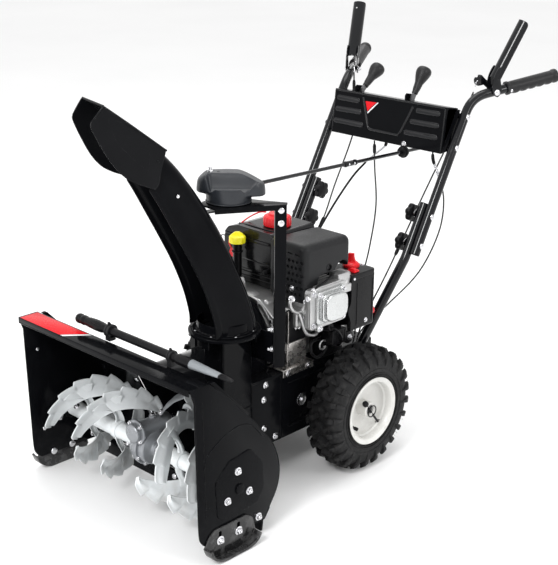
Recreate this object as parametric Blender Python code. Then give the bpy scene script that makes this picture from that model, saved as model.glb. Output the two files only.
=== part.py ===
"""Two stage snowblower, 24 inch class, modelled as an assembly of separate solids.

Metres, +Z up. The auger mouth faces -Y, the operator stands at +Y, and +X is the operator's left.
Shapes are laid out from the wheel axle's midplane on the ground and then moved to the part's own
origin, the middle of its footprint on the ground, by ORIGIN.
"""
import math
import bpy
import bmesh
from mathutils import Matrix, Vector

for old in list(bpy.data.objects):
    bpy.data.objects.remove(old, do_unlink=True)

# ---------------------------------------------------------------- driving dimensions
GAP = 0.0004                      # running gap between touching solids
ORIGIN = Vector((-0.01148, 0.0147, 0.0))   # moves the layout to the footprint's middle

HOUSING_HALF = 0.3085             # half width of the auger housing between its side plates
PLATE = 0.0035                    # side plate thickness
SHEET = 0.0025                    # sheet thickness
AUGER_Y, AUGER_Z = -0.511, 0.151
AUGER_R = 0.122
IMP_Z = 0.198                     # impeller axis height
DRUM_R = 0.1425
DRUM_BACK = -0.297
CHUTE = Vector((0.112, -0.362, 0.0))      # chute's turning axis
CHUTE_TURN = math.radians(14)     # the chute rests turned this far to the operator's right
RING_Z = 0.446

AXLE_Z = 0.165
TYRE_R = 0.165
RIM_OUT = 0.285                   # outer face of a rim, from the midplane
TYRE_W = 0.100
FRAME_HALF, FRAME_F, FRAME_B = 0.140, -0.2966, 0.160
FRAME_LO, FRAME_HI = 0.100, 0.285
CRANK_Z = 0.392                   # engine shaft height

TUBE_R = 0.0127                   # 25 mm handle tube
HANDLE_X = 0.2177                 # upper handle tube from the midplane
LOWER_X = HANDLE_X - 2 * TUBE_R - GAP
HANDLE_Y0, HANDLE_SLOPE = -0.0518, 0.5476  # handle line: y = y0 + slope * z
SPLAY = math.radians(28)          # the grips turn outwards
RISE = math.radians(11)           # and rise to the rear
BEND = Vector((HANDLE_X, 0.447, 0.910))


def handle_y(z):
    return HANDLE_Y0 + HANDLE_SLOPE * z


# ---------------------------------------------------------------- materials
def material(name, color, rough, metal=0.0):
    m = bpy.data.materials.new(name)
    m.use_nodes = True
    b = m.node_tree.nodes["Principled BSDF"]
    b.inputs["Base Color"].default_value = (*color, 1)
    b.inputs["Roughness"].default_value = rough
    b.inputs["Metallic"].default_value = metal
    return m


GLOSS = material("gloss_black_paint", (0.012, 0.012, 0.014), 0.18)
CHROME = material("zinc_steel", (0.62, 0.63, 0.65), 0.3, 1.0)
SILVER = material("silver_paint", (0.72, 0.72, 0.70), 0.35, 0.3)
CAST = material("cast_aluminium", (0.55, 0.56, 0.57), 0.42, 0.9)
GREY = material("grey_casting_paint", (0.25, 0.26, 0.27), 0.4, 0.4)
PLASTIC = material("black_plastic", (0.025, 0.026, 0.028), 0.5)
RUBBER = material("tyre_rubber", (0.02, 0.02, 0.022), 0.75)
RIMPAINT = material("rim_paint", (0.80, 0.80, 0.79), 0.35)
RED = material("red_plastic", (0.75, 0.03, 0.05), 0.35)
YELLOW = material("yellow_plastic", (0.95, 0.85, 0.02), 0.4)
BELT = material("belt_rubber", (0.03, 0.03, 0.03), 0.8)


# ---------------------------------------------------------------- helpers
def obj_from(name, bm, mat, pivot=(0, 0, 0), smooth=35):
    """Makes the named object, with its origin at pivot."""
    bmesh.ops.recalc_face_normals(bm, faces=bm.faces)
    me = bpy.data.meshes.new(name)
    p = Vector(pivot)
    bmesh.ops.translate(bm, vec=-p, verts=bm.verts)
    bm.to_mesh(me)
    bm.free()
    me.materials.append(mat)
    me.shade_smooth()
    me.set_sharp_from_angle(angle=math.radians(smooth))
    o = bpy.data.objects.new(name, me)
    o.location = p
    bpy.context.scene.collection.objects.link(o)
    return o


def prism(poly, axis, a0, a1):
    """bmesh of a closed outline swept along a world axis. Outline pairs are (y,z), (x,z) or (x,y)."""
    bm = bmesh.new()

    def at(p, a):
        return {"X": (a, p[0], p[1]), "Y": (p[0], a, p[1]), "Z": (p[0], p[1], a)}[axis]

    lo = [bm.verts.new(at(p, a0)) for p in poly]
    hi = [bm.verts.new(at(p, a1)) for p in poly]
    bm.faces.new(lo)
    bm.faces.new(hi[::-1])
    n = len(poly)
    for i in range(n):
        bm.faces.new((lo[i], hi[i], hi[(i + 1) % n], lo[(i + 1) % n]))
    bmesh.ops.recalc_face_normals(bm, faces=bm.faces)
    return bm


def block(x0, x1, y0, y1, z0, z1, bevel=0.0, seg=1):
    bm = prism([(x0, y0), (x1, y0), (x1, y1), (x0, y1)], "Z", z0, z1)
    if bevel:
        bmesh.ops.bevel(bm, geom=list(bm.edges), offset=bevel, segments=seg, affect="EDGES", profile=0.5)
    return bm


def lathe(profile, axis, centre, n=24, start=0.0):
    """bmesh of a closed profile [(radius, height)] turned round an axis direction through centre."""
    d = Vector(axis).normalized()
    u = d.orthogonal().normalized()
    if abs(d.z) < 0.9:
        u = (Vector((0, 0, 1)) - d * d.z).normalized()
    v = d.cross(u)
    c = Vector(centre)
    bm = bmesh.new()
    rings = []
    for k in range(n):
        a = start + 2 * math.pi * k / n
        e = u * math.cos(a) + v * math.sin(a)
        rings.append([None if r <= 1e-7 else bm.verts.new(c + e * r + d * h) for r, h in profile])
    poles = [bm.verts.new(c + d * h) if r <= 1e-7 else None for r, h in profile]
    m = len(profile)
    for k in range(n):
        a, b = rings[k], rings[(k + 1) % n]
        for i in range(m):
            j = (i + 1) % m
            vs = []
            for q in (a[i] or poles[i], a[j] or poles[j], b[j] or poles[j], b[i] or poles[i]):
                if q not in vs:
                    vs.append(q)
            if len(vs) > 2:
                bm.faces.new(vs)
    bmesh.ops.recalc_face_normals(bm, faces=bm.faces)
    return bm


def rod(p0, p1, r, n=16, hole=0.0):
    p0, p1 = Vector(p0), Vector(p1)
    L = (p1 - p0).length
    prof = [(hole, 0), (r, 0), (r, L), (hole, L)]
    return lathe(prof, p1 - p0, p0, n)


def smooth_path(pts, per=6):
    """Points read from a smooth curve through pts."""
    P = [Vector(p) for p in pts]
    P = [P[0] * 2 - P[1]] + P + [P[-1] * 2 - P[-2]]
    out = []
    for i in range(1, len(P) - 2):
        for k in range(per):
            t = k / per
            a, b, c, d = P[i - 1], P[i], P[i + 1], P[i + 2]
            out.append(0.5 * ((2 * b) + (c - a) * t + (2 * a - 5 * b + 4 * c - d) * t * t + (3 * b - a - 3 * c + d) * t ** 3))
    out.append(P[-2])
    return out


def rounded(pts, radius, seg=5):
    """A path of straight runs whose corners are bends of a radius."""
    P = [Vector(p) for p in pts]
    out = [P[0]]
    for i in range(1, len(P) - 1):
        a, b, c = P[i - 1], P[i], P[i + 1]
        u, v = (a - b).normalized(), (c - b).normalized()
        ang = u.angle(v)
        t = min(radius / math.tan(ang / 2), (a - b).length * 0.49, (c - b).length * 0.49)
        s, e = b + u * t, b + v * t
        for k in range(seg + 1):
            f = k / seg
            out.append(s * (1 - f) ** 2 + b * 2 * f * (1 - f) + e * f * f)
    out.append(P[-1])
    return out


def pipe(path, r, n=12):
    """bmesh of a solid round bar along a path."""
    P = [Vector(p) for p in path]
    bm = bmesh.new()
    rings, up = [], None
    for i, p in enumerate(P):
        t = (P[min(i + 1, len(P) - 1)] - P[max(i - 1, 0)]).normalized()
        if up is None:
            up = t.orthogonal().normalized()
        up = (up - t * up.dot(t)).normalized()
        v = t.cross(up)
        rings.append([bm.verts.new(p + (up * math.cos(2 * math.pi * k / n) + v * math.sin(2 * math.pi * k / n)) * r) for k in range(n)])
    for a, b in zip(rings, rings[1:]):
        for k in range(n):
            bm.faces.new((a[k], a[(k + 1) % n], b[(k + 1) % n], b[k]))
    bm.faces.new(rings[0])
    bm.faces.new(rings[-1])
    bmesh.ops.recalc_face_normals(bm, faces=bm.faces)
    return bm


def loft(sections, closed=True):
    """bmesh of a solid through outlines with the same number of points."""
    bm = bmesh.new()
    R = [[bm.verts.new(p) for p in s] for s in sections]
    n = len(R[0])
    for a, b in zip(R, R[1:]):
        for k in range(n):
            bm.faces.new((a[k], a[(k + 1) % n], b[(k + 1) % n], b[k]))
    if closed:
        bm.faces.new(R[0])
        bm.faces.new(R[-1])
    bmesh.ops.recalc_face_normals(bm, faces=bm.faces)
    return bm


def combine(a, b, op="UNION"):
    """Boolean of two bmeshes, by the exact solver."""
    objs = []
    for k, bm in enumerate((a, b)):
        me = bpy.data.meshes.new("tmp%d" % k)
        bm.to_mesh(me)
        bm.free()
        o = bpy.data.objects.new("tmp%d" % k, me)
        bpy.context.scene.collection.objects.link(o)
        objs.append(o)
    mod = objs[0].modifiers.new("b", "BOOLEAN")
    mod.operation, mod.solver, mod.object = op, "EXACT", objs[1]
    dg = bpy.context.evaluated_depsgraph_get()
    dg.update()
    me = bpy.data.meshes.new_from_object(objs[0].evaluated_get(dg))
    out = bmesh.new()
    out.from_mesh(me)
    bmesh.ops.remove_doubles(out, verts=out.verts, dist=1e-6)
    bmesh.ops.dissolve_degenerate(out, dist=1e-6, edges=out.edges)
    for o in objs:
        d = o.data
        bpy.data.objects.remove(o, do_unlink=True)
        bpy.data.meshes.remove(d)
    bpy.data.meshes.remove(me)
    return out


def union(*bms):
    out = bms[0]
    for b in bms[1:]:
        out = combine(out, b, "UNION")
    return out


def minus(a, *bms):
    for b in bms:
        a = combine(a, b, "DIFFERENCE")
    return a


def mirror_x(bm):
    """A copy on the other side of the midplane."""
    out = bm.copy()
    bmesh.ops.scale(out, vec=(-1, 1, 1), verts=out.verts)
    bmesh.ops.reverse_faces(out, faces=out.faces)
    return out


def pair(name, bm, mat, pivot=(0, 0, 0)):
    m = mirror_x(bm)
    obj_from(name + "_left", bm, mat, pivot)
    obj_from(name + "_right", m, mat, (-pivot[0], pivot[1], pivot[2]))


# ---------------------------------------------------------------- auger housing
# back line of the housing seen from the side, top to bottom (y, z)
BACK_LINE = [(-0.6000, 0.4375), (-0.5440, 0.3850), (-0.4820, 0.3230), (-0.4400, 0.2740), (-0.4020, 0.2200),
             (-0.3805, 0.1650), (-0.3820, 0.1180), (-0.3975, 0.0840), (-0.4240, 0.0500)]


def offset_line(line, d):
    """The line moved d along its normals."""
    out = []
    for i, p in enumerate(line):
        a, b = line[max(i - 1, 0)], line[min(i + 1, len(line) - 1)]
        t = Vector((b[0] - a[0], b[1] - a[1])).normalized()
        n = Vector((-t.y, t.x))
        out.append((p[0] + n.x * d, p[1] + n.y * d))
    return out


inner_back = offset_line(BACK_LINE, -SHEET)
top_front = [(-0.6575, 0.4375), (-0.6575, 0.4240), (-0.6548, 0.4240), (-0.6548, 0.4350), (-0.6012, 0.4350)]
outline = [(-0.6000, 0.4375)] + top_front + inner_back[1:] + BACK_LINE[:0:-1]
shell = prism(outline, "X", -HOUSING_HALF, HOUSING_HALF)
shell = minus(shell, rod((0, -0.57, IMP_Z), (0, -0.30, IMP_Z), DRUM_R + GAP, 28))
obj_from("housing_shell", shell, GLOSS)

SIDE = [(-0.6555, 0.4371), (-0.6440, 0.4040), (-0.6340, 0.0800), (-0.6270, 0.0560), (-0.6120, 0.0420), (-0.4270, 0.0380),
        (-0.3955, 0.0840), (-0.3800, 0.1180), (-0.3770, 0.1620), (-0.3960, 0.2200), (-0.4380, 0.2740), (-0.4810, 0.3240),
        (-0.5430, 0.3870), (-0.5990, 0.4371)]
side = prism(SIDE, "X", HOUSING_HALF + GAP, HOUSING_HALF + GAP + PLATE)
side = minus(side, rod((0.28, AUGER_Y, AUGER_Z), (0.34, AUGER_Y, AUGER_Z), 0.0130, 16))
bearing = rod((HOUSING_HALF + GAP + 0.002, AUGER_Y, AUGER_Z), (HOUSING_HALF + GAP + PLATE + 0.003, AUGER_Y, AUGER_Z), 0.024, 20, 0.0104)
side = union(side, bearing)
pair("side_plate", side, GLOSS)

scraper = prism([(-0.4300, 0.0490), (-0.4240, 0.0490), (-0.4290, 0.0060), (-0.4350, 0.0060)], "X", -HOUSING_HALF, HOUSING_HALF)
obj_from("scraper_bar", scraper, GLOSS)

# skid shoe: an upright plate with a sole turned outwards, bolted in slots so it can be set up and down
SK = HOUSING_HALF + GAP + PLATE + GAP
shoe_side = prism([(-0.6230, 0.0400), (-0.6140, 0.0200), (-0.5900, 0.0040), (-0.5760, 0.0), (-0.5020, 0.0), (-0.4720, 0.0100),
                   (-0.4600, 0.0260), (-0.4700, 0.0620), (-0.4900, 0.0760), (-0.5900, 0.0760), (-0.6060, 0.0660)], "X", SK, SK + 0.004)
sole = prism([(-0.6230, 0.0400), (-0.6140, 0.0200), (-0.5900, 0.0040), (-0.5760, 0.0), (-0.5020, 0.0), (-0.4720, 0.0100),
              (-0.4600, 0.0260), (-0.4640, 0.0280), (-0.4750, 0.0140), (-0.5030, 0.0040), (-0.5750, 0.0040), (-0.5885, 0.0080),
              (-0.6105, 0.0230), (-0.6190, 0.0412)], "X", SK + 0.001, SK + 0.026)
shoe = union(shoe_side, sole)
for yb in (-0.574, -0.516):
    shoe = minus(shoe, prism([(yb - 0.0045, 0.036), (yb + 0.0045, 0.036), (yb + 0.0045, 0.068), (yb - 0.0045, 0.068)], "X", SK - 0.01, SK + 0.012))
pair("skid_shoe", shoe, GLOSS)

# ---------------------------------------------------------------- impeller drum with its outlet neck and ring
NECK_X0, NECK_X1, NECK_Y0, NECK_Y1 = 0.0745, DRUM_R, -0.398, DRUM_BACK
drum = rod((0, -0.52, IMP_Z), (0, DRUM_BACK, IMP_Z), DRUM_R, 28)
behind = offset_line(BACK_LINE, GAP)
cutter = prism([(-0.75, 0.60), (-0.6500, 0.60)] + [(-0.62, 0.4540)] + behind[1:-1] + [(-0.4240, 0.0480), (-0.43, -0.05), (-0.75, -0.05)], "X", -0.3, 0.3)
drum = union(drum, block(NECK_X0, NECK_X1, NECK_Y0, NECK_Y1, IMP_Z, RING_Z - 0.003))
drum = minus(drum, cutter)
drum = union(drum, rod((CHUTE.x, CHUTE.y, RING_Z - 0.006), (CHUTE.x, CHUTE.y, RING_Z), 0.0865, 24))
drum = minus(drum, rod((0, -0.56, IMP_Z), (0, DRUM_BACK - 0.003, IMP_Z), DRUM_R - SHEET, 28))
drum = minus(drum, block(NECK_X0 + SHEET, NECK_X1 - SHEET, NECK_Y0 + SHEET, NECK_Y1 - 0.003, IMP_Z, RING_Z + 0.02))
drum = minus(drum, rod((0, -0.40, IMP_Z), (0, -0.20, IMP_Z), 0.0125, 16))
POST = Vector((0.212, -0.278, 0))
PU, PN = Vector((0.5470, 0.8371, 0)), Vector((0.8371, -0.5470, 0))   # the post's width and face directions


def quad_prism(centre, u, n, hu, hn, z0, z1):
    c = Vector(centre)
    pts = [c + u * a + n * b for a, b in ((-hu, -hn), (hu, -hn), (hu, hn), (-hu, hn))]
    return prism([(p.x, p.y) for p in pts], "Z", z0, z1)


flange = quad_prism(POST - PU * (0.0135 + GAP + 0.0015), PU, PN, 0.0015, 0.012, 0.361, 0.446)
f0 = POST - PU * 0.0155
f1 = Vector((0.130, -0.2975, 0))
gu = (f1 - f0).normalized()
gn = Vector((-gu.y, gu.x, 0))
gus = prism([tuple((f0 + gn * s).xy) if k == 0 else tuple((f1 + gu * 0.001 + gn * s).xy) for k, s in ((0, -0.0015), (0, 0.0015), (1, 0.0015), (1, -0.0015))], "Z", 0.361, 0.440)
drum = union(drum, flange, gus)
obj_from("impeller_drum", drum, GLOSS)

# ---------------------------------------------------------------- auger gearbox, shafts, flights
SHAFT_R, TUBE_AUG = 0.0100, 0.0145
case = rod((-0.026, AUGER_Y, AUGER_Z), (0.026, AUGER_Y, AUGER_Z), 0.044, 20)
case = union(case, rod((0, -0.567, IMP_Z), (0, -0.452, IMP_Z), 0.0245, 16))
case = union(case, rod((-0.040, AUGER_Y, AUGER_Z), (0.040, AUGER_Y, AUGER_Z), 0.0190, 16))
case = minus(case, rod((-0.020, AUGER_Y, AUGER_Z), (0.020, AUGER_Y, AUGER_Z), 0.0385, 20))
case = minus(case, rod((-0.06, AUGER_Y, AUGER_Z), (0.06, AUGER_Y, AUGER_Z), SHAFT_R + GAP, 12))
case = minus(case, rod((0, -0.562, IMP_Z), (0, -0.440, IMP_Z), 0.0108, 12))
obj_from("auger_gearbox", case, GREY)

PLATE_OUT = HOUSING_HALF + GAP + PLATE + 0.006
prof = [(0, -PLATE_OUT), (SHAFT_R, -PLATE_OUT), (SHAFT_R, -0.304), (TUBE_AUG, -0.304), (TUBE_AUG, -0.0412), (SHAFT_R, -0.0412),
        (SHAFT_R, 0.0412), (TUBE_AUG, 0.0412), (TUBE_AUG, 0.304), (SHAFT_R, 0.304), (SHAFT_R, PLATE_OUT), (0, PLATE_OUT)]
obj_from("auger_shaft", lathe(prof, (1, 0, 0), (0, AUGER_Y, AUGER_Z), 16), CHROME, (0, AUGER_Y, AUGER_Z))

wheel = lathe([(SHAFT_R + GAP, -0.010), (0.036, -0.008), (0.036, 0.008), (SHAFT_R + GAP, 0.010)], (1, 0, 0), (0, AUGER_Y, AUGER_Z), 20)
obj_from("worm_wheel", wheel, CHROME, (0, AUGER_Y, AUGER_Z))


def ribbon(x0, x1, phase, turns, r_in, r_out, thick=0.0032, steps=15):
    """A helical ribbon between two radii; x runs from x0 to x1 while it turns."""
    secs = []
    for k in range(steps + 1):
        f = k / steps
        a = phase + 2 * math.pi * turns * f
        x = x0 + (x1 - x0) * f
        e = Vector((0, math.cos(a), math.sin(a)))
        c = Vector((x, AUGER_Y, AUGER_Z))
        h = Vector((thick / 2, 0, 0))
        secs.append([c + e * r_in - h, c + e * r_out - h, c + e * r_out + h, c + e * r_in + h])
    return loft(secs)


def spoke(x, a, r0, r1, w=0.011, thick=0.0064):
    """A flat arm from the hub out to the ribbon."""
    e = Vector((0, math.cos(a), math.sin(a)))
    g = Vector((0, -math.sin(a), math.cos(a)))
    c = Vector((x, AUGER_Y, AUGER_Z))
    secs = []
    for r, ww in ((r0, w * 1.4), (r1, w)):
        h = Vector((thick / 2, 0, 0))
        secs.append([c + e * r - g * ww - h, c + e * r + g * ww - h, c + e * r + g * ww + h, c + e * r - g * ww + h])
    return loft(secs)


def flight(sign):
    """Two ribbons half a turn apart on a hub tube; sign +1 is the operator's left half."""
    bm = lathe([(TUBE_AUG + GAP, 0.050), (0.0200, 0.050), (0.0200, 0.288), (TUBE_AUG + GAP, 0.288)], (1, 0, 0), (0, AUGER_Y, AUGER_Z), 16)
    for ph in (0.35, 0.35 + math.pi):
        x0, x1, turns = 0.062, 0.282, 1.02
        bm = union(bm, ribbon(x0, x1, ph, turns, 0.078, AUGER_R))
        for f in (0.12, 0.50, 0.88):
            bm = union(bm, spoke(x0 + (x1 - x0) * f, ph + 2 * math.pi * turns * f, 0.0175, 0.086))
    return bm if sign > 0 else mirror_x(bm)


fl = flight(1)
fr = mirror_x(fl)
obj_from("auger_flight_left", fl, SILVER, (0, AUGER_Y, AUGER_Z))
obj_from("auger_flight_right", fr, SILVER, (0, AUGER_Y, AUGER_Z))

# ---------------------------------------------------------------- impeller and belt drive
imp = rod((0, -0.385, IMP_Z), (0, -0.303, IMP_Z), 0.0190, 20, SHAFT_R + 0.0002)
for k in range(4):
    a = math.radians(45 + 90 * k)
    u = Vector((math.cos(a), 0, math.sin(a)))
    n = Vector((-math.sin(a), 0, math.cos(a)))
    c = Vector((0, 0, IMP_Z))
    ring = [c + u * r + n * t for r, t in ((0.0150, -0.002), (0.128, -0.002), (0.1360, 0.010), (0.1340, 0.013), (0.126, 0.002), (0.0150, 0.002))]
    blade = prism([(p.x, p.z) for p in ring], "Y", -0.374, -0.306)
    imp = union(imp, blade)
obj_from("impeller", imp, GLOSS, (0, -0.34, IMP_Z))
obj_from("impeller_shaft", rod((0, -0.558, IMP_Z), (0, -0.240, IMP_Z), SHAFT_R - 0.0002, 16), CHROME, (0, -0.34, IMP_Z))

PULLEY_Y = -0.258


def pulley(r, half=0.009, bore=SHAFT_R + 0.0002):
    return [(bore, -half), (r, -half), (r, -half + 0.0015), (r - 0.009, -0.0030), (r - 0.009, 0.0030), (r, half - 0.0015), (r, half), (bore, half)]


BIG, SMALL = 0.075, 0.034
obj_from("impeller_pulley", lathe(pulley(BIG), (0, 1, 0), (0, PULLEY_Y, IMP_Z), 24), CHROME, (0, PULLEY_Y, IMP_Z))
eng_pulley = lathe([(0, -0.009), (SMALL, -0.009), (SMALL, -0.0075), (SMALL - 0.009, -0.0030), (SMALL - 0.009, 0.0030), (SMALL, 0.0075), (SMALL, 0.009),
                    (0.0120, 0.009), (0.0120, 0.0560), (0, 0.0560)], (0, 1, 0), (0, PULLEY_Y, CRANK_Z), 14)
obj_from("engine_pulley", eng_pulley, CHROME, (0, PULLEY_Y, CRANK_Z))


def belt_loop(r_lo, r_hi, n=14):
    """Outline round two pulleys, one above the other (x, z)."""
    d = CRANK_Z - IMP_Z
    tilt = math.asin((r_lo - r_hi) / d)
    pts = []
    for k in range(n + 1):
        a = -math.pi - tilt + (math.pi + 2 * tilt) * k / n
        pts.append((math.cos(a) * r_lo, IMP_Z + math.sin(a) * r_lo))
    for k in range(n + 1):
        a = tilt + (math.pi - 2 * tilt) * k / n
        pts.append((math.cos(a) * r_hi, CRANK_Z + math.sin(a) * r_hi))
    return pts


g = 0.0012
belt = prism(belt_loop(BIG - 0.009 + g + 0.007, SMALL - 0.009 + g + 0.007), "Y", PULLEY_Y - 0.0026, PULLEY_Y + 0.0026)
belt = minus(belt, prism(belt_loop(BIG - 0.009 + g, SMALL - 0.009 + g), "Y", PULLEY_Y - 0.02, PULLEY_Y + 0.02))
obj_from("auger_belt", belt, BELT)


def arch(half, z_top, z0, n=12):
    """Outline of an upright with a round head (x, z)."""
    zc = z_top - half
    return [(-half, z0)] + [(half * math.cos(math.pi - math.pi * k / n), zc + half * math.sin(math.pi - math.pi * k / n)) for k in range(n + 1)] + [(half, z0)]


cover = prism(arch(0.098, 0.470, FRAME_HI + GAP), "Y", -0.2830, -0.2040)
cover = minus(cover, prism(arch(0.0955, 0.4675, FRAME_HI - 0.01), "Y", -0.2805, -0.2065))
cover = minus(cover, rod((0, -0.24, CRANK_Z), (0, -0.19, CRANK_Z), 0.0135, 16))
obj_from("belt_cover", cover, GLOSS)

# ---------------------------------------------------------------- frame and wheels
fr_out = block(-FRAME_HALF, FRAME_HALF, FRAME_F, FRAME_B, FRAME_LO, FRAME_HI)
fr_out = minus(fr_out, block(-FRAME_HALF + 0.003, FRAME_HALF - 0.003, FRAME_F + 0.003, FRAME_B - 0.003, FRAME_LO + 0.003, FRAME_HI - 0.003))
fr_out = minus(fr_out, block(-0.0950, 0.0950, FRAME_F + 0.006, -0.2080, FRAME_HI - 0.02, FRAME_HI + 0.02))
fr_out = minus(fr_out, rod((0, -0.33, IMP_Z), (0, -0.28, IMP_Z), 0.0125, 16))
fr_out = minus(fr_out, rod((-0.2, 0, AXLE_Z), (0.2, 0, AXLE_Z), TUBE_R + GAP, 20))
obj_from("main_frame", fr_out, GLOSS)

obj_from("wheel_axle", rod((-0.2690, 0, AXLE_Z), (0.2690, 0, AXLE_Z), TUBE_R, 20), CHROME, (0, 0, AXLE_Z))

RIM = [(0.0895, 0.2850), (0.0895, 0.2822), (0.0800, 0.2792), (0.0700, 0.2500), (0.0700, 0.2200), (0.0800, 0.1908),
       (0.0895, 0.1878), (0.0895, 0.1850), (0.0772, 0.1882), (0.0672, 0.2190), (0.0672, 0.2440), (0.0195, 0.2370),
       (0.0195, 0.1990), (0.0130, 0.1990), (0.0130, 0.2745), (0.0195, 0.2745), (0.0195, 0.2430), (0.0672, 0.2500), (0.0772, 0.2818)]
pair("rim", lathe(RIM, (1, 0, 0), (0, 0, AXLE_Z), 20), RIMPAINT, (0, 0, AXLE_Z))

xc, hw = RIM_OUT - TYRE_W / 2, TYRE_W / 2
TYRE = [(0.0812, -0.0410), (0.0915, -0.0435), (0.1050, -0.0492), (0.1280, -0.0500), (0.1570, -0.0445), (TYRE_R, -0.0250)]
TYRE = TYRE + [(r, -h) for r, h in TYRE[::-1]]
pair("tire", lathe([(r, h + xc) for r, h in TYRE], (1, 0, 0), (0, 0, AXLE_Z), 28), RUBBER, (0, 0, AXLE_Z))

# ---------------------------------------------------------------- engine
ENG_LO = FRAME_HI + GAP
blk = block(-0.105, 0.078, -0.185, 0.080, ENG_LO, 0.4590, 0.008)
blk = union(blk, block(-0.125, 0.098, -0.165, 0.060, ENG_LO, ENG_LO + 0.012))
blk = union(blk, rod((0, -0.2036, CRANK_Z), (0, -0.160, CRANK_Z), 0.075, 28))
cyl = block(0.070, 0.175, -0.096, -0.016, 0.412, 0.496)
cyl = union(cyl, *[block(0.092 + 0.024 * k, 0.104 + 0.024 * k, -0.098, -0.012, 0.402, 0.500) for k in range(3)])
head = block(0.1710, 0.1920, -0.146, -0.012, 0.398, 0.503)
blk = union(blk, cyl, head)
blk = union(blk, rod((-0.060, -0.151, 0.44), (-0.060, -0.151, 0.5745), 0.0115, 14))
blk = minus(blk, rod((0, -0.30, CRANK_Z), (0, -0.170, CRANK_Z), 0.0126, 16))
obj_from("engine_block", blk, CAST)
obj_from("valve_cover", block(0.1924, 0.2220, -0.128, -0.028, 0.410, 0.496, 0.010, 2), CAST)

muff = prism([(-0.145, 0.612), (0.030, 0.606), (0.030, 0.524), (-0.100, 0.524), (-0.114, 0.460), (-0.145, 0.460)], "X", 0.0455, 0.170)
bmesh.ops.bevel(muff, geom=[e for e in muff.edges if e.calc_length() > 0.03], offset=0.007, segments=1, affect="EDGES")
obj_from("muffler_cover", muff, PLASTIC)

tank = prism([(-0.135, 0.520), (-0.135, 0.585), (-0.118, 0.604), (-0.085, 0.612), (0.0430, 0.612), (0.0430, 0.520)], "Y", -0.128, 0.030)
bmesh.ops.bevel(tank, geom=[e for e in tank.edges if abs(e.verts[0].co.y - e.verts[1].co.y) < 1e-5 and (e.verts[0].co.z > 0.55 or e.verts[1].co.z > 0.55)], offset=0.008, segments=1, affect="EDGES")
post_a = block(-0.090, 0.030, -0.060, 0.020, 0.4594, 0.523)
tank = union(tank, post_a)
obj_from("fuel_tank", tank, PLASTIC)
CAP = Vector((-0.010, -0.056, 0))
obj_from("fuel_cap", lathe([(0, 0.6125), (0.0330, 0.6125), (0.0365, 0.617), (0.0365, 0.638), (0.0310, 0.646), (0, 0.646)], (0, 0, 1), CAP, 24), RED, (CAP.x, CAP.y, 0.63))
obj_from("oil_filler_cap", lathe([(0, 0.575), (0.0165, 0.575), (0.0215, 0.580), (0.0215, 0.592), (0.0120, 0.600), (0, 0.603)], (0, 0, 1), (-0.060, -0.151, 0), 20), YELLOW, (-0.060, -0.151, 0.585))

# heater box with the choke knob, the stop switch and the primer bulb
HB = (0.100, 0.190, 0.014, 0.105, 0.353, 0.507)
hb = block(*HB, 0.006)
hb = minus(hb, block(0.158, 0.182, 0.024, 0.054, 0.500, 0.52))
hb = union(hb, block(0.0785, 0.104, 0.020, 0.075, 0.380, 0.440))
hb = minus(hb, rod((0.172, 0.0985, 0.385), (0.172, 0.12, 0.385), 0.0158, 18))
obj_from("heater_box", hb, PLASTIC)
KNOB = Vector((0.138, 0.068, 0))
knob = lathe([(0, 0.5074), (0.0205, 0.5074), (0.0225, 0.511), (0.0225, 0.522), (0.0185, 0.526), (0, 0.527)], (0, 0, 1), KNOB, 20)
knob = union(knob, block(KNOB.x - 0.016, KNOB.x + 0.016, KNOB.y - 0.0055, KNOB.y + 0.0055, 0.520, 0.543, 0.002))
obj_from("choke_knob", knob, RED, (KNOB.x, KNOB.y, 0.52))
SWITCH = Vector((0.170, 0.039, 0.506))
sw = prism([(0.026, 0.5095), (0.031, 0.5040), (0.039, 0.5015), (0.047, 0.5040), (0.052, 0.5095), (0.051, 0.5125), (0.039, 0.5090), (0.027, 0.5125)], "X", 0.160, 0.180)
obj_from("stop_switch", sw, RED, SWITCH)
BULB = Vector((0.172, 0.105 + GAP, 0.385))
obj_from("primer_bulb", lathe([(0, 0), (0.0150, 0), (0.0150, 0.003), (0.0120, 0.010), (0.0060, 0.0145), (0, 0.0155)], (0, 1, 0), BULB, 18), RED, BULB)

# recoil starter at the engine's rear
rec = lathe([(0, 0.0804), (0.092, 0.0804), (0.098, 0.090), (0.094, 0.112), (0.060, 0.126), (0, 0.128)], (0, 1, 0), (-0.013, 0, CRANK_Z), 28)
rec = union(rec, block(-0.085, -0.055, 0.095, 0.120, 0.420, 0.492))
obj_from("recoil_cover", rec, PLASTIC)
hnd = union(rod((-0.070, 0.108, 0.4925), (-0.070, 0.108, 0.506), 0.0060, 12), block(-0.100, -0.040, 0.098, 0.118, 0.504, 0.520, 0.004))
obj_from("starter_handle", hnd, PLASTIC, (-0.070, 0.108, 0.50))

# ---------------------------------------------------------------- chute, turning on the ring
CF = Vector((-math.sin(CHUTE_TURN), -math.cos(CHUTE_TURN), 0))       # the way the chute throws
CL = Vector((math.cos(CHUTE_TURN), -math.sin(CHUTE_TURN), 0))        # across it


def chute_point(a, lat, z):
    p = CHUTE + CF * a + CL * lat
    return Vector((p.x, p.y, z))


# pairs of (forward, height) for the back and the open front edge, and the half width there
STATIONS = [((-0.0620, 0.4500), (0.0590, 0.4500), 0.0640), ((-0.0600, 0.4700), (0.0590, 0.4780), 0.0640), ((-0.0470, 0.5150), (0.0700, 0.5250), 0.0640),
            ((-0.0300, 0.5600), (0.0860, 0.5650), 0.0635), ((0.0020, 0.6340), (0.1020, 0.6200), 0.0630), ((0.0380, 0.7080), (0.1350, 0.6800), 0.0620),
            ((0.0840, 0.7850), (0.1740, 0.7500), 0.0605), ((0.1340, 0.8560), (0.1980, 0.7950), 0.0590), ((0.1760, 0.9030), (0.2160, 0.8260), 0.0580)]


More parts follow.
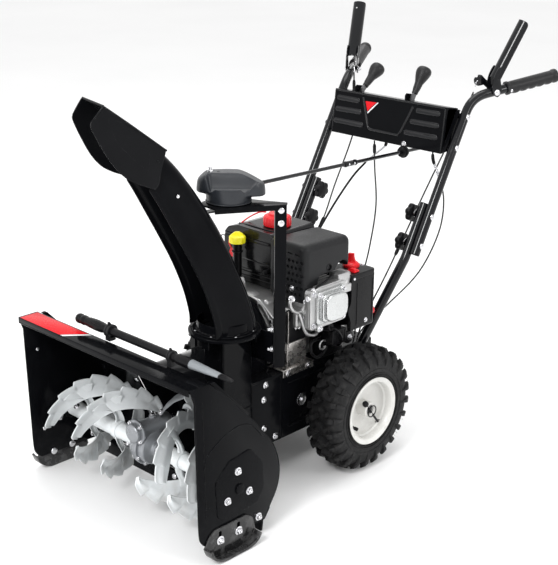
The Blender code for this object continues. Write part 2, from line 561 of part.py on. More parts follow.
def u_section(back, front, half, shrink=0.0, corner=0.026, n=3):
    """Half of the outline: from the front edge down one side, round the back, to the other front edge."""
    b, f = Vector(back), Vector(front)
    depth = (f - b).length
    d = (f - b).normalized()
    pts = []
    w, c = half - shrink, corner - shrink * 0.5

    def put(t, lat):
        q = b + d * t
        pts.append(chute_point(q.x, lat, q.y))

    put(depth, w)
    put(depth * 0.55, w)
    for k in range(n + 1):
        a = math.pi / 2 * k / n
        put(shrink + c - c * math.sin(a), w - c + c * math.cos(a))
    for k in range(n + 1):
        a = math.pi / 2 * (1 - k / n)
        put(shrink + c - c * math.sin(a), -(w - c + c * math.cos(a)))
    put(depth * 0.55, -w)
    put(depth, -w)
    return pts


secs = []
for b, f, h in STATIONS:
    outer = u_section(b, f, h)
    inner = u_section(b, f, h, 0.0030)
    secs.append(outer + inner[::-1])
ch = loft(secs)
collar = rod((CHUTE.x, CHUTE.y, RING_Z + GAP), (CHUTE.x, CHUTE.y, RING_Z + 0.0044), 0.0780, 24, 0.0560)
ch = union(ch, collar)
band = lathe([(0.0640, RING_Z + 0.003), (0.0670, RING_Z + 0.003), (0.0670, 0.4720), (0.0640, 0.4720)], (0, 0, 1), (CHUTE.x, CHUTE.y, 0), 24)
ch = union(ch, band)
# short arm from the chute's back up to the gear head's output
arm = loft([[chute_point(a, l, z) for a, l, z in ((x, -0.010, 0.7385), (x, 0.010, 0.7385), (x, 0.010, 0.7420), (x, -0.010, 0.7420))] for x in (-0.010, 0.0600)])
ch = union(ch, arm)
obj_from("chute", ch, GLOSS, (CHUTE.x, CHUTE.y, RING_Z))

# deflector: two cheeks and a cap, hinged at the chute's back top
HINGE = (0.1790, 0.9060)
D_SIDE = [(0.3170, 1.0200), (0.3420, 0.9880), (0.3420, 0.9720), (0.3000, 0.8920), (0.2750, 0.8640), (0.2500, 0.8480), (0.2080, 0.8300), (0.1960, 0.8660), (0.1800, 0.9140)]


def half_at(a):
    t = (a - 0.268) / (0.342 - 0.268)
    return 0.0630 + (0.0460 - 0.0630) * max(0.0, min(1.0, t))


def cheek(sign):
    lo = [chute_point(a, sign * (half_at(a) - 0.0), z) for a, z in D_SIDE]
    hi = [chute_point(a, sign * (half_at(a) + 0.0028), z) for a, z in D_SIDE]
    return loft([lo, hi])


cap = loft([[chute_point(a, s * (half_at(a) + 0.0028), z) for s, z in ((-1, z0), (1, z0), (1, z1), (-1, z1))]
            for a, z0, z1 in ((0.1760, 0.9110, 0.9150), (0.2680, 0.9795, 0.9835), (0.3170, 1.0160, 1.0200))])
dfl = union(cheek(1), cheek(-1), cap)
hp = chute_point(HINGE[0], 0, HINGE[1])
obj_from("chute_deflector", dfl, GLOSS, hp)

# gear head of the chute drive and its bracket
GZ = 0.7570
plate = prism([(0.0720, -0.3950), (0.0980, -0.4140), (0.1390, -0.4170), (0.2256, -0.2715), (0.2144, -0.2560), (0.1600, -0.2850), (0.0900, -0.3150), (0.0660, -0.3500)], "Z", GZ - 0.004, GZ)
post = quad_prism(POST, PU, PN, 0.0135, 0.0060, 0.351, GZ - 0.0035)
post = union(post, plate)
obj_from("chute_bracket", post, GLOSS)
g_pts = []
for cx, cy, r, a0, a1 in ((0.098, -0.372, 0.034, 150, 270), (0.124, -0.372, 0.034, 270, 360), (0.148, -0.288, 0.020, 0, 90), (0.104, -0.290, 0.020, 90, 180)):
    for k in range(5):
        a = math.radians(a0 + (a1 - a0) * k / 4)
        g_pts.append((cx + r * math.cos(a), cy + r * math.sin(a)))
gear = prism(g_pts, "Z", GZ + GAP, 0.819)
bmesh.ops.bevel(gear, geom=[e for e in gear.edges if min(e.verts[0].co.z, e.verts[1].co.z) > 0.80], offset=0.010, segments=1, affect="EDGES")
gear = union(gear, rod((0.072, -0.386, 0.784), (0.072, -0.386, 0.811), 0.020, 16))
obj_from("chute_gear_cover", gear, PLASTIC)

# crank rod from the gear head to the operator
C0, C1 = Vector((0.1240, -0.2655, 0.786)), Vector((0.0690, 0.3550, 0.7520))
cd = (C1 - C0).normalized()
C0 = C0 + cd * 0.002
C2 = C1 + cd * 0.115
up = (Vector((0, 0, 1)) - cd * cd.z).normalized()
crank_path = rounded([C0, C2, C2 + up * 0.062, C2 + up * 0.062 + cd * 0.075], 0.012, 3)
crank = pipe(crank_path, 0.0048, 8)
k0 = C2 + up * 0.062 + cd * 0.020
crank = union(crank, rod(k0, k0 + cd * 0.070, 0.0125, 12))
obj_from("chute_crank", crank, GLOSS, C0)

# ---------------------------------------------------------------- handles
low_path = rounded([(FRAME_HALF + TUBE_R + 0.0006, 0.040, 0.178), (FRAME_HALF + TUBE_R + 0.0006, 0.100, 0.285),
                    (LOWER_X, handle_y(0.505), 0.505), (LOWER_X, handle_y(0.640), 0.640)], 0.10, 4)
pair("lower_handle", pipe(low_path, TUBE_R, 12), GLOSS)


def grip_point(s):
    return BEND + Vector((math.sin(SPLAY), math.cos(SPLAY), math.tan(RISE))) * s


up_path = rounded([(HANDLE_X, handle_y(0.520), 0.520), tuple(BEND), tuple(grip_point(0.236))], 0.085, 6)
pair("upper_handle", pipe(up_path, TUBE_R, 12), GLOSS)
gd = (grip_point(1) - grip_point(0)).normalized()
g0 = grip_point(0.1000)
GL = 0.152
grip = lathe([(TUBE_R + GAP, 0), (0.0180, 0), (0.0180, 0.004), (0.0160, 0.006), (0.0165, 0.138), (0.0185, 0.142), (0.0185, GL), (0, GL), (0, GL - 0.004), (TUBE_R + GAP, GL - 0.004)], gd, g0, 16)
pair("grip", grip, PLASTIC)

# star knobs with their bolts' ends on the inner side of the lower tubes
for tag, z in (("upper", 0.614), ("lower", 0.542)):
    c = Vector((LOWER_X - TUBE_R - GAP, handle_y(z), z))
    pts = []
    for k in range(24):
        a = 2 * math.pi * k / 24
        r = 0.0205 + 0.0030 * math.cos(6 * a)
        pts.append((c.y + r * math.cos(a), c.z + r * math.sin(a)))
    star = prism(pts, "X", c.x - 0.024, c.x - 0.010)
    star = union(star, rod((c.x - 0.012, c.y, c.z), (c.x, c.y, c.z), 0.0095, 12))
    m = mirror_x(star)
    obj_from("star_knob_%s_left" % tag, star, PLASTIC, c)
    obj_from("star_knob_%s_right" % tag, m, PLASTIC, (-c.x, c.y, c.z))

# control panel: a folded sheet between the handles, open at the back
PW = 0.1940
P_OUT = [(0.3565, 0.7665), (0.3700, 0.8900), (0.4240, 0.8810), (0.3920, 0.7690)]
panel = prism(P_OUT, "X", -PW, PW)
panel = minus(panel, prism([(0.3592, 0.7690), (0.3724, 0.8872), (0.4700, 0.8710), (0.4700, 0.7300), (0.3552, 0.7300)], "X", -PW + SHEET, PW - SHEET))
SPEED_X, DEFL_X = -0.118, 0.059
for x in (SPEED_X, DEFL_X):
    panel = minus(panel, block(x - 0.0065, x + 0.0065, 0.3800, 0.4180, 0.86, 0.90))
bush = rod(C1 - cd * 0.010, C1 + cd * 0.010, 0.0130, 14, 0.0056)
strap = block(C1.x - 0.010, C1.x + 0.010, 0.3560, 0.3595, C1.z + 0.0095, 0.7780)
panel = union(panel, strap)
panel = union(panel, bush)
obj_from("control_panel", panel, GLOSS)


def lever(name, x, knob_c, mat):
    """A flat stalk on a pivot inside the panel, leaning back to a moulded knob."""
    pv = Vector((x, 0.396, 0.850))
    k = Vector((x, knob_c[0], knob_c[1]))
    base = Vector((x, 0.399, 0.892))
    d = (k - base).normalized()
    n = Vector((0, -d.z, d.y))
    st = prism([(pv.y - 0.006, pv.z - 0.008), (pv.y + 0.006, pv.z - 0.008), (base.y + 0.006, base.z - 0.004), (base.y + 0.006 + d.y * 0.03, base.z + d.z * 0.03),
                (base.y - 0.006 + d.y * 0.03, base.z + 0.004 + d.z * 0.03), (base.y - 0.006, base.z)], "X", x - 0.003, x + 0.003)
    L = 0.076
    kb = lathe([(0, 0), (0.0070, 0.0), (0.0085, 0.010), (0.0100, 0.030), (0.0150, 0.050), (0.0175, 0.064), (0.0140, L - 0.003), (0, L)], d, base + d * 0.016, 14)
    obj_from(name, union(st, kb), mat, pv)


lever("speed_lever", SPEED_X, (0.463, 0.946), PLASTIC)
lever("deflector_lever", DEFL_X, (0.437, 0.950), PLASTIC)


# clutch levers: a channel over the grip, pivoted on the tube, with an ear that pulls the cable
def clutch(sign):
    piv = grip_point(0.066)
    s = gd.copy()
    w = Vector((math.cos(SPLAY), -math.sin(SPLAY), 0))   # pivot direction
    t = w.cross(s).normalized()
    if t.z < 0:
        t = -t
    press = math.radians(52)

    def at(a, b, c, turn=press):
        ca, sa = math.cos(turn), math.sin(turn)
        return piv + s * (a * ca - b * sa) + t * (a * sa + b * ca) + w * c

    def slab(outline, c0, c1, turn=press):
        return loft([[at(a, b, c, turn) for a, b in outline] for c in (c0, c1)])

    top = slab([(0.034, 0.0205), (0.196, 0.0205), (0.196, 0.0300), (0.034, 0.0300)], -0.0150, 0.0150)
    bar = top
    for c0, c1 in ((-0.0175, -0.0145), (0.0145, 0.0175)):
        bar = union(bar, slab([(-0.010, -0.008), (0.010, -0.010), (0.046, 0.0180), (0.060, 0.0210), (0.060, 0.0300), (0.034, 0.0300), (-0.006, 0.010)], c0, c1))
    ear = loft([[piv + s * a + t * b + w * c for a, b in ((-0.006, 0.004), (0.006, 0.0105), (-0.022, 0.048), (-0.044, 0.044), (-0.044, 0.028))] for c in (-0.0172, -0.0150)])
    bar = union(bar, ear)
    return bar, piv, w


cl, piv, w = clutch(1)
cr = mirror_x(cl)
obj_from("drive_clutch_lever", cl, GLOSS, piv)
obj_from("auger_clutch_lever", cr, GLOSS, (-piv.x, piv.y, piv.z))

# ---------------------------------------------------------------- clean-out tool on top of the housing
TY, TZ = -0.590, 0.4610
tool = lathe([(0, -0.157), (0.0110, -0.157), (0.0130, -0.150), (0.0120, -0.100), (0.0130, -0.060), (0.0100, -0.052), (0.0095, 0.200), (0.0120, 0.205), (0.0130, 0.245), (0.0100, 0.300), (0.0040, 0.3740), (0, 0.3740)],
             (1, 0, 0), (0, TY, TZ), 14)
for x in (-0.035, 0.180):
    tool = union(tool, block(x - 0.006, x + 0.006, TY - 0.010, TY + 0.010, 0.4380, TZ))
obj_from("clean_out_tool", tool, PLASTIC, (0, TY, TZ))

# ---------------------------------------------------------------- control cables, held at both ends
wt = w.cross(gd).normalized()
if wt.z < 0:
    wt = -wt
EAR = piv + gd * -0.040 + wt * 0.0300 - w * 0.0161


def cable(name, path, r):
    cu = bpy.data.curves.new(name, "CURVE")
    cu.dimensions = "3D"
    sp = cu.splines.new("POLY")
    sp.points.add(len(path) - 1)
    for q, p in zip(sp.points, path):
        q.co = (p[0], p[1], p[2], 1)
    cu.bevel_depth = r
    cu.bevel_resolution = 2
    cu.use_fill_caps = True
    cu.materials.append(BELT)
    o = bpy.data.objects.new(name, cu)
    bpy.context.scene.collection.objects.link(o)


FOOT = FRAME_HI + 0.0008
CABLE_R = 0.0022
near_route = [EAR + Vector((-0.004, -0.006, -0.024)), (0.1900, 0.4480, 0.8500), (0.1620, 0.4250, 0.7700), (0.1480, 0.3450, 0.6400), (0.1450, 0.2200, 0.4700), (0.1380, 0.1650, 0.3900), (0.1250, 0.1380, 0.3300), (0.1180, 0.1280, FOOT)]
cable("drive_cable", smooth_path(near_route, 4), CABLE_R)
far_route = [Vector((-EAR.x, EAR.y, EAR.z)) + Vector((0.004, -0.006, -0.024)), (-0.1900, 0.4480, 0.8500), (-0.1620, 0.4200, 0.7700), (-0.1500, 0.3250, 0.6200), (-0.1480, 0.2800, 0.5350), (-0.1400, 0.2000, 0.4300), (-0.1250, 0.1500, 0.3300), (-0.1200, 0.1400, FOOT)]
cable("auger_cable", smooth_path(far_route, 4), CABLE_R)
mid_route = [(-0.0500, 0.3760, 0.7600), (-0.0100, 0.3320, 0.7000), (0.0500, 0.2700, 0.6150), (0.0900, 0.2000, 0.5200), (0.1050, 0.1500, 0.4300), (0.1020, 0.1400, 0.3400), (0.1000, 0.1380, FOOT)]
cable("shift_cable", smooth_path(mid_route, 4), CABLE_R)

# ---------------------------------------------------------------- to the part's own origin
for o in bpy.data.objects:
    o.location = o.location + ORIGIN
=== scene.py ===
"""Looks of the two stage snowblower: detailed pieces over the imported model, with procedural materials.

The layout frame has the wheel axle's midplane at x = 0, the axle at y = 0 and the ground at z = 0;
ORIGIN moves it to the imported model's frame. +X is the operator's left, -Y the auger mouth.
"""
import math
import random
import bpy
import bmesh
from mathutils import Matrix, Vector, noise


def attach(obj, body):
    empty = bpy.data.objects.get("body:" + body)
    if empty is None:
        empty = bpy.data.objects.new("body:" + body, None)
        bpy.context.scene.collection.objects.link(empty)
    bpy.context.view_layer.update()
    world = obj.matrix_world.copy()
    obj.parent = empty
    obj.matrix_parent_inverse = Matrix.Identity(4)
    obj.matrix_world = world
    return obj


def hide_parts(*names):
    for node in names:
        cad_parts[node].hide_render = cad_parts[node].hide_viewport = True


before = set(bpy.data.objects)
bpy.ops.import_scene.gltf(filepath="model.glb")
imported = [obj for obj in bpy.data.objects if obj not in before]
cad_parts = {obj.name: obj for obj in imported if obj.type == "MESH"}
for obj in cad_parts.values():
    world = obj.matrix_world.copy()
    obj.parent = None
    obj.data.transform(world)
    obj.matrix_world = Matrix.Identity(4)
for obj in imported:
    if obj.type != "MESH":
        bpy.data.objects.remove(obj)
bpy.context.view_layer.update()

ORIGIN = Vector((-0.01148, 0.0147, 0.0))
random.seed(7)
SCN = bpy.context.scene.collection

# =====================================================================================
# materials
# =====================================================================================


class Mat:
    """A node material round one Principled shader."""

    def __init__(self, name, rough=0.5, metallic=0.0, coat=0.0, coat_rough=0.05, spec=0.5):
        self.m = bpy.data.materials.new(name)
        self.m.use_nodes = True
        self.nt = self.m.node_tree
        self.nt.nodes.clear()
        self.out = self.node("ShaderNodeOutputMaterial")
        self.p = self.node("ShaderNodeBsdfPrincipled")
        self.link(self.p.outputs[0], self.out.inputs[0])
        self.p.inputs["Roughness"].default_value = rough
        self.p.inputs["Metallic"].default_value = metallic
        self.p.inputs["Coat Weight"].default_value = coat
        self.p.inputs["Coat Roughness"].default_value = coat_rough
        self.p.inputs["Specular IOR Level"].default_value = spec
        self.tc = self.node("ShaderNodeTexCoord")
        self.height = None

    def node(self, kind, **k):
        n = self.nt.nodes.new(kind)
        for a, v in k.items():
            setattr(n, a, v)
        return n

    def link(self, a, b):
        self.nt.links.new(a, b)

    def coords(self, stretch=(1, 1, 1), rot=(0, 0, 0)):
        mp = self.node("ShaderNodeMapping")
        mp.inputs["Scale"].default_value = stretch
        mp.inputs["Rotation"].default_value = rot
        self.link(self.tc.outputs["Object"], mp.inputs["Vector"])
        return mp.outputs[0]

    def noise(self, scale, detail=3.0, rough=0.55, stretch=None, distort=0.0, rot=(0, 0, 0)):
        n = self.node("ShaderNodeTexNoise")
        n.inputs["Scale"].default_value = scale
        n.inputs["Detail"].default_value = detail
        n.inputs["Roughness"].default_value = rough
        n.inputs["Distortion"].default_value = distort
        self.link(self.coords(stretch or (1, 1, 1), rot), n.inputs["Vector"])
        return n.outputs["Fac"]

    def voronoi(self, scale, feature="F1", stretch=None):
        n = self.node("ShaderNodeTexVoronoi", feature=feature)
        n.inputs["Scale"].default_value = scale
        self.link(self.coords(stretch or (1, 1, 1)), n.inputs["Vector"])
        return n.outputs["Distance"]

    def ramp(self, fac, lo, hi, a=0.0, b=1.0):
        n = self.node("ShaderNodeMapRange")
        n.clamp = True
        self.link(fac, n.inputs["Value"])
        for k, v in zip(("From Min", "From Max", "To Min", "To Max"), (lo, hi, a, b)):
            n.inputs[k].default_value = v
        return n.outputs["Result"]

    def math(self, op, a, b):
        n = self.node("ShaderNodeMath", operation=op)
        for s, v in zip(n.inputs, (a, b)):
            if isinstance(v, (int, float)):
                s.default_value = v
            else:
                self.link(v, s)
        return n.outputs[0]

    def mix(self, fac, a, b):
        n = self.node("ShaderNodeMix", data_type="RGBA")
        for s, v in ((n.inputs[0], fac), (n.inputs[6], a), (n.inputs[7], b)):
            if isinstance(v, (int, float)):
                s.default_value = v
            elif isinstance(v, (tuple, list)):
                s.default_value = (*v[:3], 1)
            else:
                self.link(v, s)
        return n.outputs[2]

    def color(self, c):
        if isinstance(c, (tuple, list)):
            self.p.inputs["Base Color"].default_value = (*c[:3], 1)
        else:
            self.link(c, self.p.inputs["Base Color"])

    def rough(self, fac):
        self.link(fac, self.p.inputs["Roughness"])

    def bump(self, h, dist, strength=1.0):
        b = self.node("ShaderNodeBump")
        b.inputs["Strength"].default_value = strength
        b.inputs["Distance"].default_value = dist
        self.link(h, b.inputs["Height"])
        if self.height is not None:
            self.link(self.height, b.inputs["Normal"])
        self.height = b.outputs[0]
        self.link(self.height, self.p.inputs["Normal"])

    def upward(self):
        g = self.node("ShaderNodeNewGeometry")
        s = self.node("ShaderNodeSeparateXYZ")
        self.link(g.outputs["Normal"], s.inputs[0])
        return s.outputs["Z"]

    def low(self, z0, z1):
        s = self.node("ShaderNodeSeparateXYZ")
        self.link(self.tc.outputs["Object"], s.inputs[0])
        return self.ramp(s.outputs["Z"], z0, z1, 1.0, 0.0)

    def edges(self, radius=0.0012, lo=0.02, hi=0.22):
        """1 on convex and concave edges, 0 on flats."""
        b = self.node("ShaderNodeBevel")
        b.samples = 4
        b.inputs["Radius"].default_value = radius
        g = self.node("ShaderNodeNewGeometry")
        d = self.node("ShaderNodeVectorMath", operation="DOT_PRODUCT")
        self.link(b.outputs[0], d.inputs[0])
        self.link(g.outputs["Normal"], d.inputs[1])
        inv = self.math("SUBTRACT", 1.0, d.outputs["Value"])
        return self.ramp(inv, lo, hi)


def paint(name, c, rough=0.16, coat=0.0, peel=0.00006, dust=0.10, tint=(0.30, 0.30, 0.30), metallic=0.0, edge=None, spec=0.5, scuff=0.25):
    """Sprayed paint: slight orange peel, faint dust on faces that look up, fine scuffs in its gloss; edge colours the
    edges, as a painted highlight on the black enamels and as wear on the other paints.
    """
    m = Mat(name, rough, metallic, coat, 0.04, spec)
    cloud = m.noise(5.0, 4.0)
    grain = m.noise(260.0, 2.0)
    base = m.mix(m.ramp(cloud, 0.3, 0.7), tuple(x * 0.86 for x in c), tuple(min(1, x * 1.16 + 0.002) for x in c))
    up = m.ramp(m.upward(), 0.35, 1.0)
    dirt = m.math("MULTIPLY", m.math("MULTIPLY", up, m.ramp(grain, 0.42, 0.66)), dust)
    low = m.math("MULTIPLY", m.math("MULTIPLY", m.low(0.0, 0.17), m.ramp(m.noise(42.0, 5.0), 0.46, 0.7)), dust * 1.6)
    base = m.mix(m.math("MAXIMUM", dirt, low), base, tint)
    # edge colour on convex and concave edges: a painted highlight on the black enamels, wear on the silver, grey, cream
    # and skid paints
    if edge:
        edge_wear_and_highlight = m.math("MULTIPLY", m.edges(0.0010), m.ramp(m.noise(90.0, 4.0), 0.48, 0.62))
        base = m.mix(m.math("MULTIPLY", edge_wear_and_highlight, edge[1]), base, edge[0])
    m.color(base)
    scratch = m.noise(34.0, 6.0, 0.72, (1, 9, 1), 0.6, (0.3, 0.5, 0.9))
    r = m.math("ADD", m.ramp(cloud, 0.25, 0.75, rough * 0.8, rough * 1.25), m.math("MULTIPLY", m.ramp(scratch, 0.56, 0.72), scuff * 0.3))
    m.rough(m.math("ADD", r, m.math("MULTIPLY", low, 1.2)))
    m.bump(m.noise(520.0, 1.5), peel)
    m.bump(m.noise(11.0, 1.0), 0.0007, 0.35)
    return m.m


def plastic(name, c, rough=0.42, grain=0.00007, gscale=900.0, dust=0.10, tint=(0.22, 0.22, 0.22), var=0.12, sub=0.0, spec=0.45):
    """Moulded plastic: leather-like grain, a little unevenness in tone and gloss."""
    m = Mat(name, rough, 0.0, 0.0, 0.1, spec)
    cloud = m.noise(16.0, 4.0)
    fine = m.noise(gscale * 0.6, 3.0)
    base = m.mix(m.ramp(cloud, 0.3, 0.7), tuple(x * (1 - var) for x in c), tuple(min(1, x * (1 + var) + 0.001) for x in c))
    up = m.ramp(m.upward(), 0.2, 1.0)
    dirt = m.math("MULTIPLY", m.math("MULTIPLY", up, m.ramp(m.noise(140.0, 4.0), 0.42, 0.68)), dust)
    m.color(m.mix(dirt, base, tint))
    m.rough(m.math("ADD", m.ramp(fine, 0.3, 0.7, rough * 0.86, rough * 1.12), m.ramp(cloud, 0.35, 0.7, -0.03, 0.05)))
    m.bump(m.voronoi(gscale), grain)
    m.bump(fine, grain * 0.6)
    if sub:
        m.p.inputs["Subsurface Weight"].default_value = sub
        m.p.inputs["Subsurface Radius"].default_value = (0.004, 0.001, 0.001)
    return m.m


def cast(name, c, rough=0.38, metallic=0.85, pit=0.00022, scale=420.0, var=0.14, tint=(0.18, 0.17, 0.16)):
    """Cast metal: pitted skin, darker in its pores."""
    m = Mat(name, rough, metallic)
    cloud = m.noise(22.0, 5.0)
    pits = m.noise(scale, 4.0, 0.65)
    base = m.mix(m.ramp(cloud, 0.3, 0.7), tuple(x * (1 - var) for x in c), tuple(min(1, x * (1 + var)) for x in c))
    base = m.mix(m.ramp(pits, 0.40, 0.24), base, tint)
    m.color(base)
    m.rough(m.ramp(pits, 0.3, 0.7, rough * 1.3, rough * 0.8))
    m.bump(pits, pit)
    m.bump(m.noise(scale * 0.22, 3.0), pit * 1.4)
    return m.m


def steel(name, c, rough=0.24, stretch=(1, 1, 30), spots=0.3, tint=(0.16, 0.13, 0.11), metallic=1.0):
    """Machined or plated steel: drawn lines and a few dull spots."""
    m = Mat(name, rough, metallic)
    line = m.noise(60.0, 4.0, 0.6, stretch)
    spot = m.noise(130.0, 5.0, 0.6)
    base = m.mix(m.ramp(line, 0.35, 0.65), tuple(x * 0.85 for x in c), tuple(min(1, x * 1.1) for x in c))
    m.color(m.mix(m.ramp(spot, 0.60, 0.76, 0.0, spots), base, tint))
    m.rough(m.math("ADD", m.ramp(line, 0.3, 0.7, rough * 0.75, rough * 1.3), m.ramp(spot, 0.55, 0.75, 0.0, 0.22)))
    m.bump(line, 0.00003)
    return m.m


# the light edge colour of the black enamels is a painted highlight along their edges
M_BLACK = paint("black_enamel", (0.0022, 0.0024, 0.0032), 0.10, dust=0.012, spec=0.055, edge=((0.10, 0.10, 0.10), 0.35), scuff=0.14)
M_BLACK2 = paint("black_enamel_tube", (0.0028, 0.0031, 0.0042), 0.08, coat=0.22, dust=0.015, spec=0.24, edge=((0.10, 0.10, 0.10), 0.3), scuff=0.15)
M_HEAT = paint("black_heat_paint", (0.0065, 0.0065, 0.007), 0.30, dust=0.05, spec=0.16, peel=0.00010, scuff=0.25)
M_SILVER = paint("silver_auger_paint", (0.64, 0.665, 0.675), 0.32, dust=0.30, tint=(0.42, 0.39, 0.35), metallic=0.08, edge=((0.22, 0.21, 0.20), 0.75), peel=0.00013, scuff=0.5)
M_GREY = paint("grey_gearcase_paint", (0.25, 0.26, 0.275), 0.28, dust=0.30, tint=(0.10, 0.095, 0.09), metallic=0.55, edge=((0.6, 0.6, 0.6), 0.5), peel=0.00025, scuff=0.4)
M_RIM = paint("cream_rim_paint", (0.67, 0.665, 0.64), 0.27, dust=0.28, tint=(0.34, 0.32, 0.28), edge=((0.30, 0.28, 0.26), 0.5), peel=0.00010, scuff=0.3)
M_CAST = cast("cast_aluminium", (0.50, 0.50, 0.50), 0.34)
M_CASTD = cast("cast_aluminium_dark", (0.36, 0.36, 0.36), 0.42)
M_COVER = cast("polished_cast_cover", (0.60, 0.61, 0.61), 0.25, 0.9, 0.00010, 380.0, 0.06, (0.4, 0.4, 0.4))
M_STEEL = steel("plated_steel", (0.68, 0.68, 0.70), 0.20)
M_BOLT = steel("zinc_bolt", (0.72, 0.72, 0.74), 0.22, (1, 1, 1))
M_DARKSTEEL = steel("dark_steel", (0.16, 0.16, 0.165), 0.34)
M_IRON = cast("machined_iron", (0.22, 0.22, 0.225), 0.36, 0.9)
M_BRONZE = steel("bronze", (0.62, 0.40, 0.18), 0.28, (1, 1, 8))
M_PLASTIC = plastic("black_moulding", (0.0045, 0.0045, 0.0052), 0.32, dust=0.03, spec=0.15)
M_PLASTIC2 = plastic("black_grained_moulding", (0.0085, 0.0088, 0.0098), 0.42, 0.00016, 620.0, dust=0.05, spec=0.24)
M_GRIP = plastic("black_soft_grip", (0.0075, 0.0075, 0.0082), 0.40, 0.00012, 1300.0, dust=0.05, spec=0.32)
M_RED = plastic("red_moulding", (0.66, 0.008, 0.014), 0.28, 0.00003, 700.0, dust=0.03, spec=0.35, tint=(0.3, 0.12, 0.1), sub=0.05)
M_YELLOW = plastic("yellow_moulding", (0.90, 0.80, 0.015), 0.32, 0.00003, 700.0, dust=0.06, tint=(0.4, 0.36, 0.2), sub=0.05)
M_REDFILM = plastic("red_film", (0.66, 0.010, 0.016), 0.26, 0.00001, 300.0, dust=0.02, var=0.05, spec=0.15)
M_WHITEFILM = plastic("white_film", (0.80, 0.80, 0.80), 0.22, 0.00001, 300.0, dust=0.06, tint=(0.6, 0.6, 0.6), var=0.03)
M_WHITEPL = plastic("natural_nylon", (0.62, 0.62, 0.60), 0.40, 0.00004, 500.0, dust=0.1, var=0.05, sub=0.08)
M_GEAR = plastic("grey_black_moulding", (0.016, 0.0185, 0.023), 0.36, 0.00012, 620.0, dust=0.04, spec=0.42)
M_CABLE = plastic("cable_jacket", (0.006, 0.006, 0.006), 0.34, 0.00002, 500.0, dust=0.04)
M_GREYPL = plastic("grey_moulding", (0.21, 0.225, 0.24), 0.38, 0.00006, 700.0, dust=0.12, var=0.08)


def tyre_material():
    m = Mat("tyre_rubber", 0.50, 0.0, 0.0, 0.1, 0.26)
    cloud = m.noise(24.0, 5.0)
    fine = m.noise(380.0, 4.0)
    base = m.mix(m.ramp(cloud, 0.3, 0.7), (0.0034, 0.0034, 0.0038), (0.0085, 0.0085, 0.0090))
    dusty = m.math("MULTIPLY", m.ramp(m.noise(60.0, 6.0, 0.65), 0.50, 0.72), 0.20)
    m.color(m.mix(dusty, base, (0.085, 0.082, 0.078)))
    m.rough(m.ramp(fine, 0.3, 0.7, 0.50, 0.78))
    m.bump(fine, 0.00018)
    m.bump(m.noise(70.0, 3.0), 0.0006, 0.6)
    return m.m


M_TYRE = tyre_material()


def mirror_sheet():
    """Bare sheet steel with a rolled finish, as on the engine's lower shroud."""
    m = Mat("bare_sheet", 0.24, 0.95)
    line = m.noise(40.0, 5.0, 0.6, (24, 1, 1))
    spot = m.noise(70.0, 5.0)
    base = m.mix(m.ramp(line, 0.3, 0.7), (0.40, 0.38, 0.36), (0.62, 0.60, 0.58))
    m.color(m.mix(m.ramp(spot, 0.55, 0.75, 0.0, 0.5), base, (0.20, 0.15, 0.12)))
    m.rough(m.ramp(spot, 0.35, 0.7, 0.18, 0.42))
    m.bump(line, 0.00004)
    return m.m


M_SHEET = mirror_sheet()

# =====================================================================================
# geometry helpers
# =====================================================================================


def vec(p):
    return Vector(p)


def recalc(bm):
    bmesh.ops.recalc_face_normals(bm, faces=bm.faces)
    return bm


def emit(name, parts, body, replaces=(), bevel=0.0, seg=2, angle=32, sharp=38, subsurf=0):
    """One object of several (bmesh, material) parts; it rides on body."""
    if isinstance(parts, tuple):
        parts = [parts]
    mats, out = [], bmesh.new()
    for bm, mat in parts:
        if mat not in mats:
            mats.append(mat)
        idx = mats.index(mat)
        me = bpy.data.meshes.new("part")
        for f in bm.faces:
            f.material_index = idx
        bm.to_mesh(me)
        bm.free()
        out.from_mesh(me)
        bpy.data.meshes.remove(me)
    bmesh.ops.translate(out, vec=ORIGIN, verts=out.verts)
    me = bpy.data.meshes.new(name)
    out.to_mesh(me)
    out.free()
    for mt in mats:
        me.materials.append(mt)
    o = bpy.data.objects.new(name, me)
    SCN.objects.link(o)
    if bevel:
        md = o.modifiers.new("edge", "BEVEL")
        md.width, md.segments, md.limit_method, md.angle_limit = bevel, seg, "ANGLE", math.radians(angle)
        md.use_clamp_overlap = True
        md.miter_outer = "MITER_ARC"
        dg = bpy.context.evaluated_depsgraph_get()
        new = bpy.data.meshes.new_from_object(o.evaluated_get(dg))
        o.modifiers.clear()
        o.data = new
    if subsurf:
        md = o.modifiers.new("round", "SUBSURF")
        md.levels = md.render_levels = subsurf
    o.data.shade_smooth()
    o.data.set_sharp_from_angle(angle=math.radians(sharp))
    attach(o, body)
    if replaces:
        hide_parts(*([replaces] if isinstance(replaces, str) else replaces))
    return o


def join(*bms):
    """One bmesh of several, without a boolean."""
    out = bmesh.new()
    for b in bms:
        me = bpy.data.meshes.new("t")
        b.to_mesh(me)
        b.free()
        out.from_mesh(me)
        bpy.data.meshes.remove(me)
    return out


def bevelled(bm, width, seg=2, angle=32):
    """The bmesh with its sharp edges rounded."""
    sharp = [e for e in bm.edges if len(e.link_faces) == 2 and e.calc_face_angle(0) > math.radians(angle)]
    if sharp:
        bmesh.ops.bevel(bm, geom=sharp, offset=width, segments=seg, affect="EDGES", profile=0.6, clamp_overlap=True)
    return bm


def prism(poly, axis, a0, a1):
    bm = bmesh.new()

    def at(p, a):
        return {"X": (a, p[0], p[1]), "Y": (p[0], a, p[1]), "Z": (p[0], p[1], a)}[axis]

    lo = [bm.verts.new(at(p, a0)) for p in poly]
    hi = [bm.verts.new(at(p, a1)) for p in poly]
    bm.faces.new(lo)
    bm.faces.new(hi[::-1])
    n = len(poly)
    for i in range(n):
        bm.faces.new((lo[i], hi[i], hi[(i + 1) % n], lo[(i + 1) % n]))
    return recalc(bm)


def block(x0, x1, y0, y1, z0, z1, bevel=0.0, seg=2):
    bm = prism([(x0, y0), (x1, y0), (x1, y1), (x0, y1)], "Z", z0, z1)
    if bevel:
        bmesh.ops.bevel(bm, geom=list(bm.edges), offset=bevel, segments=seg, affect="EDGES", profile=0.6)
    return bm


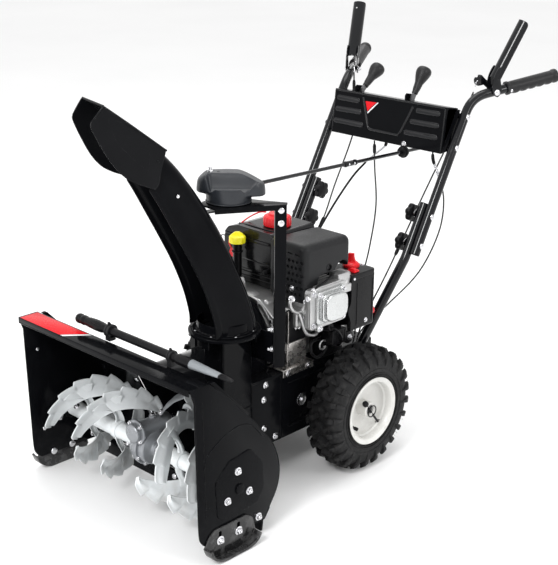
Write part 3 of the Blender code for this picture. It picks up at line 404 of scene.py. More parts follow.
def frame_of(axis):
    d = Vector(axis).normalized()
    u = d.orthogonal().normalized()
    if abs(d.z) < 0.9:
        u = (Vector((0, 0, 1)) - d * d.z).normalized()
    return d, u, d.cross(u)


def lathe(profile, axis, centre, n=48, start=0.0, wob=None):
    """A closed profile [(radius, height)] turned round an axis; wob(angle, i, r) may change a radius."""
    d, u, v = frame_of(axis)
    c = Vector(centre)
    bm = bmesh.new()
    rings = []
    for k in range(n):
        a = start + 2 * math.pi * k / n
        e = u * math.cos(a) + v * math.sin(a)
        rings.append([None if r <= 1e-7 else bm.verts.new(c + e * (wob(a, i, r) if wob else r) + d * h) for i, (r, h) in enumerate(profile)])
    poles = [bm.verts.new(c + d * h) if r <= 1e-7 else None for r, h in profile]
    m = len(profile)
    for k in range(n):
        a, b = rings[k], rings[(k + 1) % n]
        for i in range(m):
            j = (i + 1) % m
            vs = []
            for q in (a[i] or poles[i], a[j] or poles[j], b[j] or poles[j], b[i] or poles[i]):
                if q not in vs:
                    vs.append(q)
            if len(vs) > 2:
                bm.faces.new(vs)
    return recalc(bm)


def rod(p0, p1, r, n=28, hole=0.0, ch=0.0):
    """A round bar or tube; ch is a chamfer on its ends."""
    p0, p1 = Vector(p0), Vector(p1)
    L = (p1 - p0).length
    if ch:
        prof = [(hole, 0), (r - ch, 0), (r - ch * 0.3, ch * 0.3), (r, ch), (r, L - ch), (r - ch * 0.3, L - ch * 0.3), (r - ch, L), (hole, L)]
    else:
        prof = [(hole, 0), (r, 0), (r, L), (hole, L)]
    return lathe(prof, p1 - p0, p0, n)


def smooth_path(pts, per=6):
    P = [Vector(p) for p in pts]
    P = [P[0] * 2 - P[1]] + P + [P[-1] * 2 - P[-2]]
    out = []
    for i in range(1, len(P) - 2):
        for k in range(per):
            t = k / per
            a, b, c, d = P[i - 1], P[i], P[i + 1], P[i + 2]
            out.append(0.5 * ((2 * b) + (c - a) * t + (2 * a - 5 * b + 4 * c - d) * t * t + (3 * b - a - 3 * c + d) * t ** 3))
    out.append(P[-2])
    return out


def smooth2(pts, per=5, closed=False):
    """A smooth 2-D line through pairs."""
    P = [Vector((p[0], p[1], 0)) for p in pts]
    if closed:
        n = len(P)
        out = []
        for i in range(n):
            a, b, c, d = P[i - 1], P[i], P[(i + 1) % n], P[(i + 2) % n]
            for k in range(per):
                t = k / per
                q = 0.5 * ((2 * b) + (c - a) * t + (2 * a - 5 * b + 4 * c - d) * t * t + (3 * b - a - 3 * c + d) * t ** 3)
                out.append((q.x, q.y))
        return out
    return [(q.x, q.y) for q in smooth_path([tuple(p) for p in P], per)]


def round_poly(pts, radius, seg=5):
    """A closed outline with its corners rounded; radius may be a list."""
    n = len(pts)
    out = []
    for i in range(n):
        r = radius[i] if isinstance(radius, (list, tuple)) else radius
        a, b, c = (Vector((*pts[(i + k) % n][:2], 0)) for k in (-1, 0, 1))
        if r <= 0:
            out.append((b.x, b.y))
            continue
        u, v = (a - b), (c - b)
        lu, lv = u.length, v.length
        u, v = u / lu, v / lv
        ang = max(0.05, u.angle(v))
        t = min(r / math.tan(ang / 2), lu * 0.48, lv * 0.48)
        s, e = b + u * t, b + v * t
        for k in range(seg + 1):
            f = k / seg
            q = s * (1 - f) ** 2 + b * 2 * f * (1 - f) + e * f * f
            out.append((q.x, q.y))
    return out


def rounded(pts, radius, seg=8):
    P = [Vector(p) for p in pts]
    out = [P[0]]
    for i in range(1, len(P) - 1):
        a, b, c = P[i - 1], P[i], P[i + 1]
        u, v = (a - b).normalized(), (c - b).normalized()
        ang = u.angle(v)
        t = min(radius / math.tan(ang / 2), (a - b).length * 0.49, (c - b).length * 0.49)
        s, e = b + u * t, b + v * t
        for k in range(seg + 1):
            f = k / seg
            out.append(s * (1 - f) ** 2 + b * 2 * f * (1 - f) + e * f * f)
    out.append(P[-1])
    return out


def pipe(path, r, n=20, hole=0.0, radii=None, wob=None, caps=True):
    """A round bar along a path; radii gives a radius at each point, wob(i, angle) a factor."""
    P = [Vector(p) for p in path]
    bm = bmesh.new()
    rings, up = [], None
    for i, p in enumerate(P):
        t = (P[min(i + 1, len(P) - 1)] - P[max(i - 1, 0)]).normalized()
        if up is None:
            up = t.orthogonal().normalized()
        up = (up - t * up.dot(t)).normalized()
        v = t.cross(up)
        rr = radii[i] if radii else r
        rings.append([bm.verts.new(p + (up * math.cos(2 * math.pi * k / n) + v * math.sin(2 * math.pi * k / n)) * rr * (wob(i, 2 * math.pi * k / n) if wob else 1)) for k in range(n)])
    for a, b in zip(rings, rings[1:]):
        for k in range(n):
            bm.faces.new((a[k], a[(k + 1) % n], b[(k + 1) % n], b[k]))
    if caps:
        bm.faces.new(rings[0])
        bm.faces.new(rings[-1])
    return recalc(bm)


def loft(sections, closed=True, ring=True):
    bm = bmesh.new()
    R = [[bm.verts.new(p) for p in s] for s in sections]
    n = len(R[0])
    for a, b in zip(R, R[1:]):
        for k in range(n if ring else n - 1):
            bm.faces.new((a[k], a[(k + 1) % n], b[(k + 1) % n], b[k]))
    if closed:
        bm.faces.new(R[0])
        bm.faces.new(R[-1])
    return recalc(bm)


def boolean(a, b, op="DIFFERENCE"):
    objs = []
    for k, bm in enumerate((a, b)):
        me = bpy.data.meshes.new("tmp%d" % k)
        bm.to_mesh(me)
        bm.free()
        o = bpy.data.objects.new("tmp%d" % k, me)
        SCN.objects.link(o)
        objs.append(o)
    mod = objs[0].modifiers.new("b", "BOOLEAN")
    mod.operation, mod.solver, mod.object = op, "EXACT", objs[1]
    dg = bpy.context.evaluated_depsgraph_get()
    dg.update()
    me = bpy.data.meshes.new_from_object(objs[0].evaluated_get(dg))
    out = bmesh.new()
    out.from_mesh(me)
    bmesh.ops.remove_doubles(out, verts=out.verts, dist=1e-6)
    bmesh.ops.dissolve_degenerate(out, dist=1e-6, edges=out.edges)
    for o in objs:
        d = o.data
        bpy.data.objects.remove(o, do_unlink=True)
        bpy.data.meshes.remove(d)
    bpy.data.meshes.remove(me)
    return out


def minus(a, *bms):
    """a without all of bms, which must not overlap one another."""
    return boolean(a, join(*bms)) if bms else a


def minus_each(a, *bms):
    for b in bms:
        a = boolean(a, b)
    return a


def plus(a, *bms):
    for b in bms:
        a = boolean(a, b, "UNION")
    return a


def mirror_x(bm):
    out = bm.copy()
    bmesh.ops.scale(out, vec=(-1, 1, 1), verts=out.verts)
    bmesh.ops.reverse_faces(out, faces=out.faces)
    return out


def placed(bm, origin, zaxis, xhint=(1, 0, 0)):
    """bm, made at the world origin along +Z, moved to origin with +Z along zaxis."""
    z = Vector(zaxis).normalized()
    x = Vector(xhint)
    x = x - z * x.dot(z)
    if x.length < 1e-4:
        x = z.orthogonal()
    x.normalize()
    y = z.cross(x)
    M = Matrix(((x.x, y.x, z.x, origin[0]), (x.y, y.y, z.y, origin[1]), (x.z, y.z, z.z, origin[2]), (0, 0, 0, 1)))
    bmesh.ops.transform(bm, matrix=M, verts=bm.verts)
    return bm


def hex_bolt(p, axis, r=0.0065, h=0.0045, washer=0.0095, turn=0.2):
    """A hexagon flange bolt whose seat is at p."""
    prof = [(0, 0), (washer, 0), (washer, 0.0010), (washer * 0.93, 0.0014), (0, 0.0014)] if washer else None
    bms = []
    if prof:
        bms.append(lathe(prof, (0, 0, 1), (0, 0, 0), 24))
    z0 = 0.0012 if washer else 0.0
    hexa = [(r * math.cos(math.radians(60 * k) + turn), r * math.sin(math.radians(60 * k) + turn)) for k in range(6)]
    top = bevelled(prism(hexa, "Z", z0, z0 + h), r * 0.10, 2)
    bms.append(top)
    bms.append(lathe([(0, z0 + h - 0.0004), (r * 0.62, z0 + h - 0.0004), (r * 0.58, z0 + h + 0.0003), (r * 0.40, z0 + h + 0.0001), (0, z0 + h + 0.0001)], (0, 0, 1), (0, 0, 0), 18))
    return placed(join(*bms), p, axis)


def dome_bolt(p, axis, r=0.0085, h=0.0040):
    """A carriage bolt's round head."""
    prof = [(0, 0), (r, 0), (r, h * 0.22)] + [(r * math.cos(a), h * 0.22 + h * 0.78 * math.sin(a)) for a in (0.35, 0.7, 1.05, 1.35)] + [(0, h)]
    return placed(lathe(prof, (0, 0, 1), (0, 0, 0), 24), p, axis)


def nut(p, axis, r=0.0065, h=0.0055, washer=0.0088, stud=0.0035):
    bms = [lathe([(0, 0), (washer, 0), (washer, 0.0012), (0, 0.0012)], (0, 0, 1), (0, 0, 0), 24)]
    hexa = [(r * math.cos(math.radians(60 * k)), r * math.sin(math.radians(60 * k))) for k in range(6)]
    bms.append(bevelled(prism(hexa, "Z", 0.0012, 0.0012 + h), r * 0.12, 2))
    bms.append(lathe([(0, 0.002), (stud, 0.002), (stud, h + 0.0035), (stud * 0.8, h + 0.0042), (0, h + 0.0042)], (0, 0, 1), (0, 0, 0), 16))
    return placed(join(*bms), p, axis)


def weld_bead(path, r=0.0022, seed=1):
    """A rippled weld bead along a path."""
    P = [Vector(p) for p in path]
    rad = [r * (0.82 + 0.25 * math.sin(i * 1.9 + seed)) for i in range(len(P))]
    return pipe(P, r, 8, radii=rad)


def dense(path, step):
    """The path with points at most step apart."""
    out = [Vector(path[0])]
    for a, b in zip(path, path[1:]):
        a, b = Vector(a), Vector(b)
        k = max(1, int((b - a).length / step))
        for i in range(1, k + 1):
            out.append(a.lerp(b, i / k))
    return out


def helix(p0, p1, R, turns, per=12):
    """Points of a coil round the line from p0 to p1."""
    p0, p1 = Vector(p0), Vector(p1)
    d, u, v = frame_of(p1 - p0)
    n = int(turns * per)
    return [p0.lerp(p1, i / n) + (u * math.cos(2 * math.pi * i / per) + v * math.sin(2 * math.pi * i / per)) * R for i in range(n + 1)]

# =====================================================================================
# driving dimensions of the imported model
# =====================================================================================
HOUSING_HALF, PLATE, SHEET = 0.3085, 0.0035, 0.0025
AY, AZ, AUGER_R = -0.511, 0.151, 0.122
IMP_Z, DRUM_R, DRUM_BACK = 0.198, 0.1425, -0.297
CHUTE = Vector((0.112, -0.362, 0.0))
CHUTE_TURN = math.radians(14)
RING_Z = 0.446
AXLE_Z, RIM_OUT = 0.165, 0.285
FRAME_HALF, FRAME_F, FRAME_B, FRAME_LO, FRAME_HI = 0.140, -0.2966, 0.160, 0.100, 0.285
CRANK_Z = 0.392
TUBE_R, HANDLE_X = 0.0127, 0.2177
LOWER_X = HANDLE_X - 2 * TUBE_R - 0.0004
SPLAY, RISE = math.radians(28), math.radians(11)
BEND = Vector((HANDLE_X, 0.447, 0.910))


def handle_y(z):
    return -0.0518 + 0.5476 * z


BACK_LINE = [(-0.6000, 0.4375), (-0.5440, 0.3850), (-0.4820, 0.3230), (-0.4400, 0.2740), (-0.4020, 0.2200),
             (-0.3805, 0.1650), (-0.3820, 0.1180), (-0.3975, 0.0840), (-0.4240, 0.0500)]


def offset_line(line, d):
    out = []
    for i, p in enumerate(line):
        a, b = line[max(i - 1, 0)], line[min(i + 1, len(line) - 1)]
        t = Vector((b[0] - a[0], b[1] - a[1])).normalized()
        out.append((p[0] - t.y * d, p[1] + t.x * d))
    return out


# =====================================================================================
# auger housing
# =====================================================================================
def build_housing():
    back = smooth2(BACK_LINE, 4)
    inner = offset_line(back, -SHEET)
    front = [(-0.6560, 0.4375), (-0.6575, 0.4362), (-0.6575, 0.4240), (-0.6550, 0.4240), (-0.6550, 0.4345), (-0.6543, 0.4352), (-0.6012, 0.4352)]
    outline = [back[0]] + front + inner[1:] + back[:0:-1]
    shell = prism(outline, "X", -HOUSING_HALF, HOUSING_HALF)
    shell = boolean(shell, rod((0, -0.57, IMP_Z), (0, -0.30, IMP_Z), DRUM_R + 0.0004, 72))
    extra = []
    # pressed bead along the back sheet, and the lower lip's folded hem
    for x in (-0.205, 0.215):
        line = [(x, y + 0.0004, z + 0.0004) for y, z in smooth2(BACK_LINE[1:4], 8)]
        extra.append(pipe(line, 0.0028, 10))
    extra.append(pipe([(x, -0.6562, 0.4245) for x in (-0.3075, -0.1, 0.1, 0.3075)], 0.0019, 10))
    parts = [(shell, M_BLACK), (join(*extra), M_BLACK)]
    # plain red film with a white stripe on the top sheet, no lettering
    zt = 0.43775
    red = prism([(-0.3055, -0.6545), (-0.3055, -0.6035), (-0.1015, -0.6035), (-0.1470, -0.6545)], "Z", zt - 0.0001, zt + 0.0001)
    white = prism([(-0.1440, -0.6545), (-0.0985, -0.6035), (-0.0890, -0.6035), (-0.1100, -0.6270), (-0.0960, -0.6270), (-0.0760, -0.6045), (-0.0680, -0.6045), (-0.1130, -0.6545)][:4] + [(-0.1330, -0.6545)], "Z", zt - 0.0001, zt + 0.0001)
    parts += [(red, M_REDFILM), (white, M_WHITEFILM)]
    # bolts that tie the drum flange to the sheet, seen inside the mouth
    bl = []
    for a in (20, 65, 115, 160, 200, 250, 290, 340):
        th = math.radians(a)
        x, z = (DRUM_R + 0.012) * math.cos(th), IMP_Z + (DRUM_R + 0.012) * math.sin(th)
        if z < 0.055 or z > 0.33:
            continue
        for p, q in zip(back, back[1:]):
            if min(p[1], q[1]) <= z <= max(p[1], q[1]):
                t = (z - p[1]) / (q[1] - p[1])
                y = p[0] + (q[0] - p[0]) * t - SHEET
                n = Vector((0, q[1] - p[1], -(q[0] - p[0]))).normalized()
                bl.append(dome_bolt((x, y, z), n if n.y < 0 else -n, 0.0075, 0.0034))
                break
    parts.append((join(*bl), M_BOLT))
    emit("housing_sheet", parts, "chassis", "housing_shell", bevel=0.0006, seg=2)


SIDE = [(-0.6555, 0.4371), (-0.6440, 0.4040), (-0.6340, 0.0800), (-0.6270, 0.0560), (-0.6120, 0.0420), (-0.4270, 0.0380),
        (-0.3955, 0.0840), (-0.3800, 0.1180), (-0.3770, 0.1620), (-0.3960, 0.2200), (-0.4380, 0.2740), (-0.4810, 0.3240),
        (-0.5430, 0.3870), (-0.5990, 0.4371)]


def side_outline():
    front = [(-0.6555, 0.4371), (-0.6500, 0.4200)] + smooth2([(-0.6440, 0.4040), (-0.6410, 0.3000), (-0.6370, 0.1700), (-0.6340, 0.0800), (-0.6270, 0.0560), (-0.6120, 0.0420)], 4)
    rear = smooth2([(-0.4270, 0.0380), (-0.3955, 0.0840), (-0.3800, 0.1180), (-0.3770, 0.1620), (-0.3960, 0.2200), (-0.4380, 0.2740), (-0.4810, 0.3240), (-0.5430, 0.3870), (-0.5990, 0.4371)], 4)
    return front + rear


def build_side(sign):
    x0, x1 = HOUSING_HALF + 0.0004, HOUSING_HALF + 0.0004 + PLATE
    bm = prism(side_outline(), "X", x0, x1)
    # raised panel round the bearing, a second outline above it, and the folded front edge
    pad = prism(round_poly([(-0.5860, 0.1900), (-0.5440, 0.2310), (-0.4740, 0.2400), (-0.4350, 0.1930), (-0.4300, 0.1260), (-0.4500, 0.0930), (-0.5180, 0.0880), (-0.5790, 0.0930)], 0.020, 6), "X", x1 - 0.002, x1 + 0.0022)
    pad = bevelled(pad, 0.0019, 3)
    arc = smooth2([(-0.6190, 0.2350), (-0.6060, 0.2680), (-0.5600, 0.2965), (-0.5120, 0.3080), (-0.4700, 0.2960), (-0.4340, 0.2560)], 6)
    ridge = pipe([(x1 - 0.0004, y, z) for y, z in arc], 0.0018, 10)
    fold = pipe([(x1 - 0.0004, y + 0.014, z) for y, z in ((-0.6350, 0.4000), (-0.6320, 0.3000), (-0.6290, 0.1800), (-0.6260, 0.0900))], 0.0015, 10)
    lip = pipe([(x1 - 0.0012, y + 0.0012, z) for y, z in side_outline()[1:26]], 0.0019, 10)
    hem = pipe([(x1 - 0.0013, y - 0.0010, z - 0.0004) for y, z in side_outline()[27:-1]], 0.0018, 10)
    inner = lathe([(0.0110, x0 - 0.0010), (0.0300, x0 - 0.0010), (0.0280, x0 - 0.0060), (0.0180, x0 - 0.0075), (0.0110, x0 - 0.0075)], (1, 0, 0), (0, AY, AZ), 40)
    bolts, heads = [], []
    for y, z in ((-0.516, 0.197), (-0.480, 0.134), (-0.549, 0.133)):
        bolts.append(nut((x1 + 0.0020, y, z), (1, 0, 0), 0.0068, 0.0056, 0.0098))
        heads.append(dome_bolt((x0 - 0.0006, y, z), (-1, 0, 0), 0.0085, 0.0036))
    for y, z in ((-0.574, 0.0445), (-0.516, 0.0455)):
        bolts.append(nut((x1 + 0.0046, y, z), (1, 0, 0), 0.0070, 0.0060, 0.0112))
        heads.append(dome_bolt((x0 - 0.0006, y, z), (-1, 0, 0), 0.0095, 0.0040))
    bolts.append(nut((x1, -0.4470, 0.0520), (1, 0, 0), 0.0068, 0.0056, 0.0100))
    heads.append(dome_bolt((x0 - 0.0006, -0.4470, 0.0520), (-1, 0, 0), 0.0085, 0.0036))
    for y, z in ((-0.6260, 0.3400), (-0.6190, 0.1180)):
        heads.append(dome_bolt((x0 - 0.0004, y + 0.02, z), (-1, 0, 0), 0.0055, 0.0022))
    flange = prism([(-0.5920, 0.4345), (-0.4850, 0.3230), (-0.4720, 0.3230), (-0.5800, 0.4345)], "X", x0 - 0.0120, x0 - 0.0006)
    cap = lathe([(0, x1 - 0.001), (0.0130, x1 - 0.001), (0.0130, 0.3182), (0.0118, 0.3192), (0, 0.3194)], (1, 0, 0), (0, AY, AZ), 40)
    sheets = join(bm, pad, ridge, fold, lip, hem, inner, flange, cap)
    steelbits, domes = join(*bolts), join(*heads)
    if sign < 0:
        sheets, steelbits, domes = mirror_x(sheets), mirror_x(steelbits), mirror_x(domes)
    side = "left" if sign > 0 else "right"
    emit("side_sheet_" + side, [(sheets, M_BLACK), (steelbits, M_BOLT), (domes, M_BOLT)], "chassis", "side_plate_" + side, bevel=0.0006, seg=2)


def build_scraper():
    bm = prism([(-0.4300, 0.0490), (-0.4240, 0.0490), (-0.4290, 0.0060), (-0.4350, 0.0060)], "X", -HOUSING_HALF, HOUSING_HALF)
    n = Vector((0, -0.043, 0.005)).normalized()
    bl = [dome_bolt((x, -0.4318, 0.0330), (0, -1, 0.12), 0.0080, 0.0036) for x in (-0.26, -0.13, 0.0, 0.13, 0.26)]
    emit("scraper_strip", [(bm, M_BLACK), (join(*bl), M_BOLT)], "chassis", "scraper_bar", bevel=0.0007)


SKID = [(-0.6230, 0.0400), (-0.6140, 0.0200), (-0.5900, 0.0040), (-0.5760, 0.0), (-0.5020, 0.0), (-0.4720, 0.0100),
        (-0.4600, 0.0260), (-0.4700, 0.0620), (-0.4900, 0.0760), (-0.5900, 0.0760), (-0.6060, 0.0660)]


def build_skid(sign):
    SK = HOUSING_HALF + 0.0004 + PLATE + 0.0004
    bottom = smooth2([(-0.6230, 0.0400), (-0.6140, 0.0200), (-0.5960, 0.0065), (-0.5760, 0.0003), (-0.5390, 0.0), (-0.5020, 0.0003), (-0.4740, 0.0092), (-0.4600, 0.0260)], 4)
    plate = prism(bottom + round_poly([(-0.4600, 0.0260), (-0.4700, 0.0620), (-0.4900, 0.0760), (-0.5900, 0.0760), (-0.6060, 0.0660), (-0.6230, 0.0400)], 0.012, 4)[5:-5], "X", SK, SK + 0.0040)
    slots = [prism(round_poly([(y - 0.0045, 0.036), (y + 0.0045, 0.036), (y + 0.0045, 0.068), (y - 0.0045, 0.068)], 0.0044, 5), "X", SK - 0.01, SK + 0.012) for y in (-0.574, -0.516)]
    plate = minus(plate, *slots)
    up = offset_line(bottom, 0.0040)
    if up[len(up) // 2][1] < bottom[len(bottom) // 2][1]:
        up = offset_line(bottom, -0.0040)
    sole = prism(bottom + up[::-1], "X", SK + 0.001, SK + 0.0255)
    rim = pipe([(SK + 0.0245, y, z) for y, z in offset_line(bottom, 0.0035 if up[8][1] > bottom[8][1] else -0.0035)], 0.0034, 10)
    sh = join(plate, sole, rim)
    if sign < 0:
        sh = mirror_x(sh)
    side = "left" if sign > 0 else "right"
    emit("skid_" + side, [(sh, M_SKID)], "skid_" + side, "skid_shoe_" + side, bevel=0.0007)


M_SKID = paint("black_skid_paint", (0.0065, 0.0065, 0.007), 0.20, dust=0.15, edge=((0.32, 0.31, 0.30), 0.6), scuff=0.5)

# =====================================================================================
# drum, neck, ring
# =====================================================================================
POST = Vector((0.212, -0.278, 0))
PU, PN = Vector((0.5470, 0.8371, 0)), Vector((0.8371, -0.5470, 0))


def quad_prism(centre, u, n, hu, hn, z0, z1):
    c = Vector(centre)
    pts = [c + u * a + n * b for a, b in ((-hu, -hn), (hu, -hn), (hu, hn), (-hu, hn))]
    return prism([(p.x, p.y) for p in pts], "Z", z0, z1)


def build_drum():
    drum = rod((0, -0.52, IMP_Z), (0, DRUM_BACK, IMP_Z), DRUM_R, 84)
    behind = offset_line(smooth2(BACK_LINE, 4), 0.0006)
    cutter = prism([(-0.75, 0.60), (-0.6500, 0.60), (-0.62, 0.4540)] + behind[2:-1] + [(-0.4240, 0.0480), (-0.43, -0.05), (-0.75, -0.05)], "X", -0.3, 0.3)
    neck = prism(round_poly([(0.0745, -0.398), (DRUM_R, -0.398), (DRUM_R, DRUM_BACK), (0.0745, DRUM_BACK)], 0.008, 5), "Z", IMP_Z, RING_Z - 0.003)
    drum = boolean(drum, neck, "UNION")
    drum = boolean(drum, cutter)
    drum = boolean(drum, rod((CHUTE.x, CHUTE.y, RING_Z - 0.006), (CHUTE.x, CHUTE.y, RING_Z), 0.0865, 72), "UNION")
    drum = boolean(drum, rod((0, -0.56, IMP_Z), (0, DRUM_BACK - 0.003, IMP_Z), DRUM_R - SHEET, 84))
    drum = boolean(drum, prism(round_poly([(0.077, -0.3955), (DRUM_R - SHEET, -0.3955), (DRUM_R - SHEET, DRUM_BACK - 0.003), (0.077, DRUM_BACK - 0.003)], 0.006, 4), "Z", IMP_Z, RING_Z + 0.02))
    drum = boolean(drum, rod((0, -0.40, IMP_Z), (0, -0.20, IMP_Z), 0.0125, 28))
    f = quad_prism(POST - PU * (0.0135 + 0.0019), PU, PN, 0.0015, 0.012, 0.361, 0.446)
    f0 = POST - PU * 0.0155
    f1 = Vector((0.130, -0.2975, 0))
    gu = (f1 - f0).normalized()
    gn = Vector((-gu.y, gu.x, 0))
    gus = prism([tuple((f0 + gn * -0.0015).xy), tuple((f0 + gn * 0.0015).xy), tuple((f1 + gu * 0.001 + gn * 0.0015).xy), tuple((f1 + gu * 0.001 + gn * -0.0015).xy)], "Z", 0.361, 0.440)
    extras = [f, gus]
    # weld beads, the ring's rim and the tabs under it, and the rolled seam of the drum
    beads = [weld_bead(dense([(DRUM_R + 0.0006, y, 0.232) for y in (-0.395, -0.30)], 0.004), 0.0020),
             weld_bead(dense([(0.1427, -0.3978, z) for z in (0.215, 0.43)], 0.004), 0.0011)]
    rim = lathe([(0.0850, RING_Z - 0.0075), (0.0872, RING_Z - 0.0070), (0.0878, RING_Z - 0.0030), (0.0872, RING_Z + 0.0004), (0.0855, RING_Z - 0.0004)], (0, 0, 1), (CHUTE.x, CHUTE.y, 0), 72)
    for k in range(3):
        a = math.radians(40 + 120 * k)
        extras.append(block(-0.010, 0.010, -0.0015, 0.0015, RING_Z - 0.030, RING_Z - 0.006))
        R = Matrix.Translation((CHUTE.x + 0.076 * math.cos(a), CHUTE.y + 0.076 * math.sin(a), 0)) @ Matrix.Rotation(a + math.pi / 2, 4, "Z")
        bmesh.ops.transform(extras[-1], matrix=R, verts=extras[-1].verts)
    hoop = lathe([(DRUM_R - 0.0005, -0.3005), (DRUM_R + 0.0022, -0.2995), (DRUM_R + 0.0022, -0.2972), (DRUM_R - 0.0005, -0.2972)], (0, 1, 0), (0, 0, IMP_Z), 84)
    bl = []
    for k in range(6):
        a = math.radians(25 + 60 * k)
        bl.append(hex_bolt((0.125 * math.cos(a), DRUM_BACK + 0.0002, IMP_Z + 0.125 * math.sin(a)), (0, 1, 0), 0.0055, 0.004, 0.0085))
    emit("impeller_housing", [(join(drum, *extras, rim, hoop), M_BLACK), (join(*beads), M_BLACK), (join(*bl), M_BOLT)], "chassis", "impeller_drum", bevel=0.0005, seg=2)


# =====================================================================================
# auger
# =====================================================================================
PITCH = 0.220 / (1.02 * 2 * math.pi)


def polar(x, r, a):
    return Vector((x, AY + r * math.cos(a), AZ + r * math.sin(a)))


def tooth(f, n):
    """Saw-tooth step in 0..1 for a share f along the edge."""
    t = (f * n) % 1.0
    return t if t < 0.86 else (1.0 - t) / 0.14


def crescent(xc, phi, back, ahead, teeth=7, steps=112, r_mid=0.057):
    """A serrated blade that winds round the shaft, widest where its arm joins it."""
    secs = []
    for i in range(steps + 1):
        f = i / steps
        a = phi - back + (back + ahead) * f
        x = xc + PITCH * (a - phi)
        d = abs(a - phi) / (back if a < phi else ahead)
        taper = d ** 2.8
        end_w = 0.021 if a < phi else 0.030
        ro = AUGER_R - 0.0110 * (1 - tooth(f, teeth)) - 0.003 * taper
        if f < 0.04 or f > 0.96:
            ro -= 0.010 * (1 - min(f, 1 - f) / 0.04)
        ri = r_mid * (1 - taper) + (AUGER_R - 0.006 - end_w) * taper
        ri = min(ri, ro - 0.006)
        w = ro - ri
        pts = []
        prof = ((0.0, 0.0), (0.07, 0.0016), (0.22, 0.0010), (0.40, 0.0042), (0.58, 0.0048), (0.74, 0.0016), (0.90, 0.0), (1.0, 0.0))
        for t, b in prof:
            pts.append(polar(x + b - 0.0016, ri + w * t, a))
        for t, b in prof[::-1]:
            pts.append(polar(x + b + 0.0016, ri + w * t, a))
        secs.append(pts)
    return loft(secs)


def arm(xc, phi, sweep=0.62, steps=22):
    """The stamped arm between the hub and its blade, bent like half an S."""
    secs = []
    for i in range(steps + 1):
        f = i / steps
        r = 0.0150 + (0.097 - 0.0150) * f
        a0 = phi - sweep * (1 - f) ** 1.5
        w = 0.0150 - 0.0060 * math.sin(math.pi * min(1, f * 1.25)) + 0.030 * max(0.0, f - 0.52) ** 1.5 * 2.6
        pts = []
        prof = ((-1.0, -0.0010), (-0.82, 0.0010), (-0.55, 0.0012), (-0.3, 0.0046), (0.0, 0.0056), (0.3, 0.0046), (0.55, 0.0012), (0.82, 0.0010), (1.0, -0.0010))
        for t, b in prof:
            a = a0 + t * w / max(r, 0.02)
            pts.append(polar(xc + b - 0.0018 + PITCH * (a - phi) * f, r, a))
        for t, b in prof[::-1]:
            a = a0 + t * w / max(r, 0.02)
            pts.append(polar(xc + b + 0.0018 + PITCH * (a - phi) * f, r, a))
        secs.append(pts)
    return loft(secs)


PHASE = 0.35


def build_flights():
    for sign in (1, -1):
        bms = []
        for share in (0.25, 0.75):
            xc = 0.062 + 0.220 * share
            for half in (0, math.pi):
                phi = PHASE + 2 * math.pi * 1.02 * share + half
                bms.append(crescent(xc, phi, 1.62, 1.28))
                bms.append(arm(xc, phi))
        tube = lathe([(0.0149, 0.050), (0.0192, 0.0500), (0.0200, 0.0508), (0.0200, 0.2872), (0.0192, 0.288), (0.0149, 0.288)], (1, 0, 0), (0, AY, AZ), 48)
        collars = [lathe([(0.0195, x - 0.010), (0.0225, x - 0.009), (0.0235, x), (0.0225, x + 0.009), (0.0195, x + 0.010)], (1, 0, 0), (0, AY, AZ), 40) for x in (0.117, 0.227)]
        bl = []
        for x, a in ((0.068, 1.1), (0.272, 2.2)):
            for s in (0, math.pi):
                e = Vector((0, math.cos(a + s), math.sin(a + s)))
                bl.append(hex_bolt(Vector((x, AY, AZ)) + e * 0.0195, e, 0.0060, 0.0050, 0.0085))
        body = join(*bms, tube, *collars)
        bolts = join(*bl)
        if sign < 0:
            body, bolts = mirror_x(body), mirror_x(bolts)
        side = "left" if sign > 0 else "right"
        emit("auger_blades_" + side, [(body, M_SILVER), (bolts, M_BOLT)], "auger", "auger_flight_" + side, bevel=0.0009, seg=2, angle=40, sharp=45)


def build_auger_shaft():
    out = 0.3184
    prof = [(0, -out), (0.0092, -out), (0.0100, -out + 0.001), (0.0100, -0.304), (0.0145, -0.304), (0.0145, -0.0412), (0.0100, -0.0412),
            (0.0100, 0.0412), (0.0145, 0.0412), (0.0145, 0.304), (0.0100, 0.304), (0.0100, out - 0.001), (0.0092, out), (0, out)]
    wash = [lathe([(0.0102, s * 0.0420), (0.0185, s * 0.0420), (0.0185, s * 0.0445), (0.0102, s * 0.0445)], (1, 0, 0), (0, AY, AZ), 32) for s in (-1, 1)]
    spacer = [lathe([(0.0146, s * 0.290), (0.0190, s * 0.290), (0.0200, s * 0.2915), (0.0200, s * 0.3010), (0.0146, s * 0.3015)], (1, 0, 0), (0, AY, AZ), 32) for s in (-1, 1)]
    emit("auger_axle", [(join(lathe(prof, (1, 0, 0), (0, AY, AZ), 40), *spacer), M_SILVER), (join(*wash), M_BOLT)], "auger", "auger_shaft", bevel=0.0004)


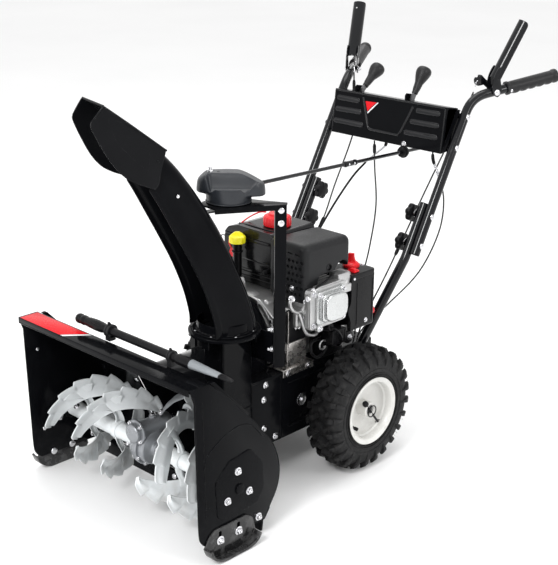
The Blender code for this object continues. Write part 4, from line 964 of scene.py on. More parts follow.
def build_gearcase():
    c = (0, AY, AZ)
    case = lathe([(0.0104, -0.0400), (0.0175, -0.0400), (0.0192, -0.0385), (0.0195, -0.0300), (0.0260, -0.0270), (0.0400, -0.0255), (0.0430, -0.0230), (0.0438, -0.0080), (0.0438, -0.0066),
                  (0.0438, 0.0066), (0.0438, 0.0080), (0.0430, 0.0230), (0.0400, 0.0255), (0.0260, 0.0270), (0.0195, 0.0300), (0.0192, 0.0385), (0.0175, 0.0400), (0.0104, 0.0400)], (1, 0, 0), c, 64)
    flange = lathe([(0.0400, -0.0075), (0.0492, -0.0070), (0.0500, -0.0060), (0.0500, -0.0006), (0.0492, 0.0002), (0.0492, 0.0010), (0.0500, 0.0016), (0.0500, 0.0060), (0.0492, 0.0070), (0.0400, 0.0075)], (1, 0, 0), c, 64)
    upper = lathe([(0, -0.566), (0.0205, -0.566), (0.0232, -0.564), (0.0240, -0.556), (0.0222, -0.550), (0.0222, -0.475), (0.0240, -0.468), (0.0240, -0.456), (0.0222, -0.4525), (0.0120, -0.4525), (0.0120, -0.450), (0, -0.450)], (0, 1, 0), (0, 0, IMP_Z), 48)
    fl = lathe([(0.015, -0.553), (0.0305, -0.553), (0.0315, -0.552), (0.0315, -0.5475), (0.0305, -0.5465), (0.015, -0.5465)], (0, 1, 0), (0, 0, IMP_Z), 48)
    ribs = [prism([(AY - 0.036, AZ + 0.018), (AY + 0.028, AZ + 0.030), (AY + 0.040, IMP_Z), (AY - 0.044, IMP_Z)], "X", x - 0.0022, x + 0.0022) for x in (-0.013, 0.013)]
    boss = [rod((0, AY - 0.044, AZ + 0.020), (0, AY - 0.018, IMP_Z - 0.012), 0.0165, 28)]
    fill = [placed(lathe([(0, 0), (0.0082, 0), (0.0082, 0.006), (0, 0.006)], (0, 0, 1), (0, 0, 0), 24), (0, AY + 0.012, IMP_Z + 0.0215), (0, 0, 1))]
    bl = []
    for k in range(7):
        a = math.radians(205 + 40 * k)
        y, z = AY + 0.0462 * math.cos(a), AZ + 0.0462 * math.sin(a)
        bl.append(hex_bolt((0.0068, y, z), (1, 0, 0), 0.0042, 0.0038, 0.0058))
        bl.append(nut((-0.0070, y, z), (-1, 0, 0), 0.0042, 0.0038, 0.0056, 0.0024))
    for k in range(4):
        a = math.radians(45 + 90 * k)
        bl.append(hex_bolt((0.0268 * math.cos(a), -0.5532, IMP_Z + 0.0268 * math.sin(a)), (0, -1, 0), 0.0042, 0.0042, 0.0056))
    bl.append(hex_bolt((0, AY + 0.012, IMP_Z + 0.0268), (0, 0, 1), 0.0056, 0.0040, 0))
    # brace from the case's rear collar up to the housing's top sheet
    b0, b1 = Vector((0.026, -0.470, IMP_Z + 0.018)), Vector((0.105, -0.6030, 0.4300))
    emit("auger_gearcase", [(join(case, flange, upper, fl, *ribs, *boss, *fill), M_GREY), (join(*bl), M_BOLT)], "chassis", "auger_gearbox", bevel=0.0006, seg=2)
    side, up = Vector((0.177, -0.650, -0.737)) * 0.0100, Vector((0, -0.75, 0.66)) * 0.0024
    line = (Vector((0.0060, -0.4760, 0.2225)), Vector((0.0600, -0.5040, 0.2700)), Vector((0.1250, -0.5330, 0.3200)), Vector((0.1780, -0.5500, 0.3530)), Vector((0.1880, -0.5540, 0.3640)), Vector((0.1920, -0.5590, 0.3890)))
    strap = loft([[p + q for q in (-side, side, side + up, -side + up)] for p in line])
    ends = [hex_bolt(Vector((0.0180, -0.4850, 0.2350)), (0, -1, 0.9), 0.0055, 0.004, 0.008), hex_bolt(Vector((0.1895, -0.5590, 0.3760)), (0, -1, 0.4), 0.0055, 0.004, 0.008)]
    emit("gearcase_brace", [(strap, M_GREY), (join(*ends), M_BOLT)], "chassis", (), bevel=0.0005)


def build_impeller():
    hub = lathe([(0.0102, -0.385), (0.0182, -0.385), (0.0190, -0.384), (0.0190, -0.304), (0.0182, -0.303), (0.0102, -0.303)], (0, 1, 0), (0, 0, IMP_Z), 40)
    bms = [hub]
    for k in range(4):
        a = math.radians(45 + 90 * k)
        u = Vector((math.cos(a), 0, math.sin(a)))
        n = Vector((-math.sin(a), 0, math.cos(a)))
        c = Vector((0, 0, IMP_Z))
        line = smooth2([(0.0150, 0.0), (0.070, 0.0), (0.118, 0.0010), (0.129, 0.0050), (0.1350, 0.0115)], 6)
        outer = offset_line(line, 0.0016)
        inner = offset_line(line, -0.0016)
        ring = [c + u * r + n * t for r, t in outer + inner[::-1]]
        bms.append(prism([(p.x, p.z) for p in ring], "Y", -0.374, -0.306))
        g = [c + u * r + n * t for r, t in ((0.018, 0.0016), (0.018, 0.030), (0.052, 0.0016))]
        bms.append(prism([(p.x, p.z) for p in g], "Y", -0.309, -0.306))
    emit("impeller_rotor_blades", [(join(*bms), M_SILVER)], "impeller_rotor", "impeller", bevel=0.0006)


# =====================================================================================
# frame and wheels
# =====================================================================================
def build_frame():
    out = prism(round_poly([(-FRAME_HALF, FRAME_LO), (FRAME_HALF, FRAME_LO), (FRAME_HALF, FRAME_HI), (-FRAME_HALF, FRAME_HI)], 0.007, 4), "Y", FRAME_F, FRAME_B)
    inn = prism(round_poly([(-FRAME_HALF + 0.003, FRAME_LO + 0.003), (FRAME_HALF - 0.003, FRAME_LO + 0.003), (FRAME_HALF - 0.003, FRAME_HI - 0.003), (-FRAME_HALF + 0.003, FRAME_HI - 0.003)], 0.005, 4), "Y", FRAME_F + 0.003, FRAME_B - 0.003)
    box = boolean(out, inn)
    box = boolean(box, block(-0.0950, 0.0950, FRAME_F + 0.006, -0.2080, FRAME_HI - 0.02, FRAME_HI + 0.02))
    box = boolean(box, rod((0, -0.33, IMP_Z), (0, -0.28, IMP_Z), 0.0125, 28))
    box = boolean(box, rod((-0.2, 0, AXLE_Z), (0.2, 0, AXLE_Z), TUBE_R + 0.0004, 36))
    extra, bl, dark = [], [], []
    for s in (-1, 1):
        x = s * FRAME_HALF
        # overlap seam of the two half frames, pressed bead, bearing flange, lower cover's fold
        extra.append(block(x - 0.0008 if s > 0 else x - 0.0016, x + 0.0016 if s > 0 else x + 0.0008, -0.196, -0.188, FRAME_LO + 0.004, FRAME_HI - 0.004, 0.0006))
        extra.append(pipe([(x, -0.170, 0.250), (x, -0.060, 0.250), (x, 0.060, 0.250), (x, 0.135, 0.250)], 0.0024, 10))
        extra.append(pipe([(x, -0.165, 0.128), (x, -0.060, 0.128), (x, 0.060, 0.128), (x, 0.135, 0.128)], 0.0024, 10))
        extra.append(lathe([(TUBE_R + 0.0006, s * 0.1398), (0.0350, s * 0.1398), (0.0340, s * 0.1425), (0.0220, s * 0.1440), (0.0190, s * 0.1500), (TUBE_R + 0.0006, s * 0.1505)], (1, 0, 0), (0, 0, AXLE_Z), 48))
        for a in (45, 135, 225, 315):
            bl.append(hex_bolt((x + s * 0.0024, 0.0275 * math.cos(math.radians(a)), AXLE_Z + 0.0275 * math.sin(math.radians(a))), (s, 0, 0), 0.0048, 0.0036, 0.0066))
        for y, z in ((-0.2490, 0.2700), (-0.2552, 0.2321), (-0.2545, 0.1529), (-0.2128, 0.1182), (0.1280, 0.1250), (0.1280, 0.2560)):
            bl.append(hex_bolt((x + s * 0.0002, y, z), (s, 0, 0), 0.0058, 0.0046, 0.0090))
        bl.append(lathe([(0, 0), (0.0165, 0), (0.0165, 0.0016), (0.0120, 0.0026), (0, 0.0026)], (s, 0, 0), (x, -0.1165, 0.1895), 36))
        bl.append(hex_bolt((x + s * 0.0024, -0.1165, 0.1895), (s, 0, 0), 0.0070, 0.0055, 0.0))
    # rear cover with its screws, bottom cover plate
    extra.append(bevelled(prism(round_poly([(-0.118, 0.118), (0.118, 0.118), (0.118, 0.268), (-0.118, 0.268)], 0.010, 5), "Y", FRAME_B - 0.001, FRAME_B + 0.0018), 0.0007))
    for x, z in ((-0.106, 0.130), (0.106, 0.130), (-0.106, 0.256), (0.106, 0.256)):
        bl.append(hex_bolt((x, FRAME_B + 0.0018, z), (0, 1, 0), 0.0048, 0.0036, 0.0075))
    extra.append(bevelled(prism(round_poly([(-0.120, -0.250), (0.120, -0.250), (0.120, 0.140), (-0.120, 0.140)], 0.012, 5), "Z", FRAME_LO - 0.0016, FRAME_LO + 0.001), 0.0006))
    for x, y in ((-0.108, -0.238), (0.108, -0.238), (-0.108, 0.128), (0.108, 0.128), (-0.108, -0.055), (0.108, -0.055)):
        bl.append(hex_bolt((x, y, FRAME_LO - 0.0016), (0, 0, -1), 0.0048, 0.0036, 0.0075))
    emit("drive_frame", [(join(box, *extra), M_BLACK), (join(*bl), M_BOLT)], "chassis", "main_frame", bevel=0.0006, angle=50)


XC = RIM_OUT - 0.050
CARCASS = [(0.0812, -0.0412), (0.0880, -0.0432), (0.0905, -0.0462), (0.0930, -0.0470), (0.0960, -0.0468), (0.1050, -0.0485), (0.1180, -0.0492), (0.1290, -0.0484),
           (0.1380, -0.0460), (0.1440, -0.0420), (0.1480, -0.0355), (0.1501, -0.0270), (0.1511, -0.0140), (0.1515, 0.0)]


def crown(x):
    x = abs(x)
    pts = [(-h, r) for r, h in CARCASS if -h <= 0.0479][::-1]
    pts = [p for p in pts if p[1] > 0.1370]
    for (x0, r0), (x1, r1) in zip(pts, pts[1:]):
        if x0 <= x <= x1:
            return r0 + (r1 - r0) * (x - x0) / (x1 - x0)
    return pts[-1][1]


def on_tyre(x, s, h):
    """Point at lateral x, along-tread distance s from the top, height h over the carcass."""
    a = s / 0.155
    r = crown(x) + h
    return Vector((XC + x, -r * math.sin(a), AXLE_Z + r * math.cos(a)))


def lug(line, widths, h, s0, draft=0.0016, sub=5):
    """A tread bar along a line of (x, s) pairs."""
    pts = []
    for (a, b), (wa, wb) in zip(zip(line, line[1:]), zip(widths, widths[1:])):
        for k in range(sub):
            f = k / sub
            pts.append((a[0] + (b[0] - a[0]) * f, a[1] + (b[1] - a[1]) * f, wa + (wb - wa) * f))
    pts.append((*line[-1], widths[-1]))
    bm = bmesh.new()
    rows = []
    for i, (x, s, w) in enumerate(pts):
        p, q = pts[max(i - 1, 0)], pts[min(i + 1, len(pts) - 1)]
        t = Vector((q[0] - p[0], q[1] - p[1])).normalized()
        n = Vector((-t.y, t.x))
        end = draft if i in (0, len(pts) - 1) else 0.0
        sg = 1 if i == 0 else -1
        row = []
        for off, hh, dr in ((-w, -0.002, 0), (-(w - draft), h, end), (w - draft, h, end), (w, -0.002, 0)):
            row.append(bm.verts.new(on_tyre(x + n.x * off + t.x * dr * sg, s0 + s + n.y * off + t.y * dr * sg, hh)))
        rows.append(row)
    for a, b in zip(rows, rows[1:]):
        for k in range(4):
            bm.faces.new((a[k], a[(k + 1) % 4], b[(k + 1) % 4], b[k]))
    bm.faces.new(rows[0])
    bm.faces.new(rows[-1])
    return recalc(bm)


def build_tyre(sign):
    prof = CARCASS + [(r, -h) for r, h in CARCASS[-2::-1]]
    half = [(r, h + XC) for r, h in prof]
    body = lathe(half, (1, 0, 0), (0, 0, AXLE_Z), 112)
    bms = []
    N = 24
    pitch = 2 * math.pi * 0.155 / N
    for k in range(N):
        s0 = k * pitch
        hw = 0.0064
        for m in (1, -1):
            bms.append(lug([(m * 0.0014, -0.0045), (m * 0.0155, 0.0090), (m * 0.0275, 0.0098)], (hw, hw, hw * 1.05), 0.0128, s0 + (0 if m > 0 else pitch * 0.5), 0.0016))
            for q in (-0.0036, 0.0036):
                bms.append(lug([(m * 0.0040, -0.0020 + q), (m * 0.0155, 0.0090 + q), (m * 0.0255, 0.0098 + q)], (0.0010, 0.0010, 0.0010), 0.0135, s0 + (0 if m > 0 else pitch * 0.5), 0.0003))
            # shoulder block and its fin down the sidewall
            so = s0 + pitch * (0.55 if m > 0 else 0.05)
            bms.append(lug([(m * 0.0310, 0.0), (m * 0.0385, 0.0006), (m * 0.0458, 0.0)], (0.0072, 0.0078, 0.0074), 0.0132, so, 0.0016))
            for q in (-0.0042, 0.0042):
                bms.append(lug([(m * 0.0335, q), (m * 0.0395, q)], (0.0010, 0.0010), 0.0139, so, 0.0003))
            a = so / 0.155
            fin = bmesh.new()
            rows = []
            for r, xo, w in ((0.1520, 0.0465, 0.0080), (0.1460, 0.0500, 0.0076), (0.1390, 0.0515, 0.0066), (0.1310, 0.0516, 0.0050), (0.1240, 0.0508, 0.0036), (0.1200, 0.0496, 0.0024)):
                rows.append([])
                for da, xx in ((-w, xo - 0.0055), (-w * 0.70, xo), (w * 0.70, xo), (w, xo - 0.0055)):
                    an = a + da / 0.14
                    rows[-1].append(fin.verts.new((XC + m * xx, -r * math.sin(an), AXLE_Z + r * math.cos(an))))
            for p, q in zip(rows, rows[1:]):
                for j in range(4):
                    fin.faces.new((p[j], p[(j + 1) % 4], q[(j + 1) % 4], q[j]))
            fin.faces.new(rows[0])
            fin.faces.new(rows[-1])
            bms.append(recalc(fin))
    for m in (1, -1):
        for r, w in ((0.1135, 0.0007), (0.1010, 0.0009), (0.0950, 0.0006)):
            ring = lathe([(r - w * 1.6, XC + m * 0.0478), (r - w, XC + m * 0.0500), (r + w, XC + m * 0.0500), (r + w * 1.6, XC + m * 0.0478)], (1, 0, 0), (0, 0, AXLE_Z), 96)
            bms.append(ring)
    # fine mould whiskers
    rnd = random.Random(11 + sign)
    for k in range(130):
        s = rnd.random() * 2 * math.pi * 0.155
        x = rnd.choice((-1, 1)) * rnd.uniform(0.004, 0.044)
        if on_tyre(x, s, 0.0130).z < 0.020:
            continue
        p = on_tyre(x, s, 0.0010)
        q = on_tyre(x + rnd.uniform(-0.001, 0.001), s + rnd.uniform(-0.001, 0.001), 0.0128 + rnd.uniform(0.0012, 0.0034))
        bms.append(pipe([p, q], 0.0003, 4))
    allb = join(body, *bms)
    if sign < 0:
        allb = mirror_x(allb)
    side = "left" if sign > 0 else "right"
    emit("tyre_" + side, [(allb, M_TYRE)], "wheels", "tire_" + side, sharp=30)


def build_rim(sign):
    prof_out = [(0.0895, 0.2852), (0.0905, 0.2840), (0.0900, 0.2822), (0.0850, 0.2806), (0.0800, 0.2790), (0.0782, 0.2760), (0.0778, 0.2690), (0.0770, 0.2600), (0.0705, 0.2500),
                (0.0700, 0.2200), (0.0770, 0.2060), (0.0800, 0.1908), (0.0895, 0.1878), (0.0900, 0.1862), (0.0895, 0.1850), (0.0772, 0.1882), (0.0745, 0.2050), (0.0672, 0.2190), (0.0668, 0.2390),
                (0.0560, 0.2420), (0.0350, 0.2395), (0.0195, 0.2385), (0.0192, 0.1995), (0.0186, 0.1990), (0.0131, 0.1990), (0.0131, 0.2745), (0.0186, 0.2745), (0.0195, 0.2737), (0.0198, 0.2480),
                (0.0215, 0.2440), (0.0270, 0.2425), (0.0420, 0.2440), (0.0560, 0.2462), (0.0640, 0.2500), (0.0684, 0.2560), (0.0700, 0.2620), (0.0735, 0.2650), (0.0748, 0.2700), (0.0756, 0.2770), (0.0780, 0.2815), (0.0840, 0.2845)]
    rim = lathe(prof_out, (1, 0, 0), (0, 0, AXLE_Z), 96)
    weld = [weld_bead([polar_w(0.2432, 0.0205, 2 * math.pi * k / 60) for k in range(61)], 0.0013)]
    # valve stem in the rim's wall, the hub's click pin and its ring
    base, tip = Vector((0.2640, -0.0735, AXLE_Z - 0.0215)), Vector((0.2905, -0.0600, AXLE_Z - 0.0330))
    stem = [placed(lathe([(0, 0), (0.0062, 0), (0.0058, 0.004), (0.0040, 0.0070), (0.0036, 0.0180), (0.0046, 0.0185), (0.0047, 0.0265), (0.0034, 0.0280), (0, 0.0280)], (0, 0, 1), (0, 0, 0), 24), base, tip - base)]
    d = Vector((0, 0.62, -0.785)).normalized()
    c = Vector((0.2718, 0, AXLE_Z))
    pin = [rod(c - d * 0.0240, c + d * 0.0600, 0.0030, 20, ch=0.0008),
           placed(lathe([(0, 0), (0.0052, 0), (0.0074, 0.0020), (0.0082, 0.0065), (0.0070, 0.0110), (0.0036, 0.0138), (0, 0.0142)], (0, 0, 1), (0, 0, 0), 28), c - d * 0.0200, -d)]
    loop = []
    for k in range(45):
        t = 2 * math.pi * k / 44
        loop.append(Vector((0.2772 + 0.0006 * math.sin(t), 0.0050 + 0.0152 * math.cos(t), AXLE_Z - 0.0050 + 0.0152 * math.sin(t))))
    ring = [pipe(loop, 0.0015, 10)]
    tail = c + d * 0.0560
    ring.append(pipe([tail + Vector((0.004 * math.cos(t * 0.3), 0.0052 * math.cos(t * 0.3 + 1.2), 0.0052 * math.sin(t * 0.3 + 1.2))) for t in range(22)], 0.0009, 8))
    parts = [(join(rim, *weld), M_RIM), (join(*stem), M_PLASTIC), (join(*pin, *ring), M_PLASTIC)]
    if sign < 0:
        parts = [(mirror_x(b), m) for b, m in parts]
    side = "left" if sign > 0 else "right"
    emit("rim_dish_" + side, parts, "wheels", "rim_" + side, sharp=34)


def polar_w(x, r, a):
    return Vector((x, r * math.cos(a), AXLE_Z + r * math.sin(a)))


def build_axle():
    b = rod((-0.2690, 0, AXLE_Z), (0.2690, 0, AXLE_Z), TUBE_R, 40, ch=0.0014)
    cl = [lathe([(TUBE_R - 0.0002, s * 0.1880), (0.0195, s * 0.1880), (0.0195, s * 0.1940), (TUBE_R - 0.0002, s * 0.1940)], (1, 0, 0), (0, 0, AXLE_Z), 36) for s in (-1, 1)]
    emit("axle_bar", [(join(b, *cl), M_DARKSTEEL)], "wheels", "wheel_axle", sharp=34)


build_housing()
build_side(1)
build_side(-1)
build_scraper()
build_skid(1)
build_skid(-1)
build_drum()
build_flights()
build_auger_shaft()
build_gearcase()
build_impeller()
build_frame()
build_tyre(1)
build_tyre(-1)
build_rim(1)
build_rim(-1)
build_axle()
# =====================================================================================
# discharge chute, deflector, bracket, gear head and crank
# =====================================================================================
CF = Vector((-math.sin(CHUTE_TURN), -math.cos(CHUTE_TURN), 0))
CL = Vector((math.cos(CHUTE_TURN), -math.sin(CHUTE_TURN), 0))


def chute_point(a, lat, z):
    return Vector((CHUTE.x, CHUTE.y, z)) + CF * a + CL * lat


STATIONS = [((-0.0620, 0.4500), (0.0590, 0.4500), 0.0640), ((-0.0600, 0.4700), (0.0600, 0.4760), 0.0640), ((-0.0470, 0.5150), (0.0705, 0.5230), 0.0640),
            ((-0.0300, 0.5600), (0.0848, 0.5660), 0.0635), ((0.0020, 0.6340), (0.1080, 0.6220), 0.0630), ((0.0380, 0.7080), (0.1385, 0.6830), 0.0620),
            ((0.0840, 0.7850), (0.1740, 0.7500), 0.0605), ((0.1340, 0.8560), (0.1980, 0.7950), 0.0590), ((0.1760, 0.9030), (0.2160, 0.8260), 0.0580)]
GZ = 0.7570


def station_curve():
    rows = [(b[0], b[1], f[0], f[1], h) for b, f, h in STATIONS]
    n = len(rows)
    out = []
    for i in range(n - 1):
        p0, p1, p2, p3 = rows[max(i - 1, 0)], rows[i], rows[i + 1], rows[min(i + 2, n - 1)]
        for k in range(5):
            t = k / 5
            out.append(tuple(0.5 * (2 * b + (c - a) * t + (2 * a - 5 * b + 4 * c - d) * t * t + (3 * b - a - 3 * c + d) * t ** 3) for a, b, c, d in zip(p0, p1, p2, p3)))
    out.append(rows[-1])
    return out


def u_line(row, shrink=0.0, corner=0.0260, n=7):
    b, f, half = Vector((row[0], row[1])), Vector((row[2], row[3])), row[4]
    depth, d = (f - b).length, (f - b).normalized()
    w, c = half - shrink, corner - shrink * 0.5
    pts = []

    def put(t, lat):
        q = b + d * t
        pts.append(chute_point(q.x, lat, q.y))

    sides = (1.0, 0.88, 0.86, 0.84, 0.5)
    off = (0.0, 0.0, 0.0009, 0.0018, 0.0018)
    for t, o in zip(sides, off):
        put(depth * t, w - o)
    for k in range(n + 1):
        a = math.pi / 2 * k / n
        put(shrink + c - c * math.sin(a), w - 0.0018 - c + c * math.cos(a))
    for k in range(n + 1):
        a = math.pi / 2 * (1 - k / n)
        put(shrink + c - c * math.sin(a), -(w - 0.0018 - c + c * math.cos(a)))
    for t, o in zip(sides[::-1], off[::-1]):
        put(depth * t, -(w - o))
    return pts


def build_chute():
    rows = station_curve()
    body = loft([u_line(r) + u_line(r, 0.0022)[::-1] for r in rows])
    hems = [pipe([u_line(r, 0.0011)[k] for r in rows], 0.0021, 10) for k in (0, -1)]
    hems.append(pipe([p for p in u_line(rows[-1], 0.0011)], 0.0020, 10))
    collar = lathe([(0.0560, RING_Z + 0.0004), (0.0775, RING_Z + 0.0004), (0.0782, RING_Z + 0.0012), (0.0782, RING_Z + 0.0036), (0.0775, RING_Z + 0.0044), (0.0700, RING_Z + 0.0044),
                    (0.0680, RING_Z + 0.0060), (0.0672, 0.4700), (0.0668, 0.4722), (0.0648, 0.4722), (0.0640, 0.4700), (0.0640, RING_Z + 0.0052), (0.0560, RING_Z + 0.0044)], (0, 0, 1), (CHUTE.x, CHUTE.y, 0), 84)
    arm = loft([[chute_point(a, l, z) for a, l, z in ((x, -0.010, z0), (x, 0.010, z0), (x, 0.010, z0 + 0.0035), (x, -0.010, z0 + 0.0035))] for x, z0 in ((-0.010, 0.7385), (0.0570, 0.7385), (0.0610, 0.7400))])
    pad = loft([[chute_point(a, l, z) for a, l, z in ((a0, -0.016, z), (a0, 0.016, z), (a0 + 0.002, 0.016, z), (a0 + 0.002, -0.016, z))] for a0, z in ((0.0440, 0.7180), (0.0575, 0.7450))])
    # deflector's hinge ears with their bolts, pressed joggles on the side walls
    bl = []
    for s in (-1, 1):
        bl.append(dome_bolt(chute_point(0.1500, 0.0592 * s, 0.8050) + CL * s * 0.0008, CL * s, 0.0040, 0.0012))
    for k in range(8):
        a = math.radians(22 + 45 * k)
        bl.append(dome_bolt((CHUTE.x + 0.0737 * math.cos(a), CHUTE.y + 0.0737 * math.sin(a), RING_Z + 0.0042), (0, 0, 1), 0.0030, 0.0014))
    bead = [weld_bead(dense([(CHUTE.x + 0.0684 * math.cos(math.radians(a)), CHUTE.y + 0.0684 * math.sin(math.radians(a)), RING_Z + 0.0052) for a in range(0, 361, 6)], 0.004), 0.0012)]
    emit("chute_channel", [(join(body, *hems, collar, arm, pad, *bead), M_BLACK), (join(*bl), M_BOLT)], "chute_body", "chute", sharp=42)


D_SIDE = [(0.3170, 1.0200), (0.3420, 0.9880), (0.3420, 0.9720), (0.3000, 0.8920), (0.2750, 0.8640), (0.2500, 0.8480), (0.2080, 0.8300), (0.1960, 0.8660), (0.1800, 0.9140)]


def d_half(a):
    t = (a - 0.268) / (0.342 - 0.268)
    return 0.0630 + (0.0460 - 0.0630) * max(0.0, min(1.0, t))


def build_deflector():
    lower = smooth2([(0.3420, 0.9880), (0.3425, 0.9740), (0.3230, 0.9320), (0.3000, 0.8920), (0.2750, 0.8640), (0.2500, 0.8480), (0.2270, 0.8380), (0.2080, 0.8300)], 5)
    bow = smooth2([(0.2080, 0.8300), (0.1985, 0.8420), (0.1945, 0.8640), (0.1870, 0.8900), (0.1800, 0.9140)], 5)
    top = [(0.1800 + (0.3170 - 0.1800) * k / 10, 0.9140 + (1.0200 - 0.9140) * k / 10) for k in range(11)]
    nose = [(0.3170 + (0.3420 - 0.3170) * k / 5, 1.0200 + (0.9880 - 1.0200) * k / 5) for k in range(1, 5)]
    ring = lower + bow[1:] + top[1:] + nose
    parts = []
    for s in (-1, 1):
        a0 = [chute_point(a, s * (d_half(a) + 0.0004), z) for a, z in ring]
        a1 = [chute_point(a, s * (d_half(a) + 0.0028), z) for a, z in ring]
        parts.append(loft([a0, a1]))
        parts.append(pipe([chute_point(a, s * (d_half(a) + 0.0018), z) for a, z in ring + ring[:1]], 0.0013, 8, caps=False))
        parts.append(pipe([chute_point(a, s * (d_half(a) + 0.0022), z - 0.0012) for a, z in top + nose], 0.0022, 10))
    rows = []
    for a, z in top:
        h = d_half(a) + 0.0028
        rows.append([chute_point(a, s * h, zz) for s, zz in ((-1, z - 0.0030), (1, z - 0.0030), (1, z + 0.0003), (-1, z + 0.0003))])
    parts.append(loft(rows))
    parts.append(pipe([chute_point(a, l, z) for a, z, l in ((0.1795, 0.9125, -0.065), (0.1795, 0.9125, 0.065))], 0.0026, 12))
    parts.append(pipe([chute_point(0.3165, l, 1.0195) for l in (-0.0530, 0.0530)], 0.0022, 10))
    bl = []
    for s in (-1, 1):
        bl.append(dome_bolt(chute_point(0.1990, s * 0.0658, 0.8900), CL * s, 0.0040, 0.0012))
    emit("deflector_hood", [(join(*parts), M_BLACKD), (join(*bl), M_BLACKD)], "deflector", "chute_deflector", sharp=40)


def build_bracket():
    outline = [(0.0720, -0.3950), (0.0980, -0.4140), (0.1390, -0.4170), (0.2256, -0.2715), (0.2144, -0.2560), (0.1600, -0.2850), (0.0900, -0.3150), (0.0660, -0.3500)]
    plate = prism(round_poly(outline, 0.004, 4), "Z", GZ - 0.0040, GZ - 0.0004)
    n1 = Vector((0.2256 - 0.1390, -0.2715 + 0.4170, 0)).normalized()
    o1 = Vector((n1.y, -n1.x, 0))
    b0, b1 = Vector((0.1390, -0.4170, 0)), Vector((0.2235, -0.2750, 0))
    lip = prism([tuple((b0 - o1 * 0.0026).xy), tuple(b0.xy), tuple(b1.xy), tuple((b1 - o1 * 0.0026).xy)], "Z", GZ - 0.0135, GZ - 0.0008)
    post_c = Vector((0.212, -0.278, 0))
    face = [post_c + PU * a + PN * b for a, b in ((-0.0135, 0.0060), (0.0135, 0.0060), (0.0135, -0.0060), (0.0110, -0.0060), (0.0110, 0.0034), (-0.0110, 0.0034), (-0.0110, -0.0060), (-0.0135, -0.0060))]
    post = prism([(p.x, p.y) for p in face], "Z", 0.351, GZ - 0.0036)
    bl = []
    for z in (0.7425, 0.7115):
        bl.append(dome_bolt(post_c + PN * 0.0060 + Vector((0, 0, z)), PN, 0.0082, 0.0036))
        bl.append(nut(post_c + PN * 0.0032 + Vector((0, 0, z)), -PN, 0.0062, 0.0045, 0.0090))
    for z in (0.4490, 0.3990):
        bl.append(hex_bolt(post_c - PU * 0.0172 + PN * 0.002 + Vector((0, 0, z)), -PU, 0.0060, 0.0045, 0.0090))
        bl.append(rod(post_c - PU * 0.0160 + PN * 0.002 + Vector((0, 0, z)), post_c - PU * 0.0290 + PN * 0.002 + Vector((0, 0, z)), 0.0034, 14))
    emit("chute_stay", [(join(plate, lip, post), M_BLACK), (join(*bl), M_BOLT)], "chassis", "chute_bracket", bevel=0.0007, angle=50)


def step(x, a, b):
    t = max(0.0, min(1.0, (x - a) / (b - a)))
    return t * t * (3 - 2 * t)


